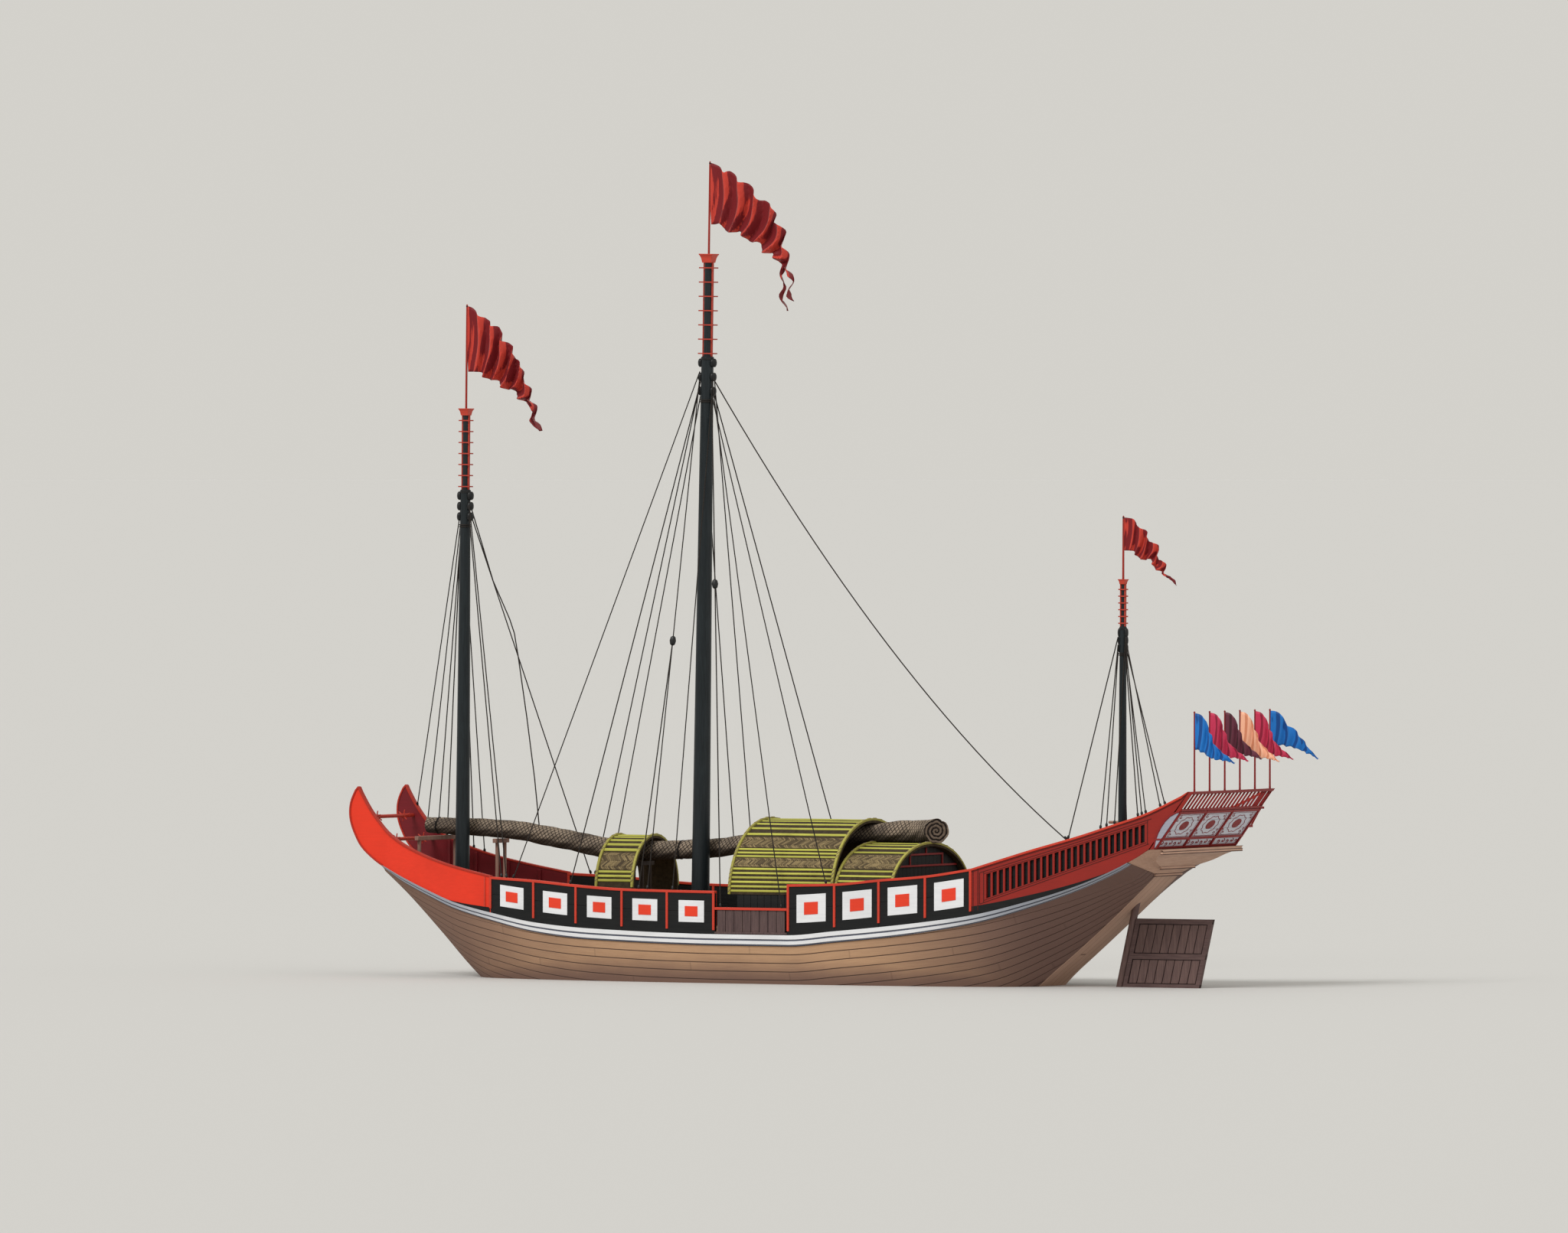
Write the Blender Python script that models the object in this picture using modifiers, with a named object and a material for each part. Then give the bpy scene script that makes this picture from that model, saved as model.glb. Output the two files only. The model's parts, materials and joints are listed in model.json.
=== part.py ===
"""Three-masted junk, afloat. X runs aft, Y to starboard, Z up, and Z = 0 is the waterline. Metres."""

import math

import bmesh
import bpy
from mathutils import Matrix, Vector

# Driving sizes
GAP = 0.0003  # seat between two pieces that touch
WALL = 0.10  # bulwark planking
WALE = 0.06  # how far the wale stands out
WALE_DEEP = 0.30
RAIL = 0.07  # cap rail and posts
BOW_TURN = -8.4  # where the bow wings end and the panels start
GATE_FORE, GATE_AFT = -1.05, 1.20
POOP_START = 6.80
GATE_TOP = 2.10

# Hull sections: x, half beam at the deck, deck height, bottom height, half width of the flat, fullness
HULL = [
    (-12.30, 1.40, 3.08, 2.92, 1.25, 0.50),
    (-11.60, 1.60, 2.79, 2.30, 1.20, 0.55),
    (-10.60, 1.85, 2.42, 1.27, 1.10, 0.60),
    (-9.60, 2.10, 2.10, 0.20, 1.00, 0.65),
    (-8.40, 2.30, 1.85, -0.78, 0.95, 0.70),
    (-6.90, 2.50, 1.60, -1.08, 1.10, 0.75),
    (-5.50, 2.62, 1.48, -1.17, 1.30, 0.78),
    (-4.00, 2.72, 1.42, -1.20, 1.45, 0.80),
    (-2.55, 2.78, 1.38, -1.20, 1.50, 0.82),
    (-1.05, 2.80, 1.36, -1.20, 1.50, 0.82),
    (1.20, 2.80, 1.36, -1.20, 1.50, 0.82),
    (2.65, 2.76, 1.49, -1.20, 1.45, 0.80),
    (4.00, 2.72, 1.62, -1.15, 1.35, 0.78),
    (5.40, 2.66, 1.78, -1.05, 1.20, 0.74),
    (6.80, 2.60, 1.98, -0.80, 1.00, 0.68),
    (8.50, 2.52, 2.38, 0.50, 0.75, 0.60),
    (10.00, 2.48, 2.83, 1.75, 0.70, 0.56),
    (11.20, 2.45, 3.32, 2.82, 0.70, 0.52),
    (11.50, 2.45, 3.47, 3.10, 0.70, 0.50),
]
COUNTER = [
    (11.50, 2.45, 3.47, 3.10, 0.70, 0.50),
    (11.72, 2.45, 3.58, 3.28, 0.74, 0.50),
    (11.80, 2.45, 3.62, 3.32, 1.00, 0.50),
    (12.00, 2.45, 3.74, 3.46, 1.70, 0.50),
    (12.20, 2.45, 3.84, 3.62, 2.10, 0.50),
    (12.55, 2.45, 3.84, 3.76, 2.35, 0.50),
]
SIDE_STEPS = 6  # facets of a hull side between the flat and the wale

# Top of the bulwark: x, height
FORE_TOP = [(-8.40, 2.84), (-6.90, 2.77), (-5.50, 2.66), (-4.00, 2.58), (-2.55, 2.56), (-1.05, 2.55)]
GATE_LINE = [(GATE_FORE, GATE_TOP), (GATE_AFT, GATE_TOP)]
AFT_TOP = [(1.20, 2.76), (2.65, 2.80), (4.00, 2.93), (5.40, 3.05), (6.80, 3.26)]
POOP_TOP = [(6.80, 3.26), (8.50, 3.77), (10.00, 4.18), (11.20, 4.55), (11.50, 4.64), (12.00, 4.80)]

# Bow wing beyond the panels: low x, low height above the deck line or None on the deck, top x, top height
WING = [
    (-8.40, None, -8.40, 2.84),
    (-9.60, None, -9.60, 3.08),
    (-10.60, None, -10.60, 3.33),
    (-11.60, None, -11.50, 3.66),
    (-12.30, None, -12.15, 4.02),
    (-12.90, 3.53, -12.50, 4.37),
    (-13.20, 3.96, -12.75, 4.70),
    (-13.37, 4.40, -12.93, 4.99),
    (-13.35, 4.82, -13.02, 5.15),
    (-13.15, 5.22, -13.09, 5.26),
]

# Windlasses between the wings: name, x, height
WINDLASSES = [("upper", -12.84, 4.42), ("lower", -12.22, 3.80)]
WINDLASS_R, SPOKE_REACH, SPOKE_Y, SPOKE_STEP = 0.05, 0.165, 0.83, 0.06
JOURNAL_PLAY, JOURNAL_SIDES = 0.0006, 32

# Masts: name, x at the deck, y, rake in x per metre, foot radius, hounds radius, hounds height,
# pole radius, cap height, staff top, flag hoist
MASTS = [
    ("fore", -10.55, 0.0, 0.010, 0.21, 0.14, 13.50, 0.08, 15.62, 18.72, 1.85),
    ("main", -3.02, 0.0, 0.015, 0.26, 0.17, 17.20, 0.11, 19.85, 22.66, 1.70),
    ("mizzen", 10.85, -1.50, 0.004, 0.12, 0.090, 9.83, 0.045, 11.03, 12.90, 0.90),
]
MAST_SUNK = 0.35  # how far a foot goes into the deck
MAST_SIDES = 16
RUNGS = {"fore": 7, "main": 7, "mizzen": 6}
SHOULDER = 0.05  # how far the hounds rise over the topmost cheek
STILE_OUT, STILE_HALF, STILE_DEEP = 0.02, 0.015, 0.02  # a stile's middle off the pole, and its half sizes
RUNG_THICK = 0.035
STAFF_R = 0.03

# Flag outline in units of its hoist: reach aft, drop of the top edge, drop of the bottom edge, half thickness
FLAG = [
    (0.00, 0.00, 1.00, 0.02),
    (0.28, 0.16, 1.08, 0.07),
    (0.62, 0.38, 1.22, 0.08),
    (0.96, 0.62, 1.42, 0.08),
    (1.22, 0.95, 1.62, 0.06),
    (1.34, 1.36, 1.76, 0.04),
    (1.42, 1.80, 1.92, 0.02),
    (1.50, 2.10, 2.14, 0.01),
]

# Main stays: mast, name, which side of the mast they leave, y side, x of the foot, rail they stand on
STAYS = [
    ("fore", "fore_shroud_port", 1, -1, -7.85, "fore"),
    ("fore", "fore_shroud_starboard", 1, 1, -7.75, "fore"),
    ("main", "main_fore_shroud_port", -1, -1, -7.60, "fore"),
    ("main", "main_fore_shroud_starboard", -1, 1, -7.60, "fore"),
    ("main", "main_aft_shroud_port", 1, -1, 2.36, "aft"),
    ("main", "main_aft_shroud_starboard", 1, 1, 0.35, "gate"),
    ("main", "main_backstay", 1, 0, 9.60, "poop"),
    ("mizzen", "mizzen_shroud_port", 1, -1, 11.90, "poop"),
    ("mizzen", "mizzen_shroud_starboard", 1, 1, 9.00, "poop"),
]
STAY_R, DEADEYE = 0.018, 0.10

# Mat roofs on the deckhouse walls: name, fore x, aft x, half width, crown height
ROOFS = [
    ("main_mat_roof", -0.85, 2.40, 2.36, 4.47),
    ("aft_mat_roof", 2.42, 4.20, 2.33, 3.84),
]
ROOF_THICK = 0.06
ARCH_STEPS = 16
HOUSE_FORE, HOUSE_AFT, HOUSE_HALF, HOUSE_TOP, HOUSE_WALL = -0.60, 4.05, 2.34, 2.45, 0.08
SHELTER = (-5.90, -4.70, 1.30, 3.95, 0.55)  # fore x, aft x, half width, crown height, y of the crown

# Rolled sails: x, y and height of the centre, radius
FORE_ROLL = [
    (-11.95, 0.60, 4.17, 0.23),
    (-9.65, 0.60, 4.09, 0.26),
    (-7.60, 0.60, 3.82, 0.29),
    (-6.20, 0.60, 3.58, 0.30),
    (-5.36, 0.60, 3.50, 0.29),
]
MAIN_ROLL = [
    (-5.24, 0.60, 3.52, 0.27),
    (-3.00, 0.61, 3.62, 0.27),
    (-0.85, 0.35, 3.90, 0.26),
    (2.38, 0.15, 4.105, 0.26),
    (2.75, 0.15, 4.145, 0.29),
    (4.50, 0.15, 4.19, 0.345),
]
ROLL_SIDES = 16
# Crutches under them: x, y of the two posts, roll that they carry
CRUTCHES = [
    ("bow_crutch", -11.30, (-1.10, 0.95), FORE_ROLL),
    ("fore_crutch", -9.65, (0.40, 0.84), FORE_ROLL),
    ("mid_crutch", -5.55, (0.40, 0.84), FORE_ROLL),
    ("main_crutch", -5.05, (0.40, 0.84), MAIN_ROLL),
]

# Stern face, raked aft: foot and head in x and z, half width
STERN_FOOT, STERN_HEAD, STERN_HALF = (12.20, 3.84), (13.40, 5.42), 2.45
STERN_PANEL_TOP, STERN_THICK = 4.87, 0.10
PICKETS, STERN_FLAGS = 23, 6
FLAG_STAFF_TOP, STERN_HOIST = 7.60, 1.00

# Rudder, turning on a raked stock
STOCK_AT, STOCK_RAKE = (10.44, 1.88), math.radians(12.7)
STOCK_R, TRUNK_R = 0.10, 0.125
BLADE_TOP, BLADE_FOOT, BLADE_LONG, BLADE_THICK = 1.88, -0.02, 2.45, 0.14
STOCK_HEAD, COLLAR_H, COLLAR_R = 4.66, 0.10, 0.17
TILLER_LONG, TILLER_R = 1.35, 0.05
QUARTER_TOP, POOP_DECK_TOP, POOP_STEP = 3.05, 3.95, 9.40

# Slots in the poop bulwark: first x, last x, count, foot and head heights at both ends
SLOTS = (7.30, 11.95, 26, (2.47, 4.02), (3.13, 4.50))
SLOT_WIDE = 0.10

COLOURS = {
    "hull_timber": ((0.42, 0.27, 0.17), 0.65),
    "dark_timber": ((0.13, 0.08, 0.07), 0.7),
    "red_paint": ((0.62, 0.05, 0.02), 0.45),
    "black_paint": ((0.015, 0.017, 0.018), 0.45),
    "mast_black": ((0.012, 0.018, 0.020), 0.5),
    "rope": ((0.03, 0.025, 0.02), 0.9),
    "matting": ((0.36, 0.34, 0.09), 0.8),
    "sail_mat": ((0.20, 0.15, 0.11), 0.9),
    "counter_timber": ((0.50, 0.30, 0.21), 0.6),
    "gallery_grey": ((0.42, 0.40, 0.45), 0.55),
    "bare_timber": ((0.40, 0.28, 0.20), 0.7),
    "flag_red": ((0.60, 0.03, 0.02), 0.85),
    "flag_blue": ((0.02, 0.12, 0.35), 0.85),
    "flag_crimson": ((0.35, 0.03, 0.07), 0.85),
    "flag_plum": ((0.10, 0.03, 0.05), 0.85),
    "flag_peach": ((0.70, 0.38, 0.25), 0.85),
}


def clear_scene():
    for obj in list(bpy.data.objects):
        bpy.data.objects.remove(obj)


def new_collection(name):
    group = bpy.data.collections.new(name)
    bpy.context.scene.collection.children.link(group)
    return group


def make_materials():
    made = {}
    for name, (rgb, roughness) in COLOURS.items():
        mat = bpy.data.materials.new(name)
        mat.use_nodes = True
        shader = mat.node_tree.nodes["Principled BSDF"]
        shader.inputs["Base Color"].default_value = (*rgb, 1.0)
        shader.inputs["Roughness"].default_value = roughness
        shader.inputs["Metallic"].default_value = 0.0
        mat.diffuse_color = (*rgb, 1.0)
        made[name] = mat
    return made


clear_scene()
PARTS = new_collection("junk")
CUTTERS = new_collection("cutters")
MATERIALS = make_materials()


def piece(name, mesh, colour):
    """A visible object of the junk."""
    obj = bpy.data.objects.new(name, mesh)
    mesh.materials.append(MATERIALS[colour])
    PARTS.objects.link(obj)
    return obj


def tool(name, mesh):
    """A helper for a Boolean, which no render shows."""
    obj = bpy.data.objects.new(name, mesh)
    obj.hide_render = True
    obj.display_type = "WIRE"
    CUTTERS.objects.link(obj)
    return obj


def combine(target, other, operation):
    step = target.modifiers.new(operation.lower() + "_" + other.name, "BOOLEAN")
    step.operation = operation
    step.solver = "EXACT"
    step.object = other
    return target


def mesh_of(bm, name):
    bmesh.ops.recalc_face_normals(bm, faces=bm.faces)
    mesh = bpy.data.meshes.new(name)
    bm.to_mesh(mesh)
    bm.free()
    return mesh


def loft_mesh(name, loops):
    """A closed solid through loops that have the same number of points."""
    bm = bmesh.new()
    rings = [[bm.verts.new(point) for point in loop] for loop in loops]
    for ring, after in zip(rings, rings[1:]):
        count = len(ring)
        for i in range(count):
            j = (i + 1) % count
            bm.faces.new((ring[i], ring[j], after[j], after[i]))
    bm.faces.new(rings[0])
    bm.faces.new(rings[-1])
    return mesh_of(bm, name)


def boxes_mesh(name, boxes):
    """One mesh of boxes, each given by its low and high corner."""
    bm = bmesh.new()
    for low, high in boxes:
        low, high = Vector(low), Vector(high)
        place = Matrix.Translation((low + high) / 2) @ Matrix.Diagonal((*(high - low), 1.0))
        bmesh.ops.create_cube(bm, size=1.0, matrix=place)
    return mesh_of(bm, name)


def rods_mesh(name, rods, sides=8):
    """One mesh of round rods, each given by its two ends and radius."""
    bm = bmesh.new()
    for start, end, radius in rods:
        start, end = Vector(start), Vector(end)
        run = end - start
        place = Matrix.Translation((start + end) / 2) @ run.to_track_quat("Z", "X").to_matrix().to_4x4()
        bmesh.ops.create_cone(
            bm, cap_ends=True, segments=sides, radius1=radius, radius2=radius, depth=run.length, matrix=place
        )
    return mesh_of(bm, name)


def turned_mesh(name, profile):
    """The open outline of a turned solid, from its top centre down its outer side to its bottom centre."""
    bm = bmesh.new()
    points = [bm.verts.new((radius, 0.0, height)) for radius, height in profile]
    for a, b in zip(points, points[1:]):
        bm.edges.new((a, b))
    mesh = bpy.data.meshes.new(name)
    bm.to_mesh(mesh)
    bm.free()
    return mesh


def turn(obj, sides):
    step = obj.modifiers.new("turn", "SCREW")
    step.axis = "Z"
    step.angle = math.tau
    step.steps = step.render_steps = sides
    step.screw_offset = 0.0
    step.use_merge_vertices = True
    step.merge_threshold = 0.0001
    step.use_normal_calculate = False
    return obj


def between(table, x, column):
    """A column of a table read at x, along straight lines."""
    for low, high in zip(table, table[1:]):
        if low[0] <= x <= high[0]:
            share = (x - low[0]) / (high[0] - low[0])
            return low[column] + share * (high[column] - low[column])
    return table[0][column] if x < table[0][0] else table[-1][column]


SHEER = HULL + COUNTER[1:]


def deck(x):
    return between(SHEER, x, 2)


def beam(x):
    return between(SHEER, x, 1)


def stations(start, end):
    """The hull's own section places from start to end, with the two ends."""
    return [start] + [row[0] for row in SHEER if start + 0.01 < row[0] < end - 0.01] + [end]


def hull_loop(x, half, sheer, bottom, flat, full):
    """One section: over the deck, down the wale and round the side to the flat, on both sides."""
    corner = Vector((flat + full * (half - flat), sheer + full * (bottom - sheer)))
    head, foot = Vector((half, sheer)), Vector((flat, bottom))
    wale_deep = min(WALE_DEEP, 0.6 * (sheer - bottom))

    def side(t):
        return (1 - t) ** 2 * head + 2 * t * (1 - t) * corner + t * t * foot

    start = 0.0
    while side(start).y > sheer - wale_deep:
        start += 0.005
    run = [Vector((half + WALE, sheer)), Vector((side(start).x + WALE, side(start).y))]
    run += [side(start + (1 - start) * i / SIDE_STEPS) for i in range(SIDE_STEPS + 1)]
    return [(x, p.x, p.y) for p in run] + [(x, -p.x, p.y) for p in reversed(run)]


def make_hull():
    hull = piece("hull", loft_mesh("hull", [hull_loop(*row) for row in HULL]), "hull_timber")
    cut_trunk(hull)
    counter = [list(row) for row in COUNTER]
    counter[0][0] += GAP
    piece("counter", loft_mesh("counter", [hull_loop(*row) for row in counter]), "counter_timber")
    return hull


def wall_loop(low, top, half):
    """A plank wall's section from low (x, z) to top (x, z), with its outer face at half."""
    return [
        (low[0], half, low[1]),
        (top[0], half, top[1]),
        (top[0], half - math.copysign(WALL, half), top[1]),
        (low[0], half - math.copysign(WALL, half), low[1]),
    ]


def rail_loop(x, z, half, deep):
    side = math.copysign(1.0, half)
    outer, inner = half + side * 0.03, half - side * (WALL + 0.03)
    return [(x, outer, z - deep), (x, outer, z), (x, inner, z), (x, inner, z - deep)]


def panelled_bulwark(name, start, end, tops, posts, side, colour):
    """A bulwark of framed panels with a cap rail, from start to end."""
    start, end = start + GAP, end - GAP
    places = stations(start, end)

    def top(x):
        return between(tops, x, 1)

    wall = piece(
        name,
        loft_mesh(name, [wall_loop((x, deck(x) + GAP), (x, top(x) - 0.01), side * beam(x)) for x in places]),
        colour,
    )
    rail = tool(name + "_rail", loft_mesh(name, [rail_loop(x, top(x), side * beam(x), RAIL) for x in places]))
    combine(wall, rail, "UNION")
    uprights = []
    for x in posts:
        x = min(max(x, start + RAIL / 2), end - RAIL / 2)
        out, inside = side * (beam(x) + 0.03), side * (beam(x) - WALL / 2)
        foot = max(deck(x - RAIL / 2), deck(x + RAIL / 2)) + 0.01
        low = (x - RAIL / 2, min(out, inside), foot)
        high = (x + RAIL / 2, max(out, inside), min(top(x - RAIL / 2), top(x + RAIL / 2)) - 0.02)
        uprights.append((low, high))
    combine(wall, tool(name + "_posts", boxes_mesh(name, uprights)), "UNION")
    return wall


def make_bulwarks(side, word):
    fore_posts = [row[0] for row in FORE_TOP]
    aft_posts = [row[0] for row in AFT_TOP]
    panelled_bulwark("fore_bulwark_" + word, BOW_TURN, GATE_FORE, FORE_TOP, fore_posts, side, "black_paint")
    panelled_bulwark("aft_bulwark_" + word, GATE_AFT, POOP_START, AFT_TOP, aft_posts, side, "black_paint")
    panelled_bulwark("gangway_board_" + word, GATE_FORE, GATE_AFT, GATE_LINE, [], side, "dark_timber")
    make_wing(side, word)
    make_poop_bulwark(side, word)


def make_wing(side, word):
    loops = []
    for low_x, low_z, top_x, top_z in WING:
        half = side * beam(low_x)
        seat = deck(low_x) + GAP if low_z is None else low_z
        loops.append(wall_loop((low_x, seat), (top_x, top_z), half))
    wing = piece("bow_wing_" + word, loft_mesh("bow_wing", loops), "red_paint")
    holes = [
        ((x, side * 1.0, z), (x, side * 1.8, z), WINDLASS_R + JOURNAL_PLAY) for _, x, z in WINDLASSES
    ]
    combine(wing, tool("journal_holes_" + word, rods_mesh("journal_holes", holes, JOURNAL_SIDES)), "DIFFERENCE")
    return wing


def make_poop_bulwark(side, word):
    loops = [
        wall_loop((x, deck(x) + GAP), (x, between(POOP_TOP, x, 1)), side * beam(x))
        for x in stations(POOP_START + GAP, POOP_TOP[-1][0])
    ]
    foot, head = STERN_FOOT, STERN_HEAD
    loops.append(wall_loop((foot[0] - 0.02, foot[1] + GAP), (head[0] - 0.02, head[1]), side * beam(foot[0])))
    wall = piece("poop_bulwark_" + word, loft_mesh("poop_bulwark", loops), "red_paint")
    first, last, count, feet, heads = SLOTS
    cuts = []
    for i in range(count):
        share = i / (count - 1)
        x = first + share * (last - first)
        low, high = feet[0] + share * (feet[1] - feet[0]), heads[0] + share * (heads[1] - heads[0])
        ys = sorted((side * 2.1, side * 2.9))
        cuts.append(((x - SLOT_WIDE / 2, ys[0], low), (x + SLOT_WIDE / 2, ys[1], high)))
    combine(wall, tool("slots_" + word, boxes_mesh("slots", cuts)), "DIFFERENCE")
    return wall


def make_windlass(name, x, z):
    """A barrel between the wings with a star of handspikes near each end."""
    reach = beam(x) - 0.01
    barrel = piece(
        name + "_windlass",
        rods_mesh("windlass", [((0, -reach, 0), (0, reach, 0), WINDLASS_R)], JOURNAL_SIDES),
        "red_paint",
    )
    barrel.location = (x, 0.0, z)
    for place, side in (("port", -1), ("starboard", 1)):
        for i in range(3):
            angle = math.radians(20 + 60 * i)
            tip = Vector((math.cos(angle), 0.0, math.sin(angle))) * SPOKE_REACH
            y = Vector((0.0, side * (SPOKE_Y - SPOKE_STEP * i), 0.0))
            spoke = tool(f"{name}_spoke_{place}_{i}", rods_mesh("spoke", [(y - tip, y + tip, 0.018)], 6))
            spoke.location = barrel.location
            combine(barrel, spoke, "UNION")


def mast_place(x, y, rake, foot):
    """The matrix that stands a mast at its foot, leaning aft by its rake."""
    return Matrix.Translation((x, y, foot)) @ Matrix.Rotation(math.atan(rake), 4, "Y")


def deck_under_mast(x, y):
    return POOP_DECK_TOP if y else deck(x)


def make_mast(name, x, y, rake, foot_r, hound_r, hounds, pole_r, cap, staff_top, hoist):
    level = deck_under_mast(x, y)
    sunk = 0.08 if y else MAST_SUNK
    foot = level - sunk
    place = mast_place(x, y, rake, foot)
    up, pole_top = hounds - foot, cap - foot
    outline = [
        (0.0, pole_top - GAP),
        (pole_r, pole_top - GAP),
        (pole_r, up + SHOULDER),
        (hound_r, up + SHOULDER),
        (foot_r * 0.6 + hound_r * 0.4, up * 0.5),
        (foot_r, sunk + 0.5),
        (foot_r, 0.0),
        (0.0, 0.0),
    ]
    mast = turn(piece(name + "_mast", turned_mesh("mast", outline), "mast_black"), MAST_SIDES)
    mast.matrix_world = place
    cheeks = []
    for i in range(3):
        z = up - 0.30 - i * 0.42
        for side in (-1, 1):
            ends = sorted((side * hound_r * 0.6, side * (hound_r + 0.13)))
            cheeks.append(((ends[0], -0.16, z), (ends[1], 0.16, z + 0.2)))
    blocks = tool(name + "_cheeks", boxes_mesh("cheeks", cheeks))
    blocks.matrix_world = place
    combine(mast, blocks, "UNION")
    socket = turn(
        tool(name + "_socket", turned_mesh("socket", [(0, level + 0.5 - foot), (foot_r + GAP, level + 0.5 - foot), (foot_r + GAP, -GAP), (0, -GAP)])),
        MAST_SIDES,
    )
    socket.matrix_world = place
    make_masthead(name, place, up, pole_top, pole_r, staff_top - foot)
    flag_head = place @ Vector((0, 0, staff_top - foot - 0.05))
    make_flag(name + "_flag", flag_head, STAFF_R, hoist, "flag_red", rake)
    return socket


def make_masthead(name, place, up, cap, pole_r, staff_top):
    """The climbing frame round the pole, the cap on it and the flag staff."""
    side = pole_r + STILE_OUT
    low = up + SHOULDER + GAP
    stiles = [
        ((x - STILE_HALF, -STILE_DEEP, low), (x + STILE_HALF, STILE_DEEP, cap + 0.02)) for x in (-side, side)
    ]
    head = piece(name + "_masthead", boxes_mesh("stiles", stiles), "red_paint")
    reach, deep = 1.8 * pole_r + 0.04, pole_r + 0.02
    rungs = []
    for i in range(RUNGS[name]):
        z = up + 0.12 + i * (cap - up - 0.28) / (RUNGS[name] - 1)
        rungs.append(((-reach, -deep, z), (reach, deep, z + RUNG_THICK)))
    half = side + STILE_HALF
    crown = [(-half, -half, cap), (half, -half, cap), (half, half, cap), (-half, half, cap)]
    flare, tall = 1.45, 1.7 * half
    crown_top = [(a * flare, b * flare, c + tall) for a, b, c in crown]
    meshes = (
        ("rungs", boxes_mesh("rungs", rungs), "UNION"),
        ("hole", rods_mesh("hole", [((0, 0, up - 0.5), (0, 0, cap + 1.0), pole_r + 0.006)], MAST_SIDES), "DIFFERENCE"),
        ("crown", loft_mesh("crown", [crown, crown_top]), "UNION"),
        ("staff", rods_mesh("staff", [((0, 0, cap + 0.1), (0, 0, staff_top), STAFF_R)], 8), "UNION"),
    )
    for word, mesh, way in meshes:
        combine(head, tool(f"{name}_{word}", mesh), way)
    head.matrix_world = place
    for word, _, _ in meshes:
        bpy.data.objects[f"{name}_{word}"].matrix_world = place
    return head


def make_flag(name, top, staff_r, hoist, colour, rake=0.0):
    """A pennant streaming aft and down from its staff, as a plain closed solid."""
    loops = []
    for reach, high, low, half in FLAG:
        x = top.x + staff_r + GAP + reach * hoist
        thick = half * hoist
        lean = 0.0 if reach else rake * hoist
        loops.append(
            [
                (x, top.y - thick, top.z - high * hoist),
                (x, top.y + thick, top.z - high * hoist),
                (x - lean, top.y + thick, top.z - low * hoist),
                (x - lean, top.y - thick, top.z - low * hoist),
            ]
        )
    return piece(name, loft_mesh(name, loops), colour)


def make_stay(mast, name, leave, side, foot_x, rail):
    """A taut stay from under the mast's lowest cheek to a deadeye on the rail."""
    row = next(m for m in MASTS if m[0] == mast)
    _, x, y, rake, _, hound_r, hounds, *_ = row
    sunk = 0.08 if y else MAST_SUNK
    place = mast_place(x, y, rake, deck_under_mast(x, y) - sunk)
    under = hounds - (deck_under_mast(x, y) - sunk) - 0.30 - 2 * 0.42 - 0.02
    head = place @ Vector((leave * (hound_r + 0.065), side * 0.10, under - 0.04))
    tops = {"fore": FORE_TOP, "gate": GATE_LINE, "aft": AFT_TOP, "poop": POOP_TOP}[rail]
    level = max(between(tops, foot_x + d, 1) for d in (-DEADEYE / 2, DEADEYE / 2))
    foot_side = side if side else -1
    foot = Vector((foot_x, foot_side * (beam(foot_x) - WALL / 2), level + GAP + DEADEYE / 2))
    stay = piece(name, rods_mesh("stay", [(foot, head, STAY_R)], 6), "rope")
    half = DEADEYE / 2
    low = Vector((half * 0.7, half * 0.7, half))
    combine(stay, tool(name + "_deadeye", boxes_mesh("deadeye", [(foot - low, foot + low)])), "UNION")
    small = Vector((0.03, 0.03, 0.04))
    crown = tool(name + "_head", boxes_mesh("head", [(-small, small)]))
    crown.matrix_world = place @ Matrix.Translation(
        (leave * (hound_r + 0.065), side * 0.10, under + 0.02 - GAP - 0.04)
    )
    combine(stay, crown, "UNION")
    return stay


def arch(x, half, foot, crown, thick, base=None):
    """A barrel roof's section at x: the outer arc, then the inner one back."""
    loop = []
    for grow in (0.0, -thick):
        arc = []
        for i in range(ARCH_STEPS + 1):
            angle = math.pi * i / ARCH_STEPS
            arc.append((x, -(half + grow) * math.cos(angle), foot + (crown + grow - foot) * math.sin(angle)))
        if base is not None:
            arc = [(x, arc[0][1], base)] + arc + [(x, arc[-1][1], base)]
        loop += arc if grow == 0.0 else list(reversed(arc))
    return loop


def make_roofs():
    foot = HOUSE_TOP + GAP
    for name, fore, aft, half, crown in ROOFS:
        piece(name, loft_mesh(name, [arch(x, half, foot, crown, ROOF_THICK) for x in (fore, aft)]), "matting")
    fore, aft, half, crown, middle = SHELTER
    loops = []
    for place in stations(fore, aft):
        section = arch(place, half, 2.55, crown, ROOF_THICK, deck(place) + GAP)
        loops.append([(x, y + middle, z) for x, y, z in section])
    piece("hatch_mat", loft_mesh("hatch_mat", loops), "matting")


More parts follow.
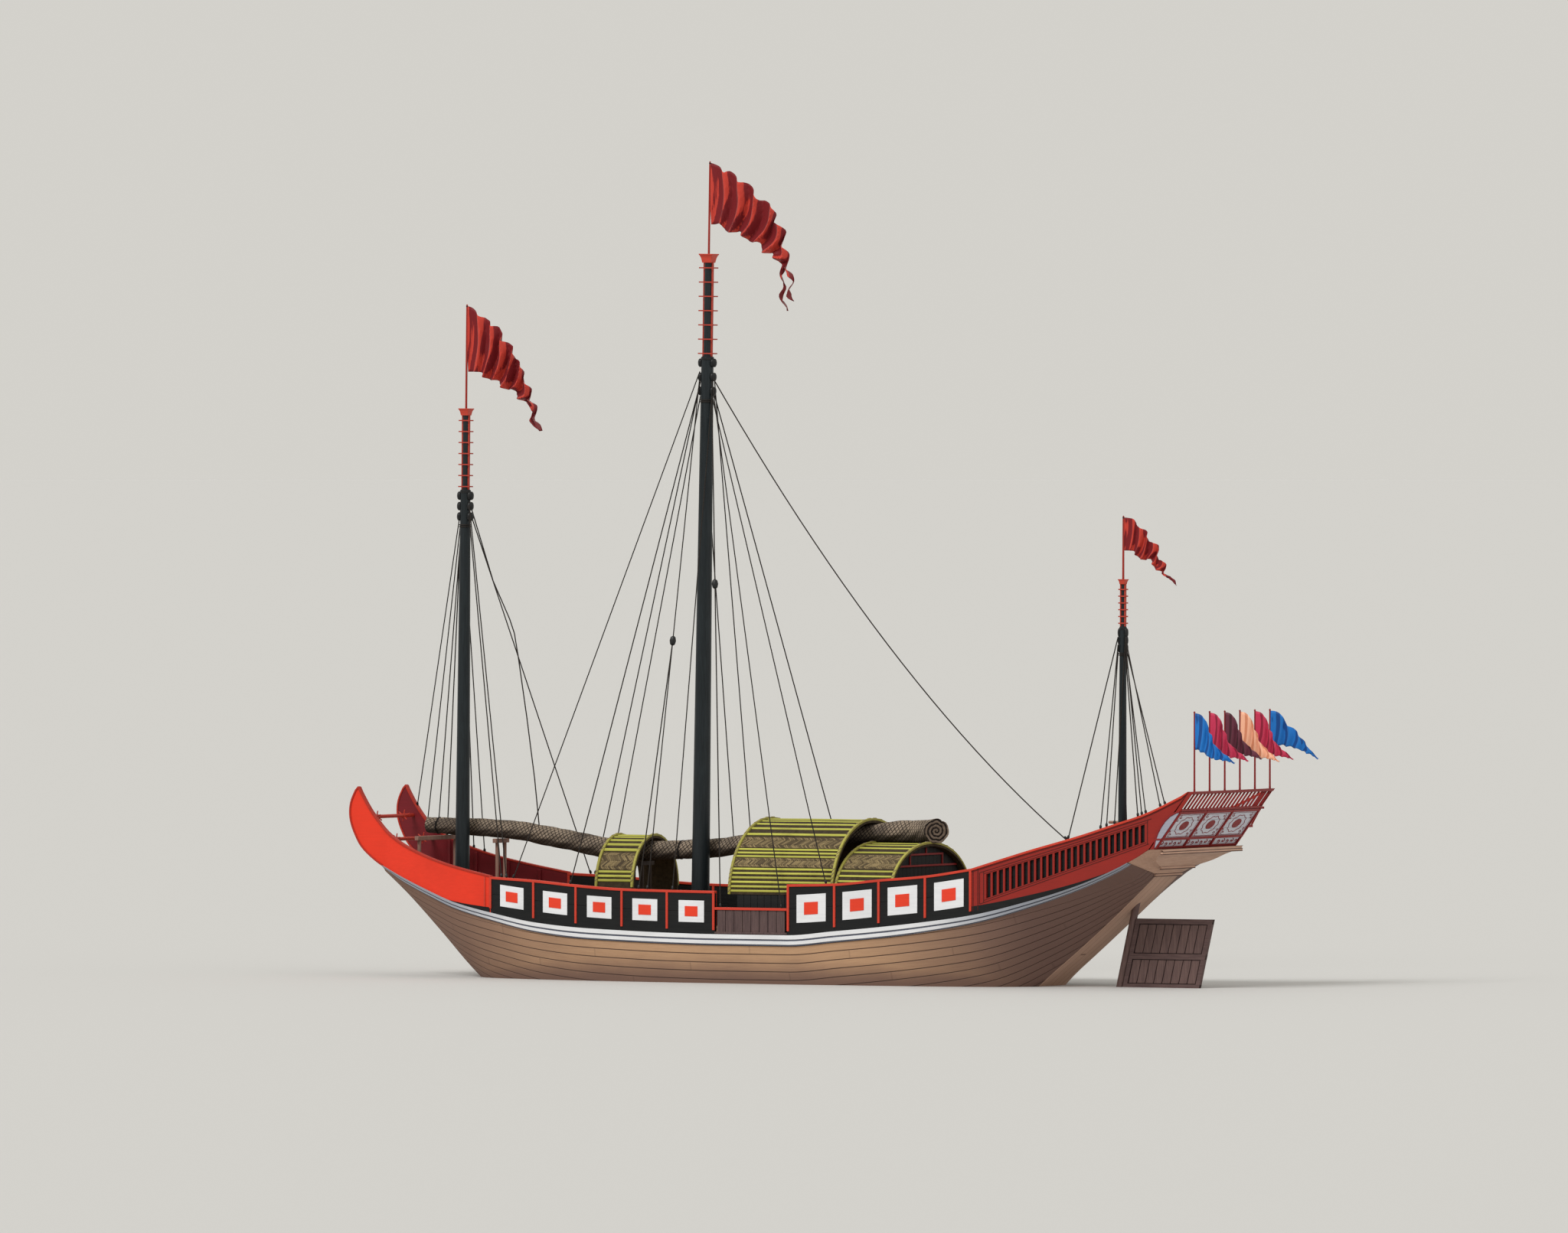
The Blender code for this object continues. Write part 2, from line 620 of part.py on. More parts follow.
def make_deckhouse():
    """Plank walls under the mat roofs, with a doorway forward, and the gable under the aft roof."""
    def loop(x):
        low = deck(x) + GAP
        return [(x, -HOUSE_HALF, low), (x, HOUSE_HALF, low), (x, HOUSE_HALF, HOUSE_TOP), (x, -HOUSE_HALF, HOUSE_TOP)]

    house = piece("deckhouse", loft_mesh("deckhouse", [loop(x) for x in stations(HOUSE_FORE, HOUSE_AFT)]), "dark_timber")
    inner = HOUSE_HALF - HOUSE_WALL
    room = [((HOUSE_FORE + HOUSE_WALL, -inner, 0.5), (HOUSE_AFT - HOUSE_WALL, inner, 3.5))]
    door = [((HOUSE_FORE - 0.5, -0.45, 0.5), (HOUSE_FORE + 0.5, 0.45, 3.5))]
    combine(house, tool("house_room", boxes_mesh("room", room)), "DIFFERENCE")
    combine(house, tool("house_door", boxes_mesh("door", door)), "DIFFERENCE")
    _, _, _, half, crown = ROOFS[1]
    foot, inset = HOUSE_TOP + GAP, ROOF_THICK + 0.002
    gable_at = HOUSE_AFT - HOUSE_WALL
    outline = []
    for i in range(ARCH_STEPS + 1):
        angle = math.pi * i / ARCH_STEPS
        outline.append((-(half - inset) * math.cos(angle), foot + (crown - inset - foot) * math.sin(angle)))
    piece(
        "aft_gable",
        loft_mesh("aft_gable", [[(x, y, z) for y, z in outline] for x in (gable_at, gable_at + 0.06)]),
        "black_paint",
    )


def roll_loop(x, y, z, radius):
    """A rolled sail's section, with a point at its lowest place."""
    angles = [math.tau * i / ROLL_SIDES for i in range(ROLL_SIDES)]
    return [(x, y + radius * math.cos(a), z + radius * math.sin(a)) for a in angles]


def make_rolls():
    for name, table in (("fore_sail_roll", FORE_ROLL), ("main_sail_roll", MAIN_ROLL)):
        piece(name, loft_mesh(name, [roll_loop(*row) for row in table]), "sail_mat")
    for name, x, ys, table in CRUTCHES:
        half = 0.06
        under = min(between(table, x + d, 2) - between(table, x + d, 3) for d in (-half, half)) - GAP
        low_y, high_y = ys
        bar = piece(
            name,
            boxes_mesh(name, [((x - half, low_y - 0.16, under - 0.12), (x + half, high_y + 0.16, under))]),
            "bare_timber",
        )
        foot = max(deck(x - 0.04), deck(x + 0.04)) + GAP
        posts = [((x - 0.04, y - 0.04, foot), (x + 0.04, y + 0.04, under - 0.05)) for y in ys]
        combine(bar, tool(name + "_posts", boxes_mesh("posts", posts)), "UNION")


def make_upper_decks():
    """The stepped quarterdeck and poop between the pierced bulwarks."""
    def block(name, start, end, top):
        loops = []
        for x in stations(start, end):
            half, low = beam(x) - WALL - 0.004, deck(x) + GAP
            loops.append([(x, -half, low), (x, half, low), (x, half, top), (x, -half, top)])
        return piece(name, loft_mesh(name, loops), "hull_timber")

    block("quarterdeck", POOP_START + 0.15, POOP_STEP - GAP, QUARTER_TOP)
    poop = block("poop_deck", POOP_STEP, 12.14, POOP_DECK_TOP)
    low, high = stock_point(POOP_DECK_TOP - 0.08), stock_point(POOP_DECK_TOP + 0.16)
    combine(poop, tool("rudder_boss", rods_mesh("boss", [(low, high, 0.20)], 16)), "UNION")
    cut_trunk(poop)
    return poop


def stock_axis():
    return Vector((math.sin(STOCK_RAKE), 0.0, math.cos(STOCK_RAKE)))


def stock_point(z):
    """The point of the stock's axis at height z."""
    x, foot = STOCK_AT
    return Vector((x + (z - foot) * math.tan(STOCK_RAKE), 0.0, z))


def cut_trunk(obj):
    """Bores the rudder trunk through obj."""
    trunk = tool(obj.name + "_trunk", rods_mesh("trunk", [(stock_point(1.0), stock_point(5.2), TRUNK_R)], 16))
    combine(obj, trunk, "DIFFERENCE")


def make_rudder():
    origin = stock_point(BLADE_TOP)
    pivot = bpy.data.objects.new("rudder_pivot", None)
    pivot.location = origin
    PARTS.objects.link(pivot)
    pieces = []
    stock = piece("rudder_stock", rods_mesh("stock", [(stock_point(BLADE_FOOT), stock_point(STOCK_HEAD), STOCK_R)], 16), "dark_timber")
    seat = stock_point(POOP_DECK_TOP + 0.16) + stock_axis() * GAP
    collar = [(seat, seat + stock_axis() * COLLAR_H, COLLAR_R)]
    combine(stock, tool("stock_collar", rods_mesh("collar", collar, 16)), "UNION")
    pieces.append(stock)
    half = BLADE_THICK / 2
    lead = STOCK_R / math.cos(STOCK_RAKE) + GAP
    loops = []
    for y in (-half, half):
        top, foot = stock_point(BLADE_TOP), stock_point(BLADE_FOOT)
        loops.append(
            [
                (foot.x + lead, y, foot.z),
                (foot.x + BLADE_LONG, y, foot.z),
                (top.x + BLADE_LONG, y, top.z),
                (top.x + lead, y, top.z),
            ]
        )
    pieces.append(piece("rudder_blade", loft_mesh("rudder_blade", loops), "dark_timber"))
    head = stock_point(STOCK_HEAD - 0.16)
    heel, tip = head + Vector((0.2, 0, 0)), head - Vector((TILLER_LONG, 0, 0))
    pieces.append(piece("tiller", rods_mesh("tiller", [(heel, tip, TILLER_R)], 8), "bare_timber"))
    mortise = tool("tiller_mortise", rods_mesh("mortise", [(heel, tip, TILLER_R + GAP)], 8))
    combine(stock, mortise, "DIFFERENCE")
    bpy.context.view_layer.update()
    for obj in pieces:
        obj.parent = pivot
        obj.matrix_parent_inverse = pivot.matrix_world.inverted()


def stern_point(z):
    share = (z - STERN_FOOT[1]) / (STERN_HEAD[1] - STERN_FOOT[1])
    return STERN_FOOT[0] + share * (STERN_HEAD[0] - STERN_FOOT[0])


def stern_slab(name, low, high, proud=0.0):
    """A board across the stern face from height low to high."""
    loops = []
    for y in (-STERN_HALF, STERN_HALF):
        loops.append(
            [
                (stern_point(low) - proud, y, low),
                (stern_point(low) + STERN_THICK + proud, y, low),
                (stern_point(high) + STERN_THICK + proud, y, high),
                (stern_point(high) - proud, y, high),
            ]
        )
    return loft_mesh(name, loops)


def make_stern():
    panel = piece("stern_panel", stern_slab("stern_panel", STERN_FOOT[1] + GAP, STERN_PANEL_TOP), "gallery_grey")
    ribs = []
    for i in range(4):
        y = -STERN_HALF + 0.05 + i * (2 * STERN_HALF - 0.10) / 3
        low, high = STERN_FOOT[1] + 0.06, STERN_PANEL_TOP - 0.06
        ribs.append(
            (
                (stern_point(low) + STERN_THICK, y, low),
                (stern_point(high) + STERN_THICK, y, high),
                0.045,
            )
        )
    combine(panel, tool("stern_ribs", rods_mesh("ribs", ribs, 8)), "UNION")
    low, high = STERN_PANEL_TOP + GAP, STERN_HEAD[1]
    rail = piece("taffrail", stern_slab("taffrail", low, low + 0.07), "red_paint")
    combine(rail, tool("taffrail_cap", stern_slab("cap", high - 0.07, high)), "UNION")
    bars = []
    for i in range(PICKETS):
        y = -STERN_HALF + 0.04 + i * (2 * STERN_HALF - 0.08) / (PICKETS - 1)
        mid = STERN_THICK / 2
        bars.append(((stern_point(low + 0.04) + mid, y, low + 0.04), (stern_point(high - 0.04) + mid, y, high - 0.04), 0.028))
    combine(rail, tool("pickets", rods_mesh("pickets", bars, 6)), "UNION")
    staffs = []
    x = STERN_HEAD[0] + STERN_THICK / 2
    step = (2 * STERN_HALF - 0.30) / (STERN_FLAGS - 1)
    colours = ["flag_blue", "flag_crimson", "flag_plum", "flag_peach", "flag_crimson", "flag_blue"]
    for i, colour in enumerate(colours):
        y = -STERN_HALF + 0.15 + i * step
        staffs.append(((x, y, high - 0.03), (x, y, FLAG_STAFF_TOP), STAFF_R))
        make_flag(f"stern_flag_{i + 1}", Vector((x, y, FLAG_STAFF_TOP - 0.04)), STAFF_R, STERN_HOIST, colour)
    combine(rail, tool("stern_staffs", rods_mesh("staffs", staffs, 8)), "UNION")


def make_quarter_balcony():
    """The small railed balcony that hangs outside the starboard quarter."""
    low, high = 4.33, 4.90
    inner, outer = beam(12.0) + GAP, beam(12.0) + 0.72
    fore, aft = 11.95, 12.85
    floor = piece("quarter_balcony", boxes_mesh("floor", [((fore, inner, low), (aft - 0.35, outer, low + 0.06))]), "red_paint")
    bars = []
    for i in range(6):
        share = i / 5
        x, y = fore + 0.04 + share * 0.47, outer - 0.04
        bars.append(((x, y, low + 0.03), (x + 0.30, y, high - 0.03), 0.022))
    for i in range(1, 4):
        y = inner + 0.03 + i * 0.16
        bars.append(((fore + 0.51, y, low + 0.03), (fore + 0.81, y, high - 0.03), 0.022))
    combine(floor, tool("balcony_bars", rods_mesh("bars", bars, 6)), "UNION")
    rim = [((fore + 0.30, outer - 0.07, high - 0.06), (aft, outer, high))]
    combine(floor, tool("balcony_rim_side", boxes_mesh("rim", rim)), "UNION")
    rim = [((aft - 0.07, inner + 0.10, high - 0.055), (aft - 0.005, outer - 0.01, high - 0.005))]
    combine(floor, tool("balcony_rim_aft", boxes_mesh("rim", rim)), "UNION")


def main():
    hull = make_hull()
    for side, word in ((-1, "port"), (1, "starboard")):
        make_bulwarks(side, word)
    poop = make_upper_decks()
    for name, x, z in WINDLASSES:
        make_windlass(name, x, z)
    for row in MASTS:
        combine(poop if row[2] else hull, make_mast(*row), "DIFFERENCE")
    for row in STAYS:
        make_stay(*row)
    make_deckhouse()
    make_roofs()
    make_rolls()
    make_stern()
    make_quarter_balcony()
    make_rudder()


main()
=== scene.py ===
"""Looks of the three-masted junk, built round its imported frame.

X runs aft, Y to starboard, Z up, and Z = 0 is the waterline. Everything is in metres.
"""

from __future__ import annotations

import json
import logging
import math
import random
from dataclasses import dataclass, field
from enum import Enum
from typing import Any, Callable, Sequence

import bmesh
import bpy
from mathutils import Matrix, Vector, noise

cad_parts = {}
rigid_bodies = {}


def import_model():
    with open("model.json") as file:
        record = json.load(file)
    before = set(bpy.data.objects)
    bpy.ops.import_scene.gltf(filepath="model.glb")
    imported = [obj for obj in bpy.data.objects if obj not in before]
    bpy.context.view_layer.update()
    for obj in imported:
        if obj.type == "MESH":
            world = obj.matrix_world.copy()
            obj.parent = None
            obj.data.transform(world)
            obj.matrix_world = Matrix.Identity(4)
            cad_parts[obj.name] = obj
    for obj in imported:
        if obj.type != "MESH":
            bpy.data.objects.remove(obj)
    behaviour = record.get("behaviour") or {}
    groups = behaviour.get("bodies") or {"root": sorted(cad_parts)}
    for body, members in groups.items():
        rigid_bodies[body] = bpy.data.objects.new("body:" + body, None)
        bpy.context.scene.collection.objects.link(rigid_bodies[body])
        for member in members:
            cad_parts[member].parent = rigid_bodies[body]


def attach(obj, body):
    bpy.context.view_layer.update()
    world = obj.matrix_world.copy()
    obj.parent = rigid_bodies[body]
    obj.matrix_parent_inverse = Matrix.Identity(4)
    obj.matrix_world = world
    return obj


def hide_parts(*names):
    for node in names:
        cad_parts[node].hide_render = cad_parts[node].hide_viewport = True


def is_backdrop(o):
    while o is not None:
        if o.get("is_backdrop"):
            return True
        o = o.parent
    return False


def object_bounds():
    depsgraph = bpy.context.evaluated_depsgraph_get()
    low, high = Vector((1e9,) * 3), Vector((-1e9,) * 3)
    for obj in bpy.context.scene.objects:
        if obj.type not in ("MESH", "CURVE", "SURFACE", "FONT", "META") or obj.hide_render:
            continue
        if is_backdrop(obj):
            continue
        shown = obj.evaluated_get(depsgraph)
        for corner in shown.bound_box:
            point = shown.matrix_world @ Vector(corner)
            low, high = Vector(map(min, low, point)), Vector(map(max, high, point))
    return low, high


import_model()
CAD_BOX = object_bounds()
LOG = logging.getLogger("junk")

Point = tuple[float, float, float]
Colour = tuple[float, float, float]
Outline = tuple[tuple[float, float], ...]
Table = Sequence[tuple[float, ...]]

SHIP = "ship"
PORT, STARBOARD = -1, 1
SIDES = (PORT, STARBOARD)
WELD, SHARP, BEVEL_FROM = 0.0002, math.radians(32.0), math.radians(40)


class Grain(Enum):
    """Which way the grain of a board or the lay of a strip runs."""

    ALONG_X = (0.6, 9.0, 9.0)
    ALONG_Y = (9.0, 0.6, 9.0)
    ALONG_Z = (9.0, 9.0, 0.6)
    EVEN = (3.0, 3.0, 3.0)


def toned(colour: Colour, factor: float) -> Colour:
    """Returns a colour, darker or lighter by a factor."""
    return tuple(factor * c for c in colour)


def around(count: int) -> list[float]:
    """Returns even angles round a full turn."""
    return [math.tau * k / count for k in range(count)]


def eased(spots: Sequence[Any], i: int, t: float) -> Any:
    """Reads a smooth curve that passes through all its points."""
    before, a, b = spots[max(i - 1, 0)], spots[i], spots[i + 1]
    after = spots[min(i + 2, len(spots) - 1)]
    slope, bend = 2 * before - 5 * a + 4 * b - after, 3 * a - before - 3 * b + after
    return 0.5 * ((2 * a) + (b - before) * t + slope * t**2 + bend * t**3)


def bilge(shape: Sequence[float], t: float) -> Vector:
    """Reads the round of the ship's side."""
    half, sheer, bottom, flat, full = shape
    corner = Vector((flat + full * (half - flat), sheer + full * (bottom - sheer)))
    head, foot = Vector((half, sheer)), Vector((flat, bottom))
    return (1 - t) ** 2 * head + 2 * t * (1 - t) * corner + t * t * foot


class Sheet:
    """A material's node tree, with short calls for what the finishes share."""

    def __init__(self, name: str) -> None:
        """Starts a material of that name with an empty Principled shader."""
        self.material = bpy.data.materials.new(name)
        self.material.use_nodes = True
        self.tree = self.material.node_tree
        self.shader = self.tree.nodes["Principled BSDF"]

    def node(self, kind: str, **settings: Any) -> Any:
        """Adds a node.

        Args:
            kind: the node's type name.
            settings: properties to set on it.

        Returns:
            The node.
        """
        made = self.tree.nodes.new(kind)
        for key, value in settings.items():
            setattr(made, key, value)
        return made

    def feed(self, target: Any, value: Any) -> None:
        """Links a socket, or sets a plain value, on a node's input."""
        if isinstance(value, bpy.types.NodeSocket):
            self.tree.links.new(value, target)
        elif isinstance(value, tuple) and len(value) == 3 and target.type == "RGBA":
            target.default_value = (*value, 1.0)
        else:
            target.default_value = value

    def place(self, scale: Point = (1, 1, 1), turn: Point = (0, 0, 0)) -> Any:
        """Gives object coordinates, scaled and turned."""
        coords = self.node("ShaderNodeTexCoord")
        mapping = self.node("ShaderNodeMapping")
        self.feed(mapping.inputs["Vector"], coords.outputs["Object"])
        mapping.inputs["Scale"].default_value = scale
        mapping.inputs["Rotation"].default_value = turn
        return mapping.outputs["Vector"]

    def uv(self, name: str) -> tuple[Any, Any]:
        """Gives the two sockets of a UV map."""
        reader = self.node("ShaderNodeUVMap", uv_map=name)
        parts = self.parts(reader.outputs["UV"])
        return parts["X"], parts["Y"]

    def parts(self, vector: Any) -> Any:
        """Splits a vector."""
        made = self.node("ShaderNodeSeparateXYZ")
        self.feed(made.inputs[0], vector)
        return made.outputs

    def noise(self, vector: Any, scale: float, detail: float = 4.0, rough: float = 0.55) -> Any:
        """Gives a noise between 0 and 1 at a vector."""
        made = self.node("ShaderNodeTexNoise")
        self.feed(made.inputs["Vector"], vector)
        made.inputs["Scale"].default_value = scale
        made.inputs["Detail"].default_value = detail
        made.inputs["Roughness"].default_value = rough
        return made.outputs["Fac"]

    def math(self, operation: str, *values: Any) -> Any:
        """Gives the result of a math node."""
        made = self.node("ShaderNodeMath", operation=operation)
        for target, value in zip(made.inputs, values):
            self.feed(target, value)
        return made.outputs[0]

    def plus(self, first: Any, second: Any) -> Any:
        """Gives the sum of two values."""
        return self.math("ADD", first, second)

    def times(self, first: Any, second: Any) -> Any:
        """Gives the product of two values."""
        return self.math("MULTIPLY", first, second)

    def band(self, value: Any, low: float, high: float, start: float = 0.0, end: float = 1.0) -> Any:
        """Maps a value from one range to another, smoothly and held at the ends."""
        made = self.node("ShaderNodeMapRange", interpolation_type="SMOOTHSTEP")
        for name, number in zip(("From Min", "From Max", "To Min", "To Max"), (low, high, start, end)):
            made.inputs[name].default_value = number
        self.feed(made.inputs["Value"], value)
        return made.outputs["Result"]

    def mix(self, share: Any, first: Any, second: Any) -> Any:
        """Gives a mix of two colours."""
        made = self.node("ShaderNodeMix", data_type="RGBA", blend_type="MIX")
        colours = [socket for socket in made.inputs if socket.type == "RGBA"]
        self.feed(made.inputs["Factor"], share)
        self.feed(colours[0], first)
        self.feed(colours[1], second)
        return next(socket for socket in made.outputs if socket.type == "RGBA")

    def vector(self, x: Any, y: Any, z: Any = 0.0) -> Any:
        """Gives a vector from its parts."""
        made = self.node("ShaderNodeCombineXYZ")
        for target, value in zip(made.inputs, (x, y, z)):
            self.feed(target, value)
        return made.outputs[0]

    def finish(
        self, colour: Any, rough: Any, height: Any = None, strength: float = 0.3, depth: float = 0.01
    ) -> bpy.types.Material:
        """Wires colour, roughness and bump into the shader.

        Args:
            colour: a colour or its socket.
            rough: roughness or its socket.
            height: socket of the bump's height, or None.
            strength: how strong the bump is.
            depth: the bump's real height in metres.

        Returns:
            The material.
        """
        self.feed(self.shader.inputs["Base Color"], colour)
        self.feed(self.shader.inputs["Roughness"], rough)
        self.shader.inputs["Specular IOR Level"].default_value = 0.22
        if height is not None:
            bump = self.node("ShaderNodeBump")
            bump.inputs["Strength"].default_value = strength
            bump.inputs["Distance"].default_value = depth
            self.feed(bump.inputs["Height"], height)
            self.feed(self.shader.inputs["Normal"], bump.outputs["Normal"])
        return self.material


@dataclass(frozen=True)
class PaintFinish:
    """Oil paint on planks: brush streaks, blotches and rubbed spots."""

    name: str
    colour: Colour
    worn: Colour
    rough: float = 0.5
    grain: Grain = Grain.ALONG_X
    wear: float = 0.25
    coat: float = 0.0
    fade: Colour | None = None

    def build(self) -> bpy.types.Material:
        """Returns the material."""
        sheet = Sheet(self.name)
        streak = sheet.noise(sheet.place(self.grain.value), 2.2, 6.0, 0.6)
        blotch = sheet.noise(sheet.place(), 0.9, 3.0)
        chips = sheet.noise(sheet.place(), 9.0, 8.0, 0.7)
        tone = sheet.mix(sheet.band(streak, 0.3, 0.75, 0.0, 0.55), self.colour, self.worn)
        tone = sheet.mix(sheet.band(blotch, 0.35, 0.75, 0.0, 0.35), tone, toned(self.colour, 0.72))
        tone = sheet.mix(sheet.band(chips, 0.66, 0.74, 0.0, self.wear), tone, self.worn)
        if self.fade is not None:
            x = sheet.parts(sheet.place())["X"]
            fore = sheet.band(sheet.times(x, -1.0), 7.0, 10.2)
            aft = sheet.band(x, 4.8, 8.2)
            tone = sheet.mix(sheet.math("MAXIMUM", fore, aft), tone, self.fade)
        rough = sheet.band(streak, 0.2, 0.8, self.rough - 0.07, self.rough + 0.12)
        sheet.shader.inputs["Coat Weight"].default_value = self.coat
        sheet.shader.inputs["Coat Roughness"].default_value = 0.35
        return sheet.finish(tone, rough, sheet.plus(streak, sheet.times(chips, 0.4)), 0.25, 0.006)


@dataclass(frozen=True)
class PlankFinish:
    """Boards laid side by side, read from the UV map "boards": metres along, boards across."""

    name: str
    light: Colour
    dark: Colour
    seam: Colour
    board_long: float = 5.5
    rough: float = 0.62
    seam_wide: float = 0.06
    butt: float = 1.0
    # shade is the colour of the painted shade laid towards both ends; it also darkens the boards low down
    shade: Colour | None = None
    shade_fore: tuple[float, float] = (-6.0, -12.0)
    shade_aft: tuple[float, float] = (3.0, 9.5)
    shade_low: tuple[float, float] = (0.50, 0.0)

    def build(self) -> bpy.types.Material:
        """Returns the material."""
        sheet = Sheet(self.name)
        along, across = sheet.uv("boards")
        row = sheet.math("FLOOR", across)
        stagger = sheet.times(sheet.math("FRACT", sheet.times(row, 0.618)), self.board_long)
        length = sheet.math("DIVIDE", sheet.plus(along, stagger), self.board_long)
        board = sheet.node("ShaderNodeTexWhiteNoise", noise_dimensions="2D")
        sheet.feed(board.inputs["Vector"], sheet.vector(row, sheet.math("FLOOR", length)))
        own = board.outputs["Value"]
        wood = sheet.vector(sheet.times(along, 0.8), sheet.times(across, 5.0), sheet.times(own, 9.0))
        grain = sheet.noise(wood, 2.4, 7.0, 0.62)
        fine = sheet.noise(wood, 11.0, 4.0, 0.6)
        blotch = sheet.noise(sheet.place(), 0.55, 3.0)
        tone = sheet.mix(sheet.band(grain, 0.28, 0.74), self.light, self.dark)
        tone = sheet.mix(sheet.band(own, 0.0, 1.0, 0.0, 0.30), tone, toned(self.dark, 0.80))
        tone = sheet.mix(sheet.band(blotch, 0.4, 0.75, 0.0, 0.22), tone, toned(self.light, 1.12))
        # painted shade towards both ends, and darker low down
        if self.shade is not None:
            tone = self.shaded(sheet, tone, blotch)
        edge = sheet.math("ABSOLUTE", sheet.math("SUBTRACT", sheet.math("FRACT", across), 0.5))
        seam = sheet.band(edge, 0.5 - self.seam_wide * 1.5, 0.5 - self.seam_wide * 0.6)
        end = sheet.math("ABSOLUTE", sheet.math("SUBTRACT", sheet.math("FRACT", length), 0.5))
        butt = sheet.band(end, 0.5 - 0.03 / self.board_long, 0.5 - 0.012 / self.board_long)
        joint = sheet.math("MAXIMUM", seam, sheet.times(butt, self.butt))
        tone = sheet.mix(sheet.times(joint, 0.9), tone, self.seam)
        height = sheet.math("SUBTRACT", sheet.plus(grain, sheet.times(fine, 0.5)), sheet.times(joint, 2.0))
        rough = sheet.band(grain, 0.2, 0.8, self.rough - 0.06, self.rough + 0.12)
        return sheet.finish(tone, rough, height, 0.35, 0.006)

    def shaded(self, sheet: Sheet, tone: Any, blotch: Any) -> Any:
        """Paints shade on the boards towards both ends, and darkens them low down towards the waterline.

        Args:
            sheet: the tree being made.
            tone: colour so far.
            blotch: a slow noise that breaks the edges up.

        Returns:
            The colour socket.
        """
        parts = sheet.parts(sheet.place())
        x = sheet.plus(parts["X"], sheet.times(blotch, 1.5))
        z = sheet.plus(parts["Z"], sheet.times(blotch, 0.3))
        low = sheet.band(sheet.times(z, -1.0), -self.shade_low[0] - 0.3, -self.shade_low[1] - 0.1, 0.0, 0.85)
        fore = sheet.band(sheet.times(x, -1.0), -self.shade_fore[0], -self.shade_fore[1], 0.0, 0.8)
        aft = sheet.band(x, self.shade_aft[0], self.shade_aft[1], 0.0, 0.95)
        share = sheet.math("MAXIMUM", low, sheet.math("MAXIMUM", fore, aft))
        return sheet.mix(share, tone, self.shade)


@dataclass(frozen=True)
class TimberFinish:
    """Bare or stained timber with its grain along one way."""

    name: str
    light: Colour
    dark: Colour
    rough: float = 0.6
    grain: Grain = Grain.ALONG_X
    coat: float = 0.0

    def build(self) -> bpy.types.Material:
        """Returns the material."""
        sheet = Sheet(self.name)
        figure = sheet.noise(sheet.place(self.grain.value), 3.0, 8.0, 0.62)
        fine = sheet.noise(sheet.place(self.grain.value), 14.0, 3.0)
        blotch = sheet.noise(sheet.place(), 1.3, 3.0)
        tone = sheet.mix(sheet.band(figure, 0.3, 0.72), self.light, self.dark)
        tone = sheet.mix(sheet.band(blotch, 0.4, 0.8, 0.0, 0.3), tone, toned(self.dark, 0.7))
        rough = sheet.band(figure, 0.2, 0.8, self.rough - 0.08, self.rough + 0.12)
        sheet.shader.inputs["Coat Weight"].default_value = self.coat
        sheet.shader.inputs["Coat Roughness"].default_value = 0.3
        return sheet.finish(tone, rough, sheet.plus(figure, sheet.times(fine, 0.4)), 0.3, 0.005)


@dataclass(frozen=True)
class WeaveFinish:
    """Rolled matting, read from the UV map "weave": metres along and round, with painted shade in dark patches and on
    its underside.
    """

    name: str
    light: Colour
    dark: Colour
    pitch: float = 0.25
    rough: float = 0.85

    def build(self) -> bpy.types.Material:
        """Returns the material."""
        sheet = Sheet(self.name)
        along, around = sheet.uv("weave")
        lean = sheet.plus(along, around)
        turn = sheet.math("SUBTRACT", along, sheet.times(around, 0.6))
        strands = []
        for value in (lean, turn):
            wave = sheet.math("SINE", sheet.times(value, math.tau / self.pitch))
            strands.append(sheet.math("ABSOLUTE", wave))
        cloth = sheet.math("MINIMUM", strands[0], sheet.plus(strands[1], 0.12))
        wear = sheet.noise(sheet.place(), 1.7, 5.0)
        fibre = sheet.noise(sheet.vector(sheet.times(along, 3.0), sheet.times(around, 40.0)), 2.0, 3.0)
        tone = sheet.mix(sheet.band(cloth, 0.22, 0.62), self.dark, self.light)
        tone = sheet.mix(sheet.band(wear, 0.35, 0.75, 0.0, 0.45), tone, toned(self.dark, 0.6))
        tone = sheet.mix(sheet.band(fibre, 0.5, 0.8, 0.0, 0.25), tone, toned(self.light, 1.3))
        # painted shade: dark diagonal patches for shadowed creases, and a darker underside read from the world normal
        shadow_patch_noise = sheet.noise(sheet.vector(sheet.times(lean, 1.5), sheet.times(turn, 0.4)), 1.0, 3.0)
        facing = sheet.parts(sheet.node("ShaderNodeNewGeometry").outputs["Normal"])
        under = sheet.band(sheet.times(facing["Z"], -1.0), -0.25, 0.60, 0.0, 0.85)
        painted_shade = sheet.math("MAXIMUM", sheet.band(shadow_patch_noise, 0.50, 0.62, 0.0, 0.60), under)
        tone = sheet.mix(painted_shade, tone, toned(self.dark, 1.4))
        return sheet.finish(tone, self.rough, sheet.plus(cloth, sheet.times(fibre, 0.3)), 0.5, 0.012)


@dataclass(frozen=True)
class StripFinish:
    """Split bamboo: every strip has a tone of its own, with darker nodes along it."""

    name: str
    light: Colour
    dark: Colour
    rough: float = 0.5

    def build(self) -> bpy.types.Material:
        """Returns the material."""
        sheet = Sheet(self.name)
        island = sheet.node("ShaderNodeNewGeometry").outputs["Random Per Island"]
        fibre = sheet.noise(sheet.place((0.5, 14.0, 14.0)), 3.0, 5.0)
        stain = sheet.noise(sheet.place(), 1.6, 4.0)
        tone = sheet.mix(sheet.band(island, 0.0, 1.0), self.light, self.dark)
        tone = sheet.mix(sheet.band(fibre, 0.35, 0.75, 0.0, 0.35), tone, toned(self.dark, 0.65))
        tone = sheet.mix(sheet.band(stain, 0.5, 0.8, 0.0, 0.3), tone, (0.16, 0.12, 0.05))
        rough = sheet.band(fibre, 0.2, 0.8, self.rough, self.rough + 0.2)
        return sheet.finish(tone, rough, fibre, 0.3, 0.004)


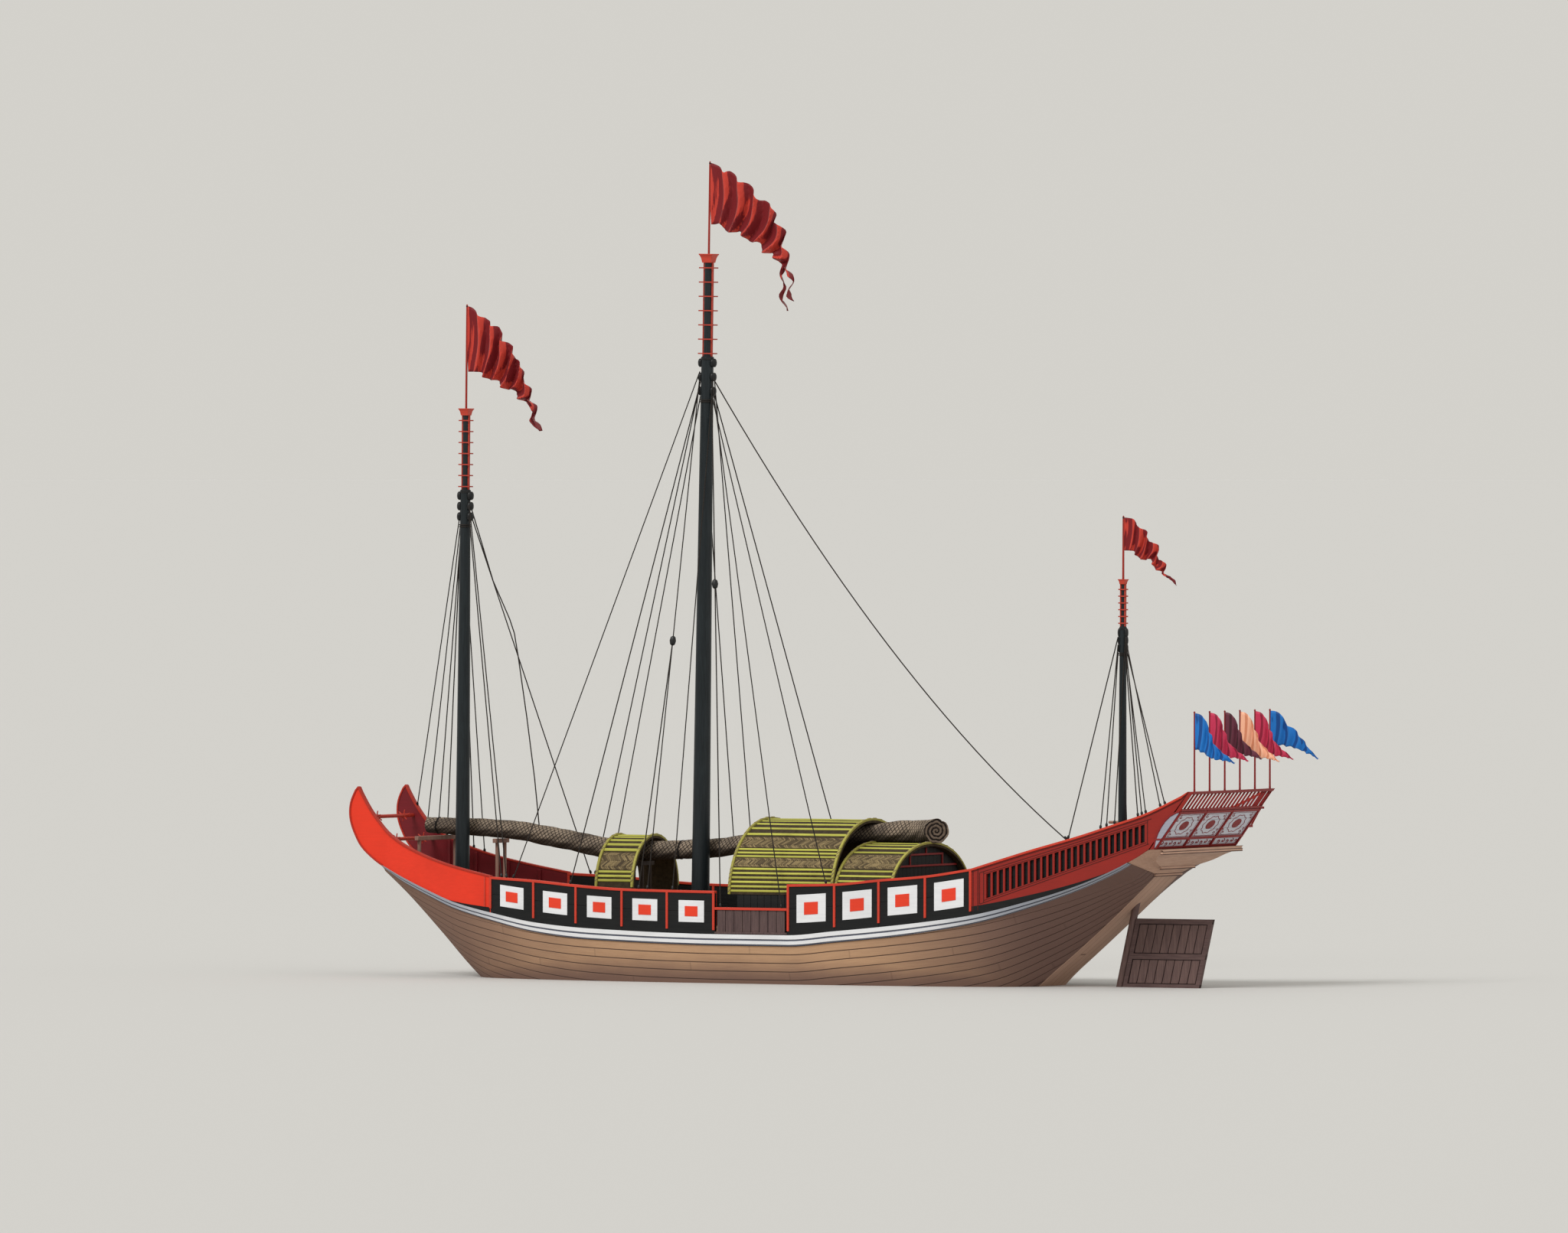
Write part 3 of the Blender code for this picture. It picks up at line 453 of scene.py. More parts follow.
@dataclass(frozen=True)
class SilkFinish:
    """Dyed silk with painted shade in its folds. The float attribute "fold" says how much painted shade each point
    takes.
    """

    name: str
    light: Colour
    dark: Colour

    def build(self) -> bpy.types.Material:
        """Returns the material."""
        sheet = Sheet(self.name)
        fold = sheet.node("ShaderNodeAttribute", attribute_name="fold").outputs["Fac"]
        streak = sheet.noise(sheet.place((9.0, 9.0, 1.2)), 3.0, 4.0)
        thread = sheet.noise(sheet.place((40.0, 40.0, 160.0)), 2.0, 2.0)
        depth = sheet.plus(fold, sheet.times(sheet.math("SUBTRACT", streak, 0.5), 0.35))
        # painted shade in the folds
        tone = sheet.mix(sheet.band(depth, 0.47, 0.60), self.light, self.dark)
        sheet.shader.inputs["Sheen Weight"].default_value = 0.20
        sheet.shader.inputs["Sheen Roughness"].default_value = 0.4
        return sheet.finish(tone, 0.55, thread, 0.2, 0.002)


@dataclass(frozen=True)
class RopeFinish:
    """Tarred hemp."""

    name: str
    light: Colour
    dark: Colour

    def build(self) -> bpy.types.Material:
        """Returns the material."""
        sheet = Sheet(self.name)
        fibre = sheet.noise(sheet.place((22.0, 22.0, 22.0)), 1.5, 5.0, 0.7)
        stain = sheet.noise(sheet.place(), 1.1, 3.0)
        tone = sheet.mix(sheet.band(fibre, 0.3, 0.7), self.dark, self.light)
        tone = sheet.mix(sheet.band(stain, 0.5, 0.8, 0.0, 0.5), tone, toned(self.dark, 0.5))
        return sheet.finish(tone, 0.85, fibre, 0.5, 0.006)


class Locker:
    """Keeps one material of each finish."""

    def __init__(self) -> None:
        """Starts empty."""
        self.made: dict[str, bpy.types.Material] = {}

    def get(self, finish: Any) -> bpy.types.Material:
        """Returns the finish's material, built once."""
        if finish.name not in self.made:
            self.made[finish.name] = finish.build()
        return self.made[finish.name]


LOCKER = Locker()


class MeshMaker:
    """Gathers points and faces, each face with its finish and, where wanted, its own UV corners."""

    def __init__(self, uv_name: str = "boards") -> None:
        """Starts empty, with the name that the UV map will have."""
        self.points: list[Vector] = []
        self.faces: list[tuple[int, ...]] = []
        self.kinds: list[int] = []
        self.corners: list[Sequence[tuple[float, float]] | None] = []
        self.finishes: list[Any] = []
        self.uv_name = uv_name

    def kind(self, finish: Any) -> int:
        """Returns the number of a finish in this mesh."""
        if finish not in self.finishes:
            self.finishes.append(finish)
        return self.finishes.index(finish)

    def add(self, points: Sequence[Any]) -> list[int]:
        """Adds points and returns their numbers."""
        first = len(self.points)
        self.points += [Vector(point) for point in points]
        return list(range(first, len(self.points)))

    def face(
        self, ids: Sequence[int], finish: Any, corners: Sequence[tuple[float, float]] | None = None,
    ) -> None:
        """Adds one face."""
        self.faces.append(tuple(ids))
        self.kinds.append(self.kind(finish))
        self.corners.append(corners)

    def hexa(self, low: Sequence[Any], high: Sequence[Any], finish: Any) -> None:
        """Adds a closed solid between two loops of as many points."""
        a, b = self.add(low), self.add(high)
        self.face(list(reversed(a)), finish)
        self.face(b, finish)
        for i in range(len(a)):
            j = (i + 1) % len(a)
            self.face((a[i], a[j], b[j], b[i]), finish)

    def box(self, low: Point, high: Point, finish: Any) -> None:
        """Adds a box between two corners, in either order."""
        (x0, x1), (y0, y1), (z0, z1) = (sorted(pair) for pair in zip(low, high))
        base = [(x0, y0, z0), (x1, y0, z0), (x1, y1, z0), (x0, y1, z0)]
        self.hexa(base, [(x, y, z1) for x, y, _ in base], finish)

    def beam(self, start: Any, end: Any, wide: float, deep: float, finish: Any, up: Any = (0, 0, 1)) -> None:
        """Adds a square bar from start to end.

        Args:
            start: one end.
            end: the other end.
            wide: size across, level.
            deep: size towards up.
            finish: what it is dressed in.
            up: which way its depth points.
        """
        start, end = Vector(start), Vector(end)
        run = (end - start).normalized()
        side = run.cross(Vector(up)).normalized()
        top = side.cross(run)
        loop = [side * a * wide / 2 + top * b * deep / 2 for a, b in ((-1, -1), (1, -1), (1, 1), (-1, 1))]
        self.hexa([start + p for p in loop], [end + p for p in loop], finish)

    def loft(self, loops: Sequence[Sequence[Any]], finish: Any, caps: bool = True) -> None:
        """Adds a closed skin through rings of as many points, with flat caps."""
        rings = [self.add(loop) for loop in loops]
        for ring, after in zip(rings, rings[1:]):
            for i in range(len(ring)):
                j = (i + 1) % len(ring)
                self.face((ring[i], ring[j], after[j], after[i]), finish)
        if caps:
            self.face(list(reversed(rings[0])), finish)
            self.face(rings[-1], finish)

    def grid(
        self,
        rows: Sequence[Sequence[Any]],
        finish: Callable[[int, int], Any],
        corner: Callable[[int, int], tuple[float, float]] | None = None,
        wrap: bool = False,
    ) -> None:
        """Adds an open skin through rows of points.

        Args:
            rows: rows of as many points.
            finish: gives the finish of the face at (row, column).
            corner: gives the UV of the point at (row, column).
            wrap: True joins the last column to the first.
        """
        ids = [self.add(row) for row in rows]
        count = len(rows[0])
        for r in range(len(rows) - 1):
            for c in range(count if wrap else count - 1):
                d = (c + 1) % count
                quad = (ids[r][c], ids[r][d], ids[r + 1][d], ids[r + 1][c])
                places = ((r, c), (r, c + 1), (r + 1, c + 1), (r + 1, c))
                self.face(quad, finish(r, c), [corner(*p) for p in places] if corner else None)

    def tube(self, path: Sequence[Any], radii: Sequence[float] | float, sides: int, finish: Any) -> None:
        """Adds a closed round tube along a path.

        Args:
            path: the points it follows.
            radii: one radius, or one for each point.
            sides: how many sides.
            finish: what it is dressed in.
        """
        path = [Vector(p) for p in path]
        sizes = [radii] * len(path) if isinstance(radii, (int, float)) else list(radii)
        normal = (path[1] - path[0]).orthogonal().normalized()
        loops = []
        for i, point in enumerate(path):
            run = (path[min(i + 1, len(path) - 1)] - path[max(i - 1, 0)]).normalized()
            normal = (normal - run * normal.dot(run)).normalized()
            other = run.cross(normal)
            loops.append(
                [point + (normal * math.cos(t) + other * math.sin(t)) * sizes[i] for t in around(sides)]
            )
        self.loft(loops, finish)

    def build(
        self, name: str, bevel: float = 0.0, merge: bool = False, segments: int = 2,
    ) -> bpy.types.Object:
        """Makes the object.

        Args:
            name: the piece's name.
            bevel: width of the rounded edges, or 0.
            merge: True welds points that meet.
            segments: steps across each rounded edge.

        Returns:
            The new object, at the origin.
        """
        mesh = bpy.data.meshes.new(name)
        mesh.from_pydata(self.points, [], self.faces)
        mesh.polygons.foreach_set("material_index", self.kinds)
        if any(self.corners):
            layer = mesh.uv_layers.new(name=self.uv_name)
            for face, corners in zip(mesh.polygons, self.corners):
                for loop, corner in zip(face.loop_indices, corners or [(0.5, 0.5)] * face.loop_total):
                    layer.data[loop].uv = corner
        for finish in self.finishes:
            mesh.materials.append(LOCKER.get(finish))
        tidy(mesh, merge)
        obj = bpy.data.objects.new(name, mesh)
        bpy.context.scene.collection.objects.link(obj)
        if bevel:
            step = obj.modifiers.new("edges", "BEVEL")
            step.width, step.segments = bevel, segments
            step.limit_method, step.angle_limit = "ANGLE", BEVEL_FROM
            step.use_clamp_overlap = True
        return obj


def tidy(mesh: bpy.types.Mesh, merge: bool) -> None:
    """Welds, turns faces outwards and smooths a mesh up to an angle.

    Args:
        mesh: the mesh to tidy.
        merge: True welds points that meet and drops faces without area.
    """
    work = bmesh.new()
    work.from_mesh(mesh)
    if merge:
        bmesh.ops.remove_doubles(work, verts=work.verts, dist=WELD)
        bmesh.ops.dissolve_degenerate(work, edges=work.edges, dist=WELD)
    bmesh.ops.recalc_face_normals(work, faces=work.faces)
    work.to_mesh(mesh)
    work.free()
    mesh.shade_smooth()
    mesh.set_sharp_from_angle(angle=SHARP)


def dress(obj: bpy.types.Object, slot: str, *nodes: str, body: str = SHIP) -> None:
    """Gives a finished piece its body and hides the nodes that it stands for.

    Args:
        obj: the piece, at the origin.
        slot: the record's material slot; not used.
        nodes: the nodes that it replaces.
        body: the body that it rides on.
    """
    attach(obj, body)
    if nodes:
        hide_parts(*nodes)
    LOG.info("%s: %d faces on %s", obj.name, len(obj.data.polygons), body)


def assemble(name: str, meshes: Sequence[bpy.types.Mesh]) -> bpy.types.Object:
    """Joins plain meshes into one piece.

    Args:
        name: the piece's name.
        meshes: the meshes, which are used up.

    Returns:
        The new object, at the origin.
    """
    whole = bmesh.new()
    finishes: list[bpy.types.Material] = []
    for mesh in meshes:
        numbers = []
        for finish in mesh.materials:
            if finish not in finishes:
                finishes.append(finish)
            numbers.append(finishes.index(finish))
        old = len(whole.faces)
        whole.from_mesh(mesh)
        whole.faces.ensure_lookup_table()
        for face in whole.faces[old:]:
            face.material_index = numbers[face.material_index] if numbers else 0
        bpy.data.meshes.remove(mesh)
    joined = bpy.data.meshes.new(name)
    whole.to_mesh(joined)
    whole.free()
    for finish in finishes:
        joined.materials.append(finish)
    tidy(joined, merge=False)
    obj = bpy.data.objects.new(name, joined)
    bpy.context.scene.collection.objects.link(obj)
    return obj


def taken(obj: bpy.types.Object) -> bpy.types.Mesh:
    """Returns a helper object's mesh with its modifiers applied, and removes the object."""
    graph = bpy.context.evaluated_depsgraph_get()
    graph.update()
    mesh = bpy.data.meshes.new_from_object(obj.evaluated_get(graph))
    bpy.data.objects.remove(obj)
    return mesh


class Lines:
    """Smooth readings of a table that keep between its own values."""

    def __init__(self, table: Table) -> None:
        """Keeps the table and works out the slope at each of its rows."""
        self.table = [tuple(row) for row in table]
        self.slopes: dict[int, list[float]] = {}

    def slope(self, column: int) -> list[float]:
        """Returns the slopes of a column, held so that no reading overshoots."""
        if column not in self.slopes:
            rows = self.table
            steps = [(b[column] - a[column]) / (b[0] - a[0]) for a, b in zip(rows, rows[1:])]
            found = [steps[0]]
            for before, after in zip(steps, steps[1:]):
                found.append(0.0 if before * after <= 0 else 2 * before * after / (before + after))
            self.slopes[column] = found + [steps[-1]]
        return self.slopes[column]

    def read(self, x: float, column: int = 1) -> float:
        """Returns a column's value at x."""
        rows, slopes = self.table, self.slope(column)
        if x <= rows[0][0]:
            return rows[0][column]
        if x >= rows[-1][0]:
            return rows[-1][column]
        i = max(k for k in range(len(rows) - 1) if rows[k][0] <= x)
        gap = rows[i + 1][0] - rows[i][0]
        t = (x - rows[i][0]) / gap
        low, high = rows[i][column], rows[i + 1][column]
        bend = (2 * t**3 - 3 * t**2 + 1) * low + (3 * t**2 - 2 * t**3) * high
        return bend + gap * ((t**3 - 2 * t**2 + t) * slopes[i] + (t**3 - t**2) * slopes[i + 1])


def spaced(start: float, end: float, step: float) -> list[float]:
    """Returns even places from start to end, no further apart than step."""
    count = max(1, math.ceil(abs(end - start) / step - 1e-6))
    return [start + (end - start) * i / count for i in range(count + 1)]


HULL_ROWS = (
    (-12.30, 1.40, 3.08, 2.92, 1.25, 0.50),
    (-11.60, 1.60, 2.79, 2.30, 1.20, 0.55),
    (-10.60, 1.85, 2.42, 1.27, 1.10, 0.60),
    (-9.60, 2.10, 2.10, 0.20, 1.00, 0.65),
    (-8.40, 2.30, 1.85, -0.78, 0.95, 0.70),
    (-6.90, 2.50, 1.60, -1.08, 1.10, 0.75),
    (-5.50, 2.62, 1.48, -1.17, 1.30, 0.78),
    (-4.00, 2.72, 1.42, -1.20, 1.45, 0.80),
    (-2.55, 2.78, 1.38, -1.20, 1.50, 0.82),
    (-1.05, 2.80, 1.36, -1.20, 1.50, 0.82),
    (1.20, 2.80, 1.36, -1.20, 1.50, 0.82),
    (2.65, 2.76, 1.49, -1.20, 1.45, 0.80),
    (4.00, 2.72, 1.62, -1.15, 1.35, 0.78),
    (5.40, 2.66, 1.78, -1.05, 1.20, 0.74),
    (6.80, 2.60, 1.98, -0.80, 1.00, 0.68),
    (8.50, 2.52, 2.38, 0.50, 0.75, 0.60),
    (10.00, 2.48, 2.83, 1.75, 0.70, 0.56),
    (11.20, 2.45, 3.32, 2.82, 0.70, 0.52),
    (11.50, 2.45, 3.47, 3.10, 0.70, 0.50),
)
COUNTER_ROWS = (
    (11.50, 2.45, 3.47, 3.10, 0.70, 0.50),
    (11.72, 2.45, 3.58, 3.28, 0.74, 0.50),
    (11.80, 2.45, 3.62, 3.32, 1.00, 0.50),
    (12.00, 2.45, 3.74, 3.46, 1.70, 0.50),
    (12.20, 2.45, 3.84, 3.62, 2.10, 0.50),
    (12.55, 2.45, 3.84, 3.76, 2.35, 0.50),
)
SHEER_ROWS = HULL_ROWS + COUNTER_ROWS[1:]
WALL, RAIL, WALE_DEEP = 0.10, 0.07, 0.30
STEM_X, STERN_X, POOP_END = -12.30, 11.50, 13.38
FACE_FOOT, FACE_HEAD = (12.20, 3.84), (13.40, 5.42)
STERN_HALF, STERN_THICK = 2.45, 0.10
STAFF_X, STAFF_YS = 13.45, tuple(-2.30 + 0.92 * k for k in range(6))
BOW_TURN, GATE_FORE, GATE_AFT, GATE_TOP, POOP_START = -8.40, -1.05, 1.20, 2.10, 6.80


class Column(Enum):
    """Columns of the hull's table."""

    BEAM = 1
    DECK = 2
    BOTTOM = 3
    FLAT = 4
    FULL = 5


class ShipLines:
    """The hull's shape, read smoothly anywhere along it."""

    STEPS, HALVINGS = 48, 24

    def __init__(self) -> None:
        """Keeps the tables of sections and rails."""
        self.hull = Lines(SHEER_ROWS)
        fore = [(-8.40, 2.84), (-6.90, 2.77), (-5.50, 2.66), (-4.00, 2.58), (-2.55, 2.56), (-1.05, 2.55)]
        aft = [(1.20, 2.76), (2.65, 2.80), (4.00, 2.93), (5.40, 3.05), (6.80, 3.26)]
        poop = [
            (6.80, 3.26), (8.50, 3.77), (10.00, 4.18), (11.20, 4.55), (11.50, 4.64), (12.00, 4.80),
            (POOP_END, 5.42),
        ]
        self.rails = {"fore": Lines(fore), "aft": Lines(aft), "poop": Lines(poop)}
        self.strake = Lines(
            [(-12.3, 0.190), (-8.0, 0.225), (-3.0, 0.245), (3.0, 0.245), (7.0, 0.245), (11.5, 0.215)]
        )

    def at(self, x: float, column: Column) -> float:
        """Returns one column of the hull's table at x."""
        return self.hull.read(x, column.value)

    def deck(self, x: float) -> float:
        """Returns the deck's height at x."""
        return self.at(x, Column.DECK)

    def beam(self, x: float) -> float:
        """Returns the half width at the deck at x."""
        return self.at(x, Column.BEAM)

    def rail(self, x: float) -> float:
        """Returns the height of the rail's top at x."""
        if GATE_FORE < x < GATE_AFT:
            return GATE_TOP
        return self.rails["fore" if x <= GATE_FORE else "aft" if x < POOP_START else "poop"].read(x)

    def side(self, x: float) -> list[Vector]:
        """Reads the side's section below the wale."""
        shape = [self.at(x, column) for column in Column]
        _, sheer, bottom, _, _ = shape
        deep = min(WALE_DEEP, 0.6 * (sheer - bottom))
        low, high = 0.0, 1.0
        for _ in range(self.HALVINGS):
            middle = (low + high) / 2
            low, high = (middle, high) if bilge(shape, middle).y > sheer - deep else (low, middle)
        return [bilge(shape, low + (1 - low) * i / self.STEPS) for i in range(self.STEPS + 1)]


LINES = ShipLines()


def stern_x(z: float) -> float:
    """Returns the fore side of the raked stern face at a height."""
    share = (z - FACE_FOOT[1]) / (FACE_HEAD[1] - FACE_FOOT[1])
    return FACE_FOOT[0] + share * (FACE_HEAD[0] - FACE_FOOT[0])


def girths(run: Sequence[Vector]) -> list[float]:
    """Returns the distance along a line of points at each of them."""
    found = [0.0]
    for a, b in zip(run, run[1:]):
        found.append(found[-1] + (b - a).length)
    return found


def along(run: Sequence[Vector], sums: Sequence[float], want: float) -> tuple[Vector, Vector]:
    """Returns the point at a distance along a line of points, and the way it runs there."""
    want = min(max(want, 0.0), sums[-1])
    i = next((k for k in range(len(run) - 1) if sums[k + 1] >= want), len(run) - 2)
    gap = sums[i + 1] - sums[i]
    share = (want - sums[i]) / gap if gap > 1e-9 else 0.0
    return run[i].lerp(run[i + 1], share), (run[i + 1] - run[i]).normalized()


# the hull's boards take painted shade towards both ends and are darker low down
HULL_WOOD = PlankFinish(
    "hull_boards", (
        0.520, 0.320, 0.185,
    ), (0.420, 0.250, 0.145), (0.060, 0.032, 0.024), board_long=8.0, butt=0.22,
    shade=(0.140, 0.080, 0.068), seam_wide=0.05, shade_fore=(-3.0, -9.5), shade_low=(0.75, 0.1),
)
DECK_WOOD = PlankFinish(
    "deck_boards", (0.42, 0.30, 0.19), (0.30, 0.20, 0.125), (0.05, 0.035, 0.025), board_long=4.0,
)
STEM_WOOD = PlankFinish(
    "stern_band", (
        0.50, 0.32, 0.235,
    ), (0.43, 0.265, 0.19), (0.16, 0.09, 0.065), seam_wide=0.02, board_long=40.0
)
WALE_WHITE = PaintFinish("wale_white", (0.78, 0.785, 0.80), (0.62, 0.63, 0.65), 0.5, fade=(0.33, 0.35, 0.40))
WALE_GREY = PaintFinish(
    "wale_grey", (0.075, 0.082, 0.115), (0.13, 0.14, 0.17), 0.5, fade=(0.060, 0.065, 0.085),
)
BLACK = PaintFinish("black_board", (0.0045, 0.005, 0.0055), (0.012, 0.012, 0.012), 0.5, wear=0.12)
RED = PaintFinish("red_board", (0.730, 0.036, 0.012), (0.64, 0.034, 0.012), 0.5, wear=0.12, coat=0.05)
POOP_RED = PaintFinish("poop_red", (0.270, 0.016, 0.010), (0.22, 0.014, 0.010), 0.5, wear=0.12, coat=0.05)
CRIMSON = PaintFinish("crimson_board", (0.160, 0.007, 0.012), (0.12, 0.006, 0.010), 0.5, wear=0.12, coat=0.05)
RAIL_RED = PaintFinish("rail_red", (0.560, 0.045, 0.022), (0.42, 0.035, 0.020), 0.45, coat=0.05)
PALE = PaintFinish("pale_square", (0.74, 0.745, 0.76), (0.62, 0.63, 0.65), 0.6, wear=0.12)
CENTRE_RED = PaintFinish("centre_red", (0.740, 0.048, 0.018), (0.62, 0.042, 0.018), 0.5, wear=0.10)


def lay_boards(make: MeshMaker, sections: Sequence[Point], boards: int, first: int) -> list[list[Point]]:
    """Lays deck boards along, with sunk seams between them."""
    rows, marks = [], []
    for x, half, level in sections:
        row, mark = [], []
        for k in range(boards):
            for share, sunk in ((0.0, 0.008), (0.07, 0.0), (0.93, 0.0)):
                row.append((x, half * (2 * (k + share) / boards - 1), level - sunk))
                mark.append((x, k + share + first))
        rows.append(row + [(x, half, level)])
        marks.append(mark + [(x, boards + first)])
    make.grid(rows, lambda r, c: DECK_WOOD, lambda r, c: marks[r][c])
    return rows


@dataclass
class HullPlanking:
    """Strakes, wale, flat bottom, planked deck and counter."""

    step: float = 0.22
    strakes: int = 14
    groove: float = 0.016
    groove_deep: float = 0.013
    deck_boards: int = 22
    deck_end: float = 7.1
    counter_start: float = 11.46
    counter_end: float = 12.55

    def places(self, end: float = STERN_X) -> list[float]:
        """Returns the sections from the stem to an end."""
        return spaced(STEM_X, end, self.step)

    def strake_row(self, x: float, side: int) -> tuple[list[Point], list[tuple[float, float]]]:
        """Returns one section of the planked side, and its UV places."""
        run = LINES.side(x)
        sums = girths(run)
        wide = LINES.strake.read(x)
        row, marks = [], []
        for k in range(self.strakes):
            for shift, sunk in ((0.0, 1.0), (self.groove, 0.0), (wide / 2, 0.0), (wide - self.groove, 0.0)):
                want = k * wide + shift
                point, way = along(run, sums, want)
                inward = Vector((-way.y, way.x)) if way.y > 0 else Vector((way.y, -way.x))
                gone = min(1.0, max(0.0, (sums[-1] - want) / 0.05))
                point = point + inward * (sunk * gone * self.groove_deep)
                row.append((x, side * point.x, point.y))
                marks.append((x, min(want, sums[-1]) / wide))
        foot = run[-1]
        row.append((x, side * foot.x, foot.y))
        marks.append((x, sums[-1] / wide))
        return row, marks

    def sides(self, make: MeshMaker) -> None:
        """Planks both sides."""
        for side in SIDES:
            rows = [self.strake_row(x, side) for x in self.places()]
            make.grid([row for row, _ in rows], lambda r, c: HULL_WOOD, lambda r, c: rows[r][1][c])

    def bottom(self, make: MeshMaker) -> None:
        """Closes the flat of the bottom, pale where it rises astern."""
        places = self.places()
        count = 6
        rows, marks = [], []
        for x in places:
            half, low = LINES.at(x, Column.FLAT), LINES.at(x, Column.BOTTOM)
            rows.append([(x, half * (2 * i / count - 1), low) for i in range(count + 1)])
            marks.append([(x, i * half * 2 / count / 0.3 + 30.5) for i in range(count + 1)])
        finish = lambda r, c: STEM_WOOD if places[r] > 6.6 else HULL_WOOD
        make.grid(rows, finish, lambda r, c: marks[r][c])

    def wale(self, make: MeshMaker) -> None:
        """Runs the wale's mouldings along both sides, narrower and duller towards the ends."""
        bands = (
            (0.00, 0.0), (0.00, 0.058), (0.38, 0.060), (0.40, 0.044), (0.55, 0.044), (0.57, 0.060),
            (0.86, 0.058), (0.88, 0.042), (1.00, 0.038), (1.00, 0.0),
        )
        dark = {3, 7}
        deep = Lines((
            (-12.3, 0.42), (-9.5, 0.62), (-6.5, 0.93), (-5.0, 1.0), (4.0, 1.0), (7.0, 0.76), (9.5, 0.44),
            (11.5, 0.20),
        ))
        for side in SIDES:
            rows = []
            places = self.places()
            for x in places:
                half, sheer = LINES.beam(x), LINES.deck(x)
                foot = LINES.side(x)[0]
                row = []
                for down, out in [(deep.read(x) * down, out) for down, out in bands] + [(1.0, 0.004)]:
                    y = half + (foot.x - half) * down + out
                    row.append((x, side * y, sheer + (foot.y - sheer) * down))
                rows.append(row)

            def finish(r: int, c: int) -> Any:
                """Picks the band's paint."""
                if c == len(bands) - 1:
                    return HULL_WOOD
                return WALE_GREY if c in dark else WALE_WHITE

            make.grid(rows, finish, lambda r, c: (places[r], 0.5))
            for end in (rows[0], rows[-1]):
                make.face(make.add(end), WALE_GREY)

    def deck(self, make: MeshMaker) -> None:
        """Planks the deck from the bow to under the quarterdeck."""
        sections = [(x, LINES.beam(x), LINES.deck(x)) for x in self.places(self.deck_end)]
        lay_boards(make, sections, self.deck_boards, 60)

    def bow_end(self, make: MeshMaker) -> None:
        """Closes the stem with a plain board across."""
        x = STEM_X
        run = LINES.side(x)
        half, sheer = LINES.beam(x), LINES.deck(x)
        loop = [(x, half + 0.05, sheer)] + [(x, p.x, p.y) for p in run]
        make.face(
            make.add(loop + [(x, -y, z) for _, y, z in reversed(loop)]), HULL_WOOD,
            [(0.3, 0.5)] * len(loop) * 2,
        )

    def build(self) -> None:
        """Makes the hull and its counter."""
        hull = MeshMaker()
        self.sides(hull)
        self.bottom(hull)
        self.bow_end(hull)
        self.wale(hull)
        self.deck(hull)
        dress(hull.build("hull_planking", merge=True), "hull_timber", "hull")
        self.counter()

    def counter(self) -> None:
        """Makes the counter under the stern face, with its mouldings."""
        make = MeshMaker()
        sections = Lines(COUNTER_ROWS)
        rows, count = [], 10
        for x in spaced(self.counter_start, self.counter_end, 0.07):
            shape = [sections.read(x, column.value) for column in Column]
            loop = [Vector((shape[0] + 0.04, shape[1]))]
            loop += [bilge(shape, i / count) for i in range(count + 1)]
            rows.append([(x, p.x, p.y) for p in loop] + [(x, -p.x, p.y) for p in reversed(loop)])
        make.loft(rows, COUNTER_WOOD)
        for x, tall in ((11.50, 0.035), (11.78, 0.045), (12.52, 0.04)):
            flat, low = sections.read(x, Column.FLAT.value), sections.read(x, Column.BOTTOM.value)
            half = min(flat + 0.10, STERN_HALF)
            make.box((x - 0.03, -half, low - tall), (x + 0.035, half, low + 0.03), COUNTER_WOOD)
            for z0, z1 in ((low - tall - 0.014, low - tall + 0.012), (low + 0.012, low + 0.034)):
                make.box((x - 0.034, -half - 0.003, z0), (x + 0.039, half + 0.003, z1), COUNTER_LINE)
        dress(make.build("counter_boards", bevel=0.008), "counter_timber", "counter")


COUNTER_LINE = TimberFinish("counter_line", (0.120, 0.065, 0.050), (0.080, 0.045, 0.035), 0.6, Grain.ALONG_Y)
COUNTER_WOOD = TimberFinish("counter_wood", (0.53, 0.33, 0.235), (0.44, 0.265, 0.19), 0.55, Grain.ALONG_Y)


@dataclass
class SideWork:
    """Work that stands along one side of the ship."""

    side: int

    @property
    def word(self) -> str:
        """Returns the side's name."""
        return "port" if self.side == PORT else "starboard"

    def section(self, x: float, inner: float, outer: float, low: float, high: float) -> list[Point]:
        """Returns an upright section at x, between two offsets from the wall's outer face and two heights."""
        a, b = (self.side * (LINES.beam(x) + offset) for offset in (inner, outer))
        return [(x, a, low), (x, b, low), (x, b, high), (x, a, high)]


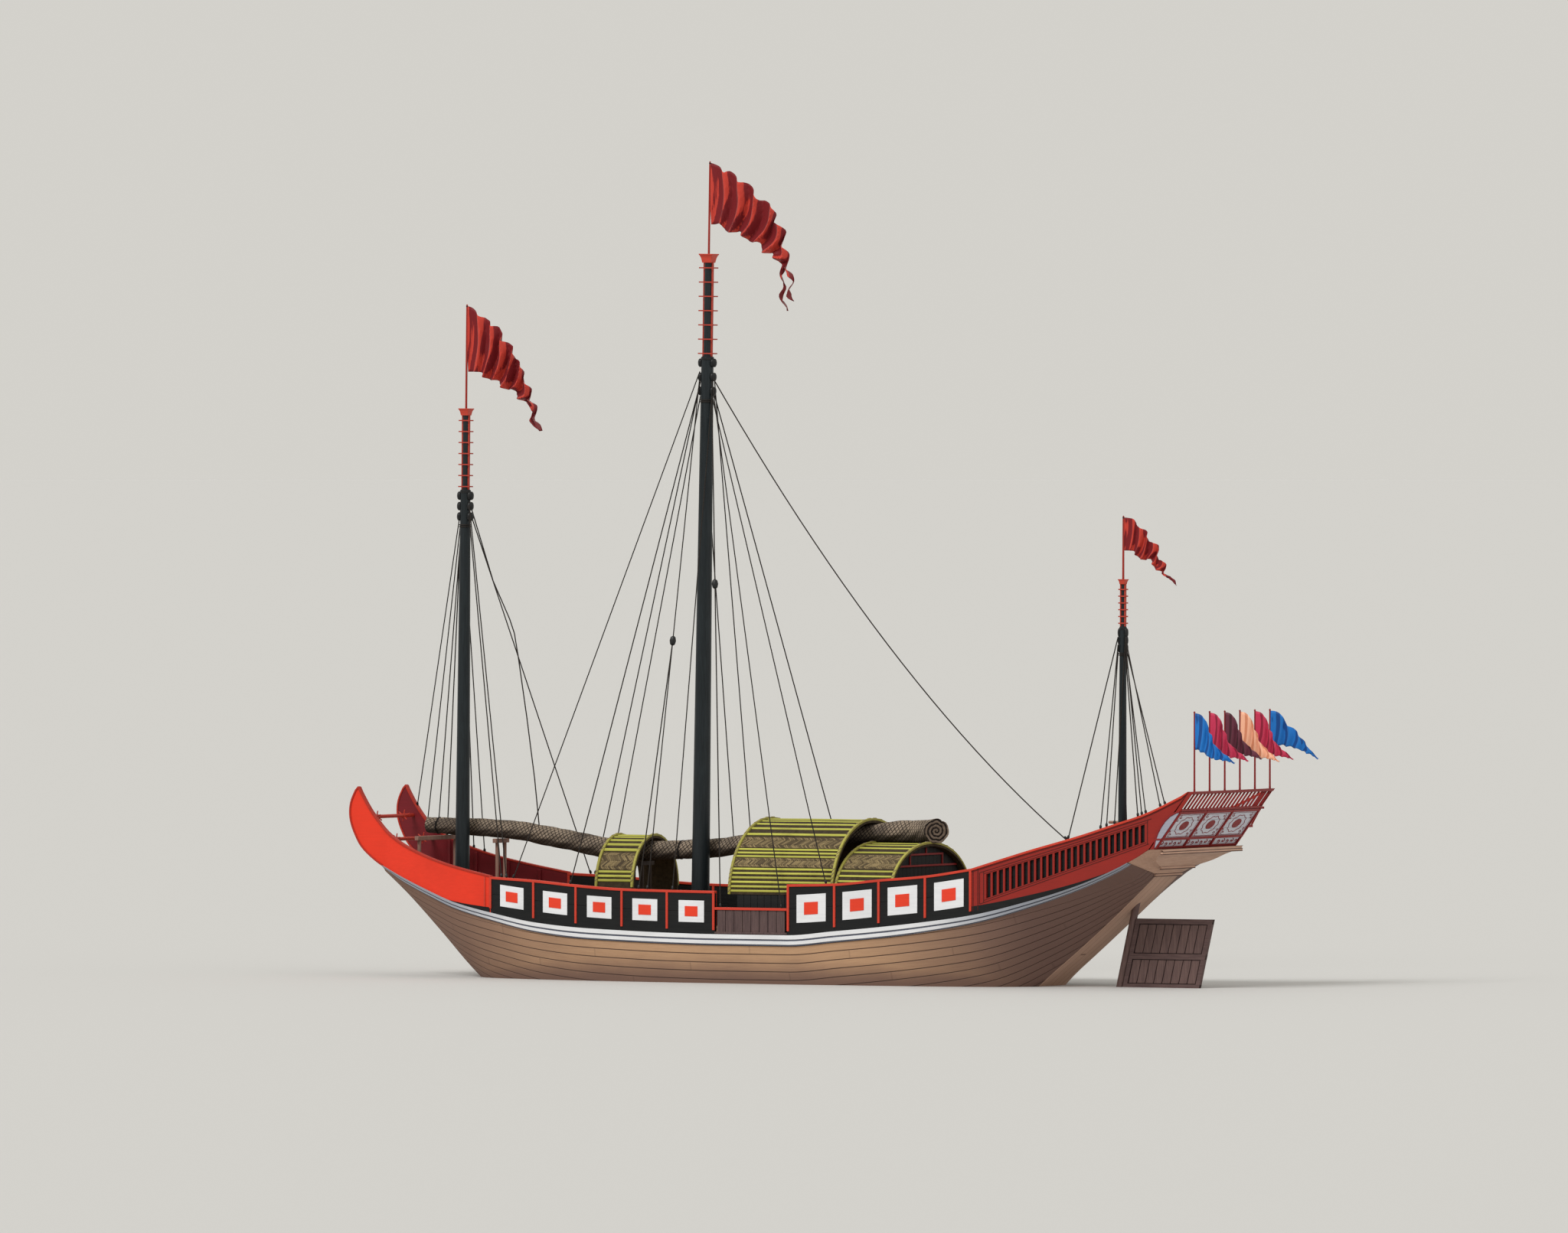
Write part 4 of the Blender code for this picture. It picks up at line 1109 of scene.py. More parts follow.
@dataclass
class Panels(SideWork):
    """One run of framed panels with their squares."""

    name: str
    square: tuple[float, float]
    centre: tuple[float, float]
    lift: float = 0.02
    foot: float = 0.11
    step: float = 0.28

    def slab(
        self, make: MeshMaker, start: float, end: float, low: Callable[[float], float],
        high: Callable[[float], float], inner: float, outer: float, finish: Any,
    ) -> None:
        """Adds a board that follows the ship's side.

        Args:
            make: the mesh to add to.
            start: its fore end in x.
            end: its aft end in x.
            low: its lower edge at x.
            high: its upper edge at x.
            inner: how far its inner face stands outside the wall's outer face.
            outer: the same for its outer face.
            finish: what it is dressed in.
        """
        loops = []
        for x in spaced(start, end, self.step):
            loops.append(self.section(x, inner, outer, low(x), high(x)))
        make.loft(loops, finish)

    def build(self) -> None:
        """Makes the boards, then the frame, then the squares."""
        lines = LINES.rails[self.name]
        deck, rail = LINES.deck, lines.read
        posts = [row[0] for row in lines.table]
        start, end = posts[0], posts[-1]
        middle = lambda x: deck(x) + 0.52 * (rail(x) - deck(x))
        boards = MeshMaker()
        for a, b in zip(posts, posts[1:]):
            self.slab(boards, a + 0.001, b - 0.001, deck, lambda x: middle(x) - 0.004, -WALL, 0.0, BLACK)
            self.slab(
                boards, a + 0.001, b - 0.001, lambda x: middle(x) + 0.004, lambda x: rail(x) - 0.05, -WALL,
                0.0, BLACK,
            )
            self.slab(
                boards, a + 0.06, b - 0.06, lambda x: middle(x) - 0.03, lambda x: middle(x) + 0.03,
                -WALL + 0.01, -0.012, BLACK,
            )
        node = f"{self.name}_bulwark_{self.word}"
        dress(boards.build(node + "_boards", bevel=0.006), "black_paint", node)
        frame_bars = MeshMaker()
        half = RAIL / 2
        for x in posts:
            x = min(max(x, start + half), end - half)
            self.slab(
                frame_bars, x - half, x + half, lambda p: deck(p) + self.foot, lambda p: rail(p) - 0.06,
                -0.01, 0.03, RAIL_RED,
            )
            self.slab(
                frame_bars, x - half, x + half, lambda p: deck(p) + 0.005, lambda p: rail(p) - 0.06,
                -WALL - 0.025, -WALL + 0.01, RAIL_RED,
            )
        self.slab(frame_bars, start, end, lambda p: rail(p) - RAIL, rail, -WALL - 0.03, 0.03, RAIL_RED)
        dress(frame_bars.build(node + "_frame", bevel=0.010), "red_paint")
        squares = MeshMaker()
        for a, b in zip(posts, posts[1:]):
            x = (a + b) / 2 + 0.02
            for (long, tall), out, finish in ((self.square, 0.014, PALE), (self.centre, 0.026, CENTRE_RED)):
                height = lambda p: deck(p) + self.lift + 0.5 * (rail(p) - deck(p))
                self.slab(
                    squares, x - long / 2, x + long / 2, lambda p: height(
                        p
                    ) - tall / 2, lambda p: height(p) + tall / 2,
                    -0.01, out, finish,
                )
        dress(squares.build(node + "_squares", bevel=0.004, segments=1), "gallery_grey")


@dataclass
class Gangway(SideWork):
    """The low gate of upright boards amidships."""

    boards: int = 8

    def build(self) -> None:
        """Makes the boards and their two rails."""
        make = MeshMaker()
        chance = random.Random(11 + self.side)
        wide = (GATE_AFT - GATE_FORE - 0.14) / self.boards
        for k in range(self.boards):
            a = GATE_FORE + 0.07 + k * wide
            b = a + wide
            shift = chance.uniform(-0.004, 0.004)
            y0, y1 = self.side * (LINES.beam(a) - 0.09), self.side * (LINES.beam(a) - 0.005 + shift)
            low = LINES.deck((a + b) / 2) + 0.002
            base = [(a + 0.006, y0, low), (b - 0.006, y0, low), (b - 0.006, y1, low), (a + 0.006, y1, low)]
            make.hexa(base, [(x, y, GATE_TOP - 0.06) for x, y, _ in base], GATE_WOOD)
        dress(
            make.build(f"gangway_{self.word}_boards", bevel=0.008), "dark_timber",
            f"gangway_board_{self.word}",
        )
        rails = MeshMaker()
        for low, high, out in ((GATE_TOP - RAIL, GATE_TOP, 0.03), (1.375, 1.43, 0.02)):
            places = spaced(GATE_FORE, GATE_AFT, 0.5)
            loops = [self.section(x, -WALL - 0.03, out, low, high) for x in places]
            rails.loft(loops, RAIL_RED if low > 2 else GATE_WOOD)
        dress(rails.build(f"gangway_{self.word}_rails", bevel=0.010), "red_paint")


GATE_WOOD = TimberFinish("gate_wood", (0.110, 0.068, 0.064), (0.062, 0.038, 0.038), 0.6, Grain.ALONG_Z)
WING_ROWS = (
    (-8.36, None, -8.36, 2.84),
    (-9.60, None, -9.60, 3.08),
    (-10.60, None, -10.60, 3.33),
    (-11.60, None, -11.50, 3.66),
    (-12.30, None, -12.15, 4.02),
    (-12.90, 3.53, -12.50, 4.37),
    (-13.18, 3.96, -12.75, 4.70),
    (-13.33, 4.40, -12.93, 4.99),
    (-13.31, 4.82, -13.02, 5.15),
    (-13.13, 5.22, -13.07, 5.26),
)


@dataclass
class BowWing(SideWork):
    """One of the two curved red wings that stand on either side of the bow."""

    across: int = 10
    steps: int = 5
    edge: float = 0.05
    strip_start: float = -9.8

    def rows(self) -> list[tuple[Vector, Vector]]:
        """Returns the low and the top point of each section, as (x, z)."""
        table = [(x, LINES.deck(x) if z is None else z, u, v) for x, z, u, v in WING_ROWS]
        found = []
        for i in range(len(table) - 1):
            for step in range(self.steps):
                x, z, u, v = (eased(column, i, step / self.steps) for column in zip(*table))
                found.append((Vector((max(x, CAD_BOX[0].x + 0.002), z)), Vector((u, v))))
        last = table[-1]
        return found + [(Vector(last[:2]), Vector(last[2:]))]

    def skin(self, make: MeshMaker, rows: Sequence[tuple[Vector, Vector]], low: float, high: float,
             inner: float, outer: float, finish: Callable[[int], Any]) -> None:
        """Adds a closed slab between two shares of the wing's height.

        Args:
            make: the mesh to add to.
            rows: the wing's sections.
            low: share of the height that it starts at.
            high: share that it ends at.
            inner: its inner face, outside the wing's outer face.
            outer: its outer face, the same way.
            finish: gives the finish of the outer faces by section.
        """
        places = [low + (high - low) * i / self.across for i in range(self.across + 1)]
        faces = []
        for offset in (outer, inner):
            grid = []
            for foot, top in rows:
                y = LINES.beam(max(foot.x, STEM_X)) + offset
                spots = [foot.lerp(top, share) for share in places]
                grid.append([(spot.x, self.side * y, spot.y) for spot in spots])
            faces.append([make.add(row) for row in grid])
        out, back = faces
        last = len(rows) - 1
        for r in range(last):
            for c in range(self.across):
                make.face((out[r][c], out[r][c + 1], out[r + 1][c + 1], out[r + 1][c]), finish(r))
                make.face((back[r][c], back[r + 1][c], back[r + 1][c + 1], back[r][c + 1]), CRIMSON)
            for c in (0, self.across):
                make.face((out[r][c], out[r + 1][c], back[r + 1][c], back[r][c]), finish(r))
        for r in (0, last):
            for c in range(self.across):
                make.face((out[r][c], back[r][c], back[r][c + 1], out[r][c + 1]), finish(r))

    def build(self) -> None:
        """Makes the wing, its cap, its posts and the black strip at its foot."""
        rows = self.rows()
        make = MeshMaker()
        self.skin(make, rows, 0.0, 1.0, -WALL, 0.0, lambda r: RED)
        dress(make.build(f"wing_{self.word}_boards"), "red_paint", f"bow_wing_{self.word}")
        trim = MeshMaker()
        self.edging(trim, rows)
        self.posts(trim)
        dress(trim.build(f"wing_{self.word}_trim", bevel=0.008), "red_paint")
        self.strip()

    def edging(self, make: MeshMaker, rows: Sequence[tuple[Vector, Vector]]) -> None:
        """Runs a capping along the top edge and down the fore edge."""
        path = [top for _, top in rows]
        path += [foot for foot, _ in reversed(rows) if foot.x <= -12.25][1:]
        loops = []
        for i, spot in enumerate(path):
            run = (path[min(i + 1, len(path) - 1)] - path[max(i - 1, 0)]).normalized()
            off = Vector((-run.y, run.x)) * self.edge / 2
            y = LINES.beam(max(spot.x, STEM_X))
            ring = []
            for y_add, share in ((-WALL - 0.02, -1), (0.025, -1), (0.025, 1), (-WALL - 0.02, 1)):
                ring.append((
                    max(spot.x + off.x * share, CAD_BOX[0].x + 0.004), self.side * (y + y_add),
                    spot.y + off.y * share,
                ))
            loops.append(ring)
        make.loft(loops, EDGE_RED)

    def posts(self, make: MeshMaker) -> None:
        """Sets the two posts where the wing meets the first panel, and ribs inside the wing."""
        for x in (BOW_TURN + 0.02, BOW_TURN - 0.16):
            y = LINES.beam(x)
            low, high = LINES.deck(x) + 0.12, 2.80 if x > BOW_TURN else 2.83
            make.box(
                (x - 0.025, self.side * (y - 0.01), low), (x + 0.025, self.side * (y + 0.026), high),
                RAIL_RED,
            )
        for x, high in ((-9.2, 2.92), (-10.1, 3.13), (-11.0, 3.40), (-11.75, 3.72)):
            y = LINES.beam(x) - WALL
            low = LINES.deck(x) + 0.01
            make.box(
                (x - 0.04, self.side * (y - 0.06), low), (x + 0.04, self.side * (y + 0.01), high), CRIMSON,
            )

    def strip(self) -> None:
        """Adds the black strip under the red boards, which narrows towards the stem."""
        make = MeshMaker()
        loops = []
        for x in spaced(self.strip_start, BOW_TURN, 0.15):
            share = (x - self.strip_start) / (BOW_TURN - self.strip_start)
            low = LINES.deck(x)
            loops.append(self.section(x, -0.01, 0.012, low, low + 0.006 + 0.13 * share))
        make.loft(loops, BLACK)
        dress(make.build(f"wing_{self.word}_strip"), "black_paint")


EDGE_RED = PaintFinish("edge_red", (0.420, 0.028, 0.014), (0.26, 0.02, 0.012), 0.45)


GROOVE_RED = PaintFinish("groove_red", (0.075, 0.010, 0.008), (0.050, 0.008, 0.007), 0.6)


@dataclass
class PoopSide(SideWork):
    """The pierced bulwark beside the quarterdeck and the poop."""

    slots: int = 26
    slot_start: float = 7.30
    slot_end: float = 11.95
    slot_wide: float = 0.125

    def head(self, x: float) -> float:
        """Returns the height of the wall's top."""
        return LINES.rails["poop"].read(x)

    def after(self, z: float) -> float:
        """Returns where the wall ends at a height, along the raked stern."""
        return stern_x(z) - 0.07

    def build(self) -> None:
        """Makes the wall in bands round its slots, then the pickets and the trim."""
        make = MeshMaker()
        bands = (
            ("strip", LINES.deck, self.strip_top),
            ("low", self.strip_top, self.slot_low),
            ("high", self.slot_high, lambda x: self.head(x) - 0.05),
        )
        for kind, low, high in bands:
            finish = BLACK if kind == "strip" else POOP_RED
            self.wall(make, POOP_START, POOP_END, low, high, -WALL, 0.0 if kind != "strip" else 0.004, finish)
        self.wall(
            make, POOP_START, self.slot_start - self.slot_wide / 2, self.slot_low, self.slot_high, -WALL, 0.0,
            POOP_RED,
        )
        self.wall(
            make, self.slot_end + self.slot_wide / 2, POOP_END, self.slot_low, self.slot_high, -WALL, 0.0,
            POOP_RED,
        )
        if self.side == STARBOARD:
            self.wall(
                make, 12.45, 13.30, lambda x: 4.85, lambda x: self.head(x) - 0.06, -WALL - 0.012, -WALL, PALE,
            )
        dress(make.build(f"poop_{self.word}_boards"), "red_paint", f"poop_bulwark_{self.word}")
        self.pickets()
        self.trim()

    def strip_top(self, x: float) -> float:
        """Returns the top of the black strip, which dies out near the stern."""
        share = max(0.0, min(1.0, (10.9 - x) / (10.9 - POOP_START)))
        return LINES.deck(x) + 0.004 + 0.24 * share**0.7

    def slot_low(self, x: float) -> float:
        """Returns the foot of the slots."""
        return max(self.slot(x, 2.47, 4.02), self.strip_top(x) + 0.05)

    def slot_high(self, x: float) -> float:
        """Returns the head of the slots."""
        return self.slot(x, 3.13, 4.50)

    def slot(self, x: float, first: float, last: float) -> float:
        """Returns a height at x that rises evenly from the first slot to the last."""
        return first + (x - self.slot_start) / (self.slot_end - self.slot_start) * (last - first)

    def wall(
        self, make: MeshMaker, start: float, end: float, low: Callable[
            [float], float,
        ], high: Callable[[float], float],
        inner: float, outer: float, finish: Any,
    ) -> None:
        """Adds a band of the wall that ends on the raked stern.

        Args:
            make: the mesh to add to.
            start: its fore end in x.
            end: its aft end in x, before the stern's rake cuts it.
            low: its lower edge at x.
            high: its upper edge at x.
            inner: its inner face, outside the wall's outer face.
            outer: its outer face, the same way.
            finish: what it is dressed in.
        """
        loops = []
        for x in spaced(start, end, 0.25):
            a, b = (self.side * (LINES.beam(x) + offset) for offset in (inner, outer))
            bottom, top = low(x), high(x)
            u, v = min(x, self.after(bottom)), min(x, self.after(top))
            if u < x and v < x and loops and abs(loops[-1][0][0] - u) < 1e-4:
                continue
            loops.append([(u, a, bottom), (u, b, bottom), (v, b, top), (v, a, top)])
        make.loft(loops, finish)

    def pickets(self) -> None:
        """Sets the pickets between the slots and a black board behind them, painted shade that stands for the dark
        inside of the slots.
        """
        pitch = (self.slot_end - self.slot_start) / (self.slots - 1)
        make = MeshMaker()
        half = self.slot_wide / 2
        # black board behind the slots: painted shade for the inside seen through them
        self.wall(
            make, self.slot_start - half, self.slot_end + half, lambda x: self.slot_low(x) - 0.02,
            lambda x: self.slot_high(x) + 0.02, -WALL + 0.002, -WALL + 0.016, BLACK,
        )
        for k in range(self.slots - 1):
            x = self.slot_start + (k + 0.5) * pitch
            half = (pitch - self.slot_wide) / 2
            a, b = (self.side * (LINES.beam(x) + out) for out in (-0.045, -0.006))
            loops = []
            for u in (x - half, x + half):
                low, high = self.slot_low(u) - 0.01, self.slot_high(u) + 0.01
                loops.append([(u, a, low), (u, b, low), (u, b, high), (u, a, high)])
            make.loft(loops, POOP_RED)
        dress(make.build(f"poop_{self.word}_pickets"), "red_paint")

    def trim(self) -> None:
        """Adds the cap rail, the fore posts and the sunk lines round the slots."""
        make = MeshMaker()
        self.wall(
            make, POOP_START, POOP_END, lambda x: self.head(x) - 0.06, self.head, -WALL - 0.025, 0.03,
            RAIL_RED,
        )
        line = lambda start, end, low, wide: self.wall(
            make, start, end, low, lambda x: low(x) + wide, -0.01, 0.008, GROOVE_RED
        )
        line(POOP_START, POOP_END, lambda x: self.head(x) - 0.105, 0.016)
        line(7.04, 12.22, lambda x: self.slot_high(x) + 0.085, 0.016)
        line(7.04, 12.14, lambda x: self.slot_low(x) - 0.10, 0.016)
        line(7.16, 12.10, lambda x: self.slot_high(x) + 0.025, 0.012)
        line(7.16, 12.06, lambda x: self.slot_low(x) - 0.037, 0.012)
        for x in (7.04, 7.16, 12.10):
            self.wall(
                make, x - 0.008, x + 0.008, lambda p: self.slot_low(
                    p
                ) - 0.09, lambda p: self.slot_high(p) + 0.09,
                -0.01, 0.009, GROOVE_RED,
            )
        for x in (POOP_START + 0.045, POOP_START + 0.19):
            self.wall(
                make, x - 0.010, x + 0.010, lambda p: LINES.deck(p) + 0.10, lambda p: self.head(p) - 0.05,
                -0.01, 0.009, GROOVE_RED,
            )
        dress(make.build(f"poop_{self.word}_trim", bevel=0.008), "red_paint")


MAST_TIMBER = TimberFinish(
    "mast_timber", (0.012, 0.018, 0.021), (0.005, 0.008, 0.010), 0.42, Grain.ALONG_Z, 0.10,
)
CHEEK_BLACK = PaintFinish("cheek_black", (0.008, 0.009, 0.010), (0.028, 0.026, 0.024), 0.35)
STAFF_RED = PaintFinish("staff_red", (0.330, 0.030, 0.020), (0.200, 0.018, 0.014), 0.4, Grain.ALONG_Z)
LADDER_RED = PaintFinish("ladder_red", (0.420, 0.050, 0.030), (0.260, 0.030, 0.020), 0.45, Grain.ALONG_Z)
# each flag's second colour is the painted shade in its folds
FLAG_RED = SilkFinish("flag_red", (0.500, 0.042, 0.026), (0.165, 0.006, 0.009))
FLAG_BLUE = SilkFinish("flag_blue", (0.010, 0.155, 0.500), (0.005, 0.060, 0.240))
FLAG_CRIMSON = SilkFinish("flag_crimson", (0.520, 0.032, 0.085), (0.240, 0.010, 0.035))
FLAG_PLUM = SilkFinish("flag_plum", (0.120, 0.026, 0.045), (0.055, 0.012, 0.020))
FLAG_PEACH = SilkFinish("flag_peach", (0.880, 0.450, 0.290), (0.640, 0.240, 0.130))
DECK_TOP, POOP_TOP_Z = 3.05, 3.95


@dataclass(frozen=True)
class MastSize:
    """Where a mast stands, how its parts taper, and how its blocks and lines hang below the hounds."""

    name: str
    x: float
    y: float
    rake: float
    foot_r: float
    hound_r: float
    hounds: float
    pole_r: float
    cap: float
    staff: float
    hoist: float
    rungs: int
    knob: float
    gap: float
    lines: float
    spread: float
    wrap: float

    @property
    def foot(self) -> float:
        """Returns the height of its foot."""
        return POOP_TOP_Z - 0.08 if self.name == "mizzen" else LINES.deck(self.x) - 0.35

    @property
    def place(self) -> Matrix:
        """Returns the turn and shift that rake it about its foot."""
        return Matrix.Translation((self.x, self.y, self.foot)) @ Matrix.Rotation(math.atan(self.rake), 4, "Y")

    @property
    def half(self) -> float:
        """Returns half the distance between the masthead's two stiles."""
        return self.pole_r + 0.02


MASTS = {
    "fore": MastSize(
        "fore", -10.55, 0.0, 0.010, 0.21, 0.14, 13.50, 0.08, 15.62, 18.72, 1.85, 7, 0.86, 0.29, 0.30, 0.62,
        0.93,
    ),
    "main": MastSize(
        "main", -3.02, 0.0, 0.015, 0.26, 0.17, 17.20, 0.11, 19.85, 22.66, 1.70, 7, 0.86, 0.39, 0.36, 0.78,
        1.15,
    ),
    "mizzen": MastSize(
        "mizzen", 10.85, -1.50, 0.004, 0.12, 0.090, 9.83, 0.045, 11.03, 12.90, 0.90, 6, 0.52, 0.21, 0.24,
        0.42, 0.68,
    ),
}


def turned(place: Matrix, make: MeshMaker) -> MeshMaker:
    """Moves all of a mesh in the making by a matrix, and returns it."""
    make.points = [place @ point for point in make.points]
    return make


@dataclass
class Mast:
    """One mast with its cheek blocks, pole, ladder, cap and staff."""

    size: MastSize
    sides: int = 24
    shoulder: float = 0.05

    def build(self) -> None:
        """Makes the mast, then its masthead."""
        self.pole()
        self.head()

    def pole(self) -> None:
        """Makes the lower mast and the blocks under its hounds."""
        size = self.size
        up = size.hounds - size.foot
        make = MeshMaker()
        heights = [0.0, 0.3 * up, 0.62 * up, up - 1.32, up - 1.30, up - 1.1, up + self.shoulder]
        sizes = [size.foot_r - (size.foot_r - size.hound_r) * h / up for h in heights]
        make.tube([(0, 0, h) for h in heights], sizes, self.sides, MAST_TIMBER)
        make.tube([(0, 0, up - 0.04), (0, 0, up + 0.03)], size.hound_r + 0.014, self.sides, CHEEK_BLACK)
        dress(
            turned(size.place, make).build(f"{size.name}_mast_pole", bevel=0.006), "mast_black",
            f"{size.name}_mast",
        )
        blocks = MeshMaker()
        for k in range(3):
            z = up - 0.12 - size.gap * k
            for side in SIDES:
                self.knob(blocks, Vector((side * (size.hound_r + 0.02 * size.knob), 0, z)), size.knob)
        dress(turned(size.place, blocks).build(f"{size.name}_mast_blocks"), "mast_black")

    def knob(self, make: MeshMaker, middle: Vector, scale: float) -> None:
        """Adds one rounded block on the mast's side."""
        loops = []
        for i in range(1, 9):
            lift = math.pi * i / 9
            wide = math.sin(lift) ** 0.6
            ring = [(0.105 * wide * math.cos(t), 0.15 * wide * math.sin(t)) for t in around(14)]
            loops.append([middle + Vector((x * scale, y * scale, -0.125 * math.cos(lift))) for x, y in ring])
        make.loft(loops, CHEEK_BLACK)

    def head(self) -> None:
        """Makes the pole above the hounds with its ladder, cap and staff."""
        size = self.size
        up, top = size.hounds - size.foot, size.cap - size.foot
        pole = MeshMaker()
        pole.tube([(0, 0, up - 0.02), (0, 0, top + 0.02)], size.pole_r, 20, MAST_TIMBER)
        node = f"{size.name}_masthead"
        dress(turned(size.place, pole).build(f"{node}_pole"), "mast_black", node)
        ladder = MeshMaker()
        low, reach, deep = up + self.shoulder, 1.8 * size.pole_r + 0.04, size.half
        for side in SIDES:
            x = side * size.half
            ladder.box((x - 0.020, -0.034, low), (x + 0.020, 0.034, top + 0.02), LADDER_RED)
        for k in range(size.rungs):
            z = up + 0.12 + k * (top - up - 0.28) / (size.rungs - 1)
            for a, b in ((-deep, 0.012 - deep), (deep - 0.012, deep)):
                ladder.box((-reach, a, z), (reach, b, z + 0.035), LADDER_RED)
            for a, b in ((-reach, 0.012 - reach), (reach - 0.012, reach)):
                ladder.box((a, -deep, z + 0.002), (b, deep, z + 0.033), LADDER_RED)
        dress(turned(size.place, ladder).build(f"{node}_ladder", bevel=0.004, segments=1), "red_paint")
        self.cap(top)

    def cap(self, top: float) -> None:
        """Makes the flared cap and the flag's staff."""
        size = self.size
        make = MeshMaker()
        half = size.half + 0.015
        corners = ((-1, -1), (1, -1), (1, 1), (-1, 1))
        profile = ((0.0, 0.95), (0.2, 1.0), (0.55, 1.12), (0.8, 1.30), (0.9, 1.45), (1.0, 1.45))
        loops = [
            [(a * half * wide, b * half * wide, top + rise * 1.7 * half) for a, b in corners]
            for rise, wide in profile
        ]
        make.loft(loops, CAP_RED)
        dress(turned(size.place, make).build(f"{size.name}_cap", bevel=0.006), "red_paint")
        staff = MeshMaker()
        end = size.staff - size.foot
        path = [(0, 0, top + 0.02), (0, 0, end - 0.12), (0, 0, end - 0.02), (0, 0, end)]
        staff.tube(path, [0.032, 0.026, 0.024, 0.006], 12, STAFF_RED)
        staff.tube(
            [(0, 0, end - 0.10), (0, 0, end - 0.05), (0, 0, end - 0.01)], [0.022, 0.030, 0.010], 12,
            CHEEK_BLACK,
        )
        dress(turned(size.place, staff).build(f"{size.name}_staff"), "red_paint")


CAP_RED = PaintFinish("cap_red", (0.560, 0.060, 0.035), (0.36, 0.035, 0.020), 0.4)


@dataclass(frozen=True)
class FlagShape:
    """Upper and lower edge of a streaming flag, in hoists aft of and below its head.

    The tail follows the body: its two edges, or the middles of its two ribbons if it is forked.
    """

    top: Outline
    low: Outline
    tail: tuple[Outline, Outline] | None = None
    body: float = 1.0
    forked: bool = False
    sway: float = 0.065
    folds: float = 8.5
    # dark raises the painted fold shade, so that more of the cloth takes the dark colour
    dark: float = 0.76


FORE_FLAG = FlagShape(
    ((0.0, 0.0), (
        0.10, 0.045,
    ), (0.20, 0.15), (0.285, 0.18), (0.39, 0.24), (0.42, 0.30), (0.50, 0.31), (0.60, 0.43),
     (0.60, 0.52), (0.67, 0.55), (0.78, 0.61), (
         0.805, 0.71,
     ), (0.80, 0.79), (0.87, 0.82), (0.94, 0.92), (0.94, 1.08),
     (0.97, 1.13), (1.05, 1.23), (1.05, 1.35), (1.02, 1.41)),
    ((0.0, 0.99), (0.22, 1.0), (
        0.285, 1.07,
    ), (0.40, 1.12), (0.50, 1.12), (0.55, 1.19), (0.65, 1.26), (0.765, 1.25),
     (0.805, 1.335), (0.89, 1.42), (0.99, 1.445)),
    tail=((
        (1.02, 1.41), (1.07, 1.44), (1.14, 1.51), (1.14, 1.60), (1.12, 1.68), (1.16, 1.74), (1.22, 1.82),
        (1.25, 1.875),
    ),
          (
              (0.99, 1.445), (1.04, 1.46), (1.08, 1.54), (1.08, 1.62), (1.08, 1.69), (1.12, 1.76),
              (1.18, 1.84), (1.24, 1.885),
          )),
    body=0.78,
)
MAIN_FLAG = FlagShape(
    ((0.0, 0.0), (
        0.05, 0.015,
    ), (0.16, 0.06), (0.25, 0.155), (0.32, 0.13), (0.44, 0.19), (0.53, 0.31), (0.615, 0.32),
     (
         0.755, 0.39,
     ), (0.84, 0.54), (0.88, 0.61), (1.0, 0.62), (1.12, 0.70), (1.18, 0.82), (1.14, 0.96), (1.18, 0.99),
     (
         1.28, 1.025,
     ), (1.345, 1.12), (1.32, 1.24), (1.30, 1.335), (1.37, 1.43), (1.41, 1.52), (1.40, 1.615), (1.375, 1.72)),
    ((0.0, 1.0), (0.07, 1.0), (
        0.18, 0.99,
    ), (0.23, 1.07), (0.32, 1.13), (0.44, 1.13), (0.53, 1.12), (0.58, 1.18),
     (0.67, 1.27), (0.77, 1.30), (0.86, 1.29), (0.90, 1.37), (0.95, 1.46), (
         1.05, 1.475,
     ), (1.12, 1.475), (1.16, 1.54),
     (1.23, 1.615), (1.30, 1.65), (1.345, 1.72)),
    tail=((
        (1.375, 1.74), (1.46, 1.83), (1.51, 1.93), (1.46, 2.065), (1.46, 2.17), (1.51, 2.24), (1.53, 2.25),
    ),
          (
              (1.35, 1.74), (1.32, 1.83), (1.35, 1.96), (1.36, 2.05), (1.33, 2.16), (1.34, 2.22),
              (1.405, 2.33), (1.42, 2.41),
          )),
    body=0.80,
    forked=True,
)
MIZZEN_FLAG = FlagShape(
    ((0.0, 0.0), (
        0.15, 0.015,
    ), (0.33, 0.05), (0.38, 0.15), (0.43, 0.25), (0.58, 0.33), (0.76, 0.42), (0.78, 0.56),
     (
         0.80, 0.71,
     ), (0.93, 0.75), (1.11, 0.82), (1.15, 1.0), (1.11, 1.15), (1.13, 1.27), (1.23, 1.29), (1.38, 1.36),
     (1.40, 1.51), (1.36, 1.62)),
    ((0.0, 1.0), (
        0.305, 1.02,
    ), (0.37, 1.13), (0.53, 1.25), (0.70, 1.29), (0.84, 1.255), (0.93, 1.33), (0.98, 1.47),
     (1.09, 1.58), (1.23, 1.62), (1.31, 1.64)),
    tail=(((1.36, 1.62), (1.37, 1.68), (1.45, 1.745), (1.58, 1.78), (1.71, 1.87), (1.76, 2.05)),
          ((1.31, 1.64), (1.32, 1.71), (1.42, 1.81), (1.54, 1.85), (1.64, 1.92), (1.74, 2.06))),
    body=0.78,
    sway=0.06,
)
STERN_FLAG = FlagShape(
    ((0.0, 0.0), (
        0.14, 0.03,
    ), (0.26, 0.11), (0.32, 0.22), (0.40, 0.38), (0.43, 0.50), (0.51, 0.62), (0.53, 0.74),
     (0.61, 0.86), (0.68, 0.94), (0.80, 1.01), (0.88, 1.10), (0.98, 1.16), (1.07, 1.24), (1.20, 1.34)),
    ((0.0, 1.0), (
        0.09, 0.99,
    ), (0.17, 1.06), (0.26, 1.07), (0.34, 1.15), (0.42, 1.17), (0.48, 1.23), (0.57, 1.22),
     (0.65, 1.27), (0.74, 1.25), (0.84, 1.29), (0.91, 1.28), (1.00, 1.32), (1.08, 1.32), (1.19, 1.37)),
    sway=0.042,
    folds=5.0,
    dark=0.42,
)
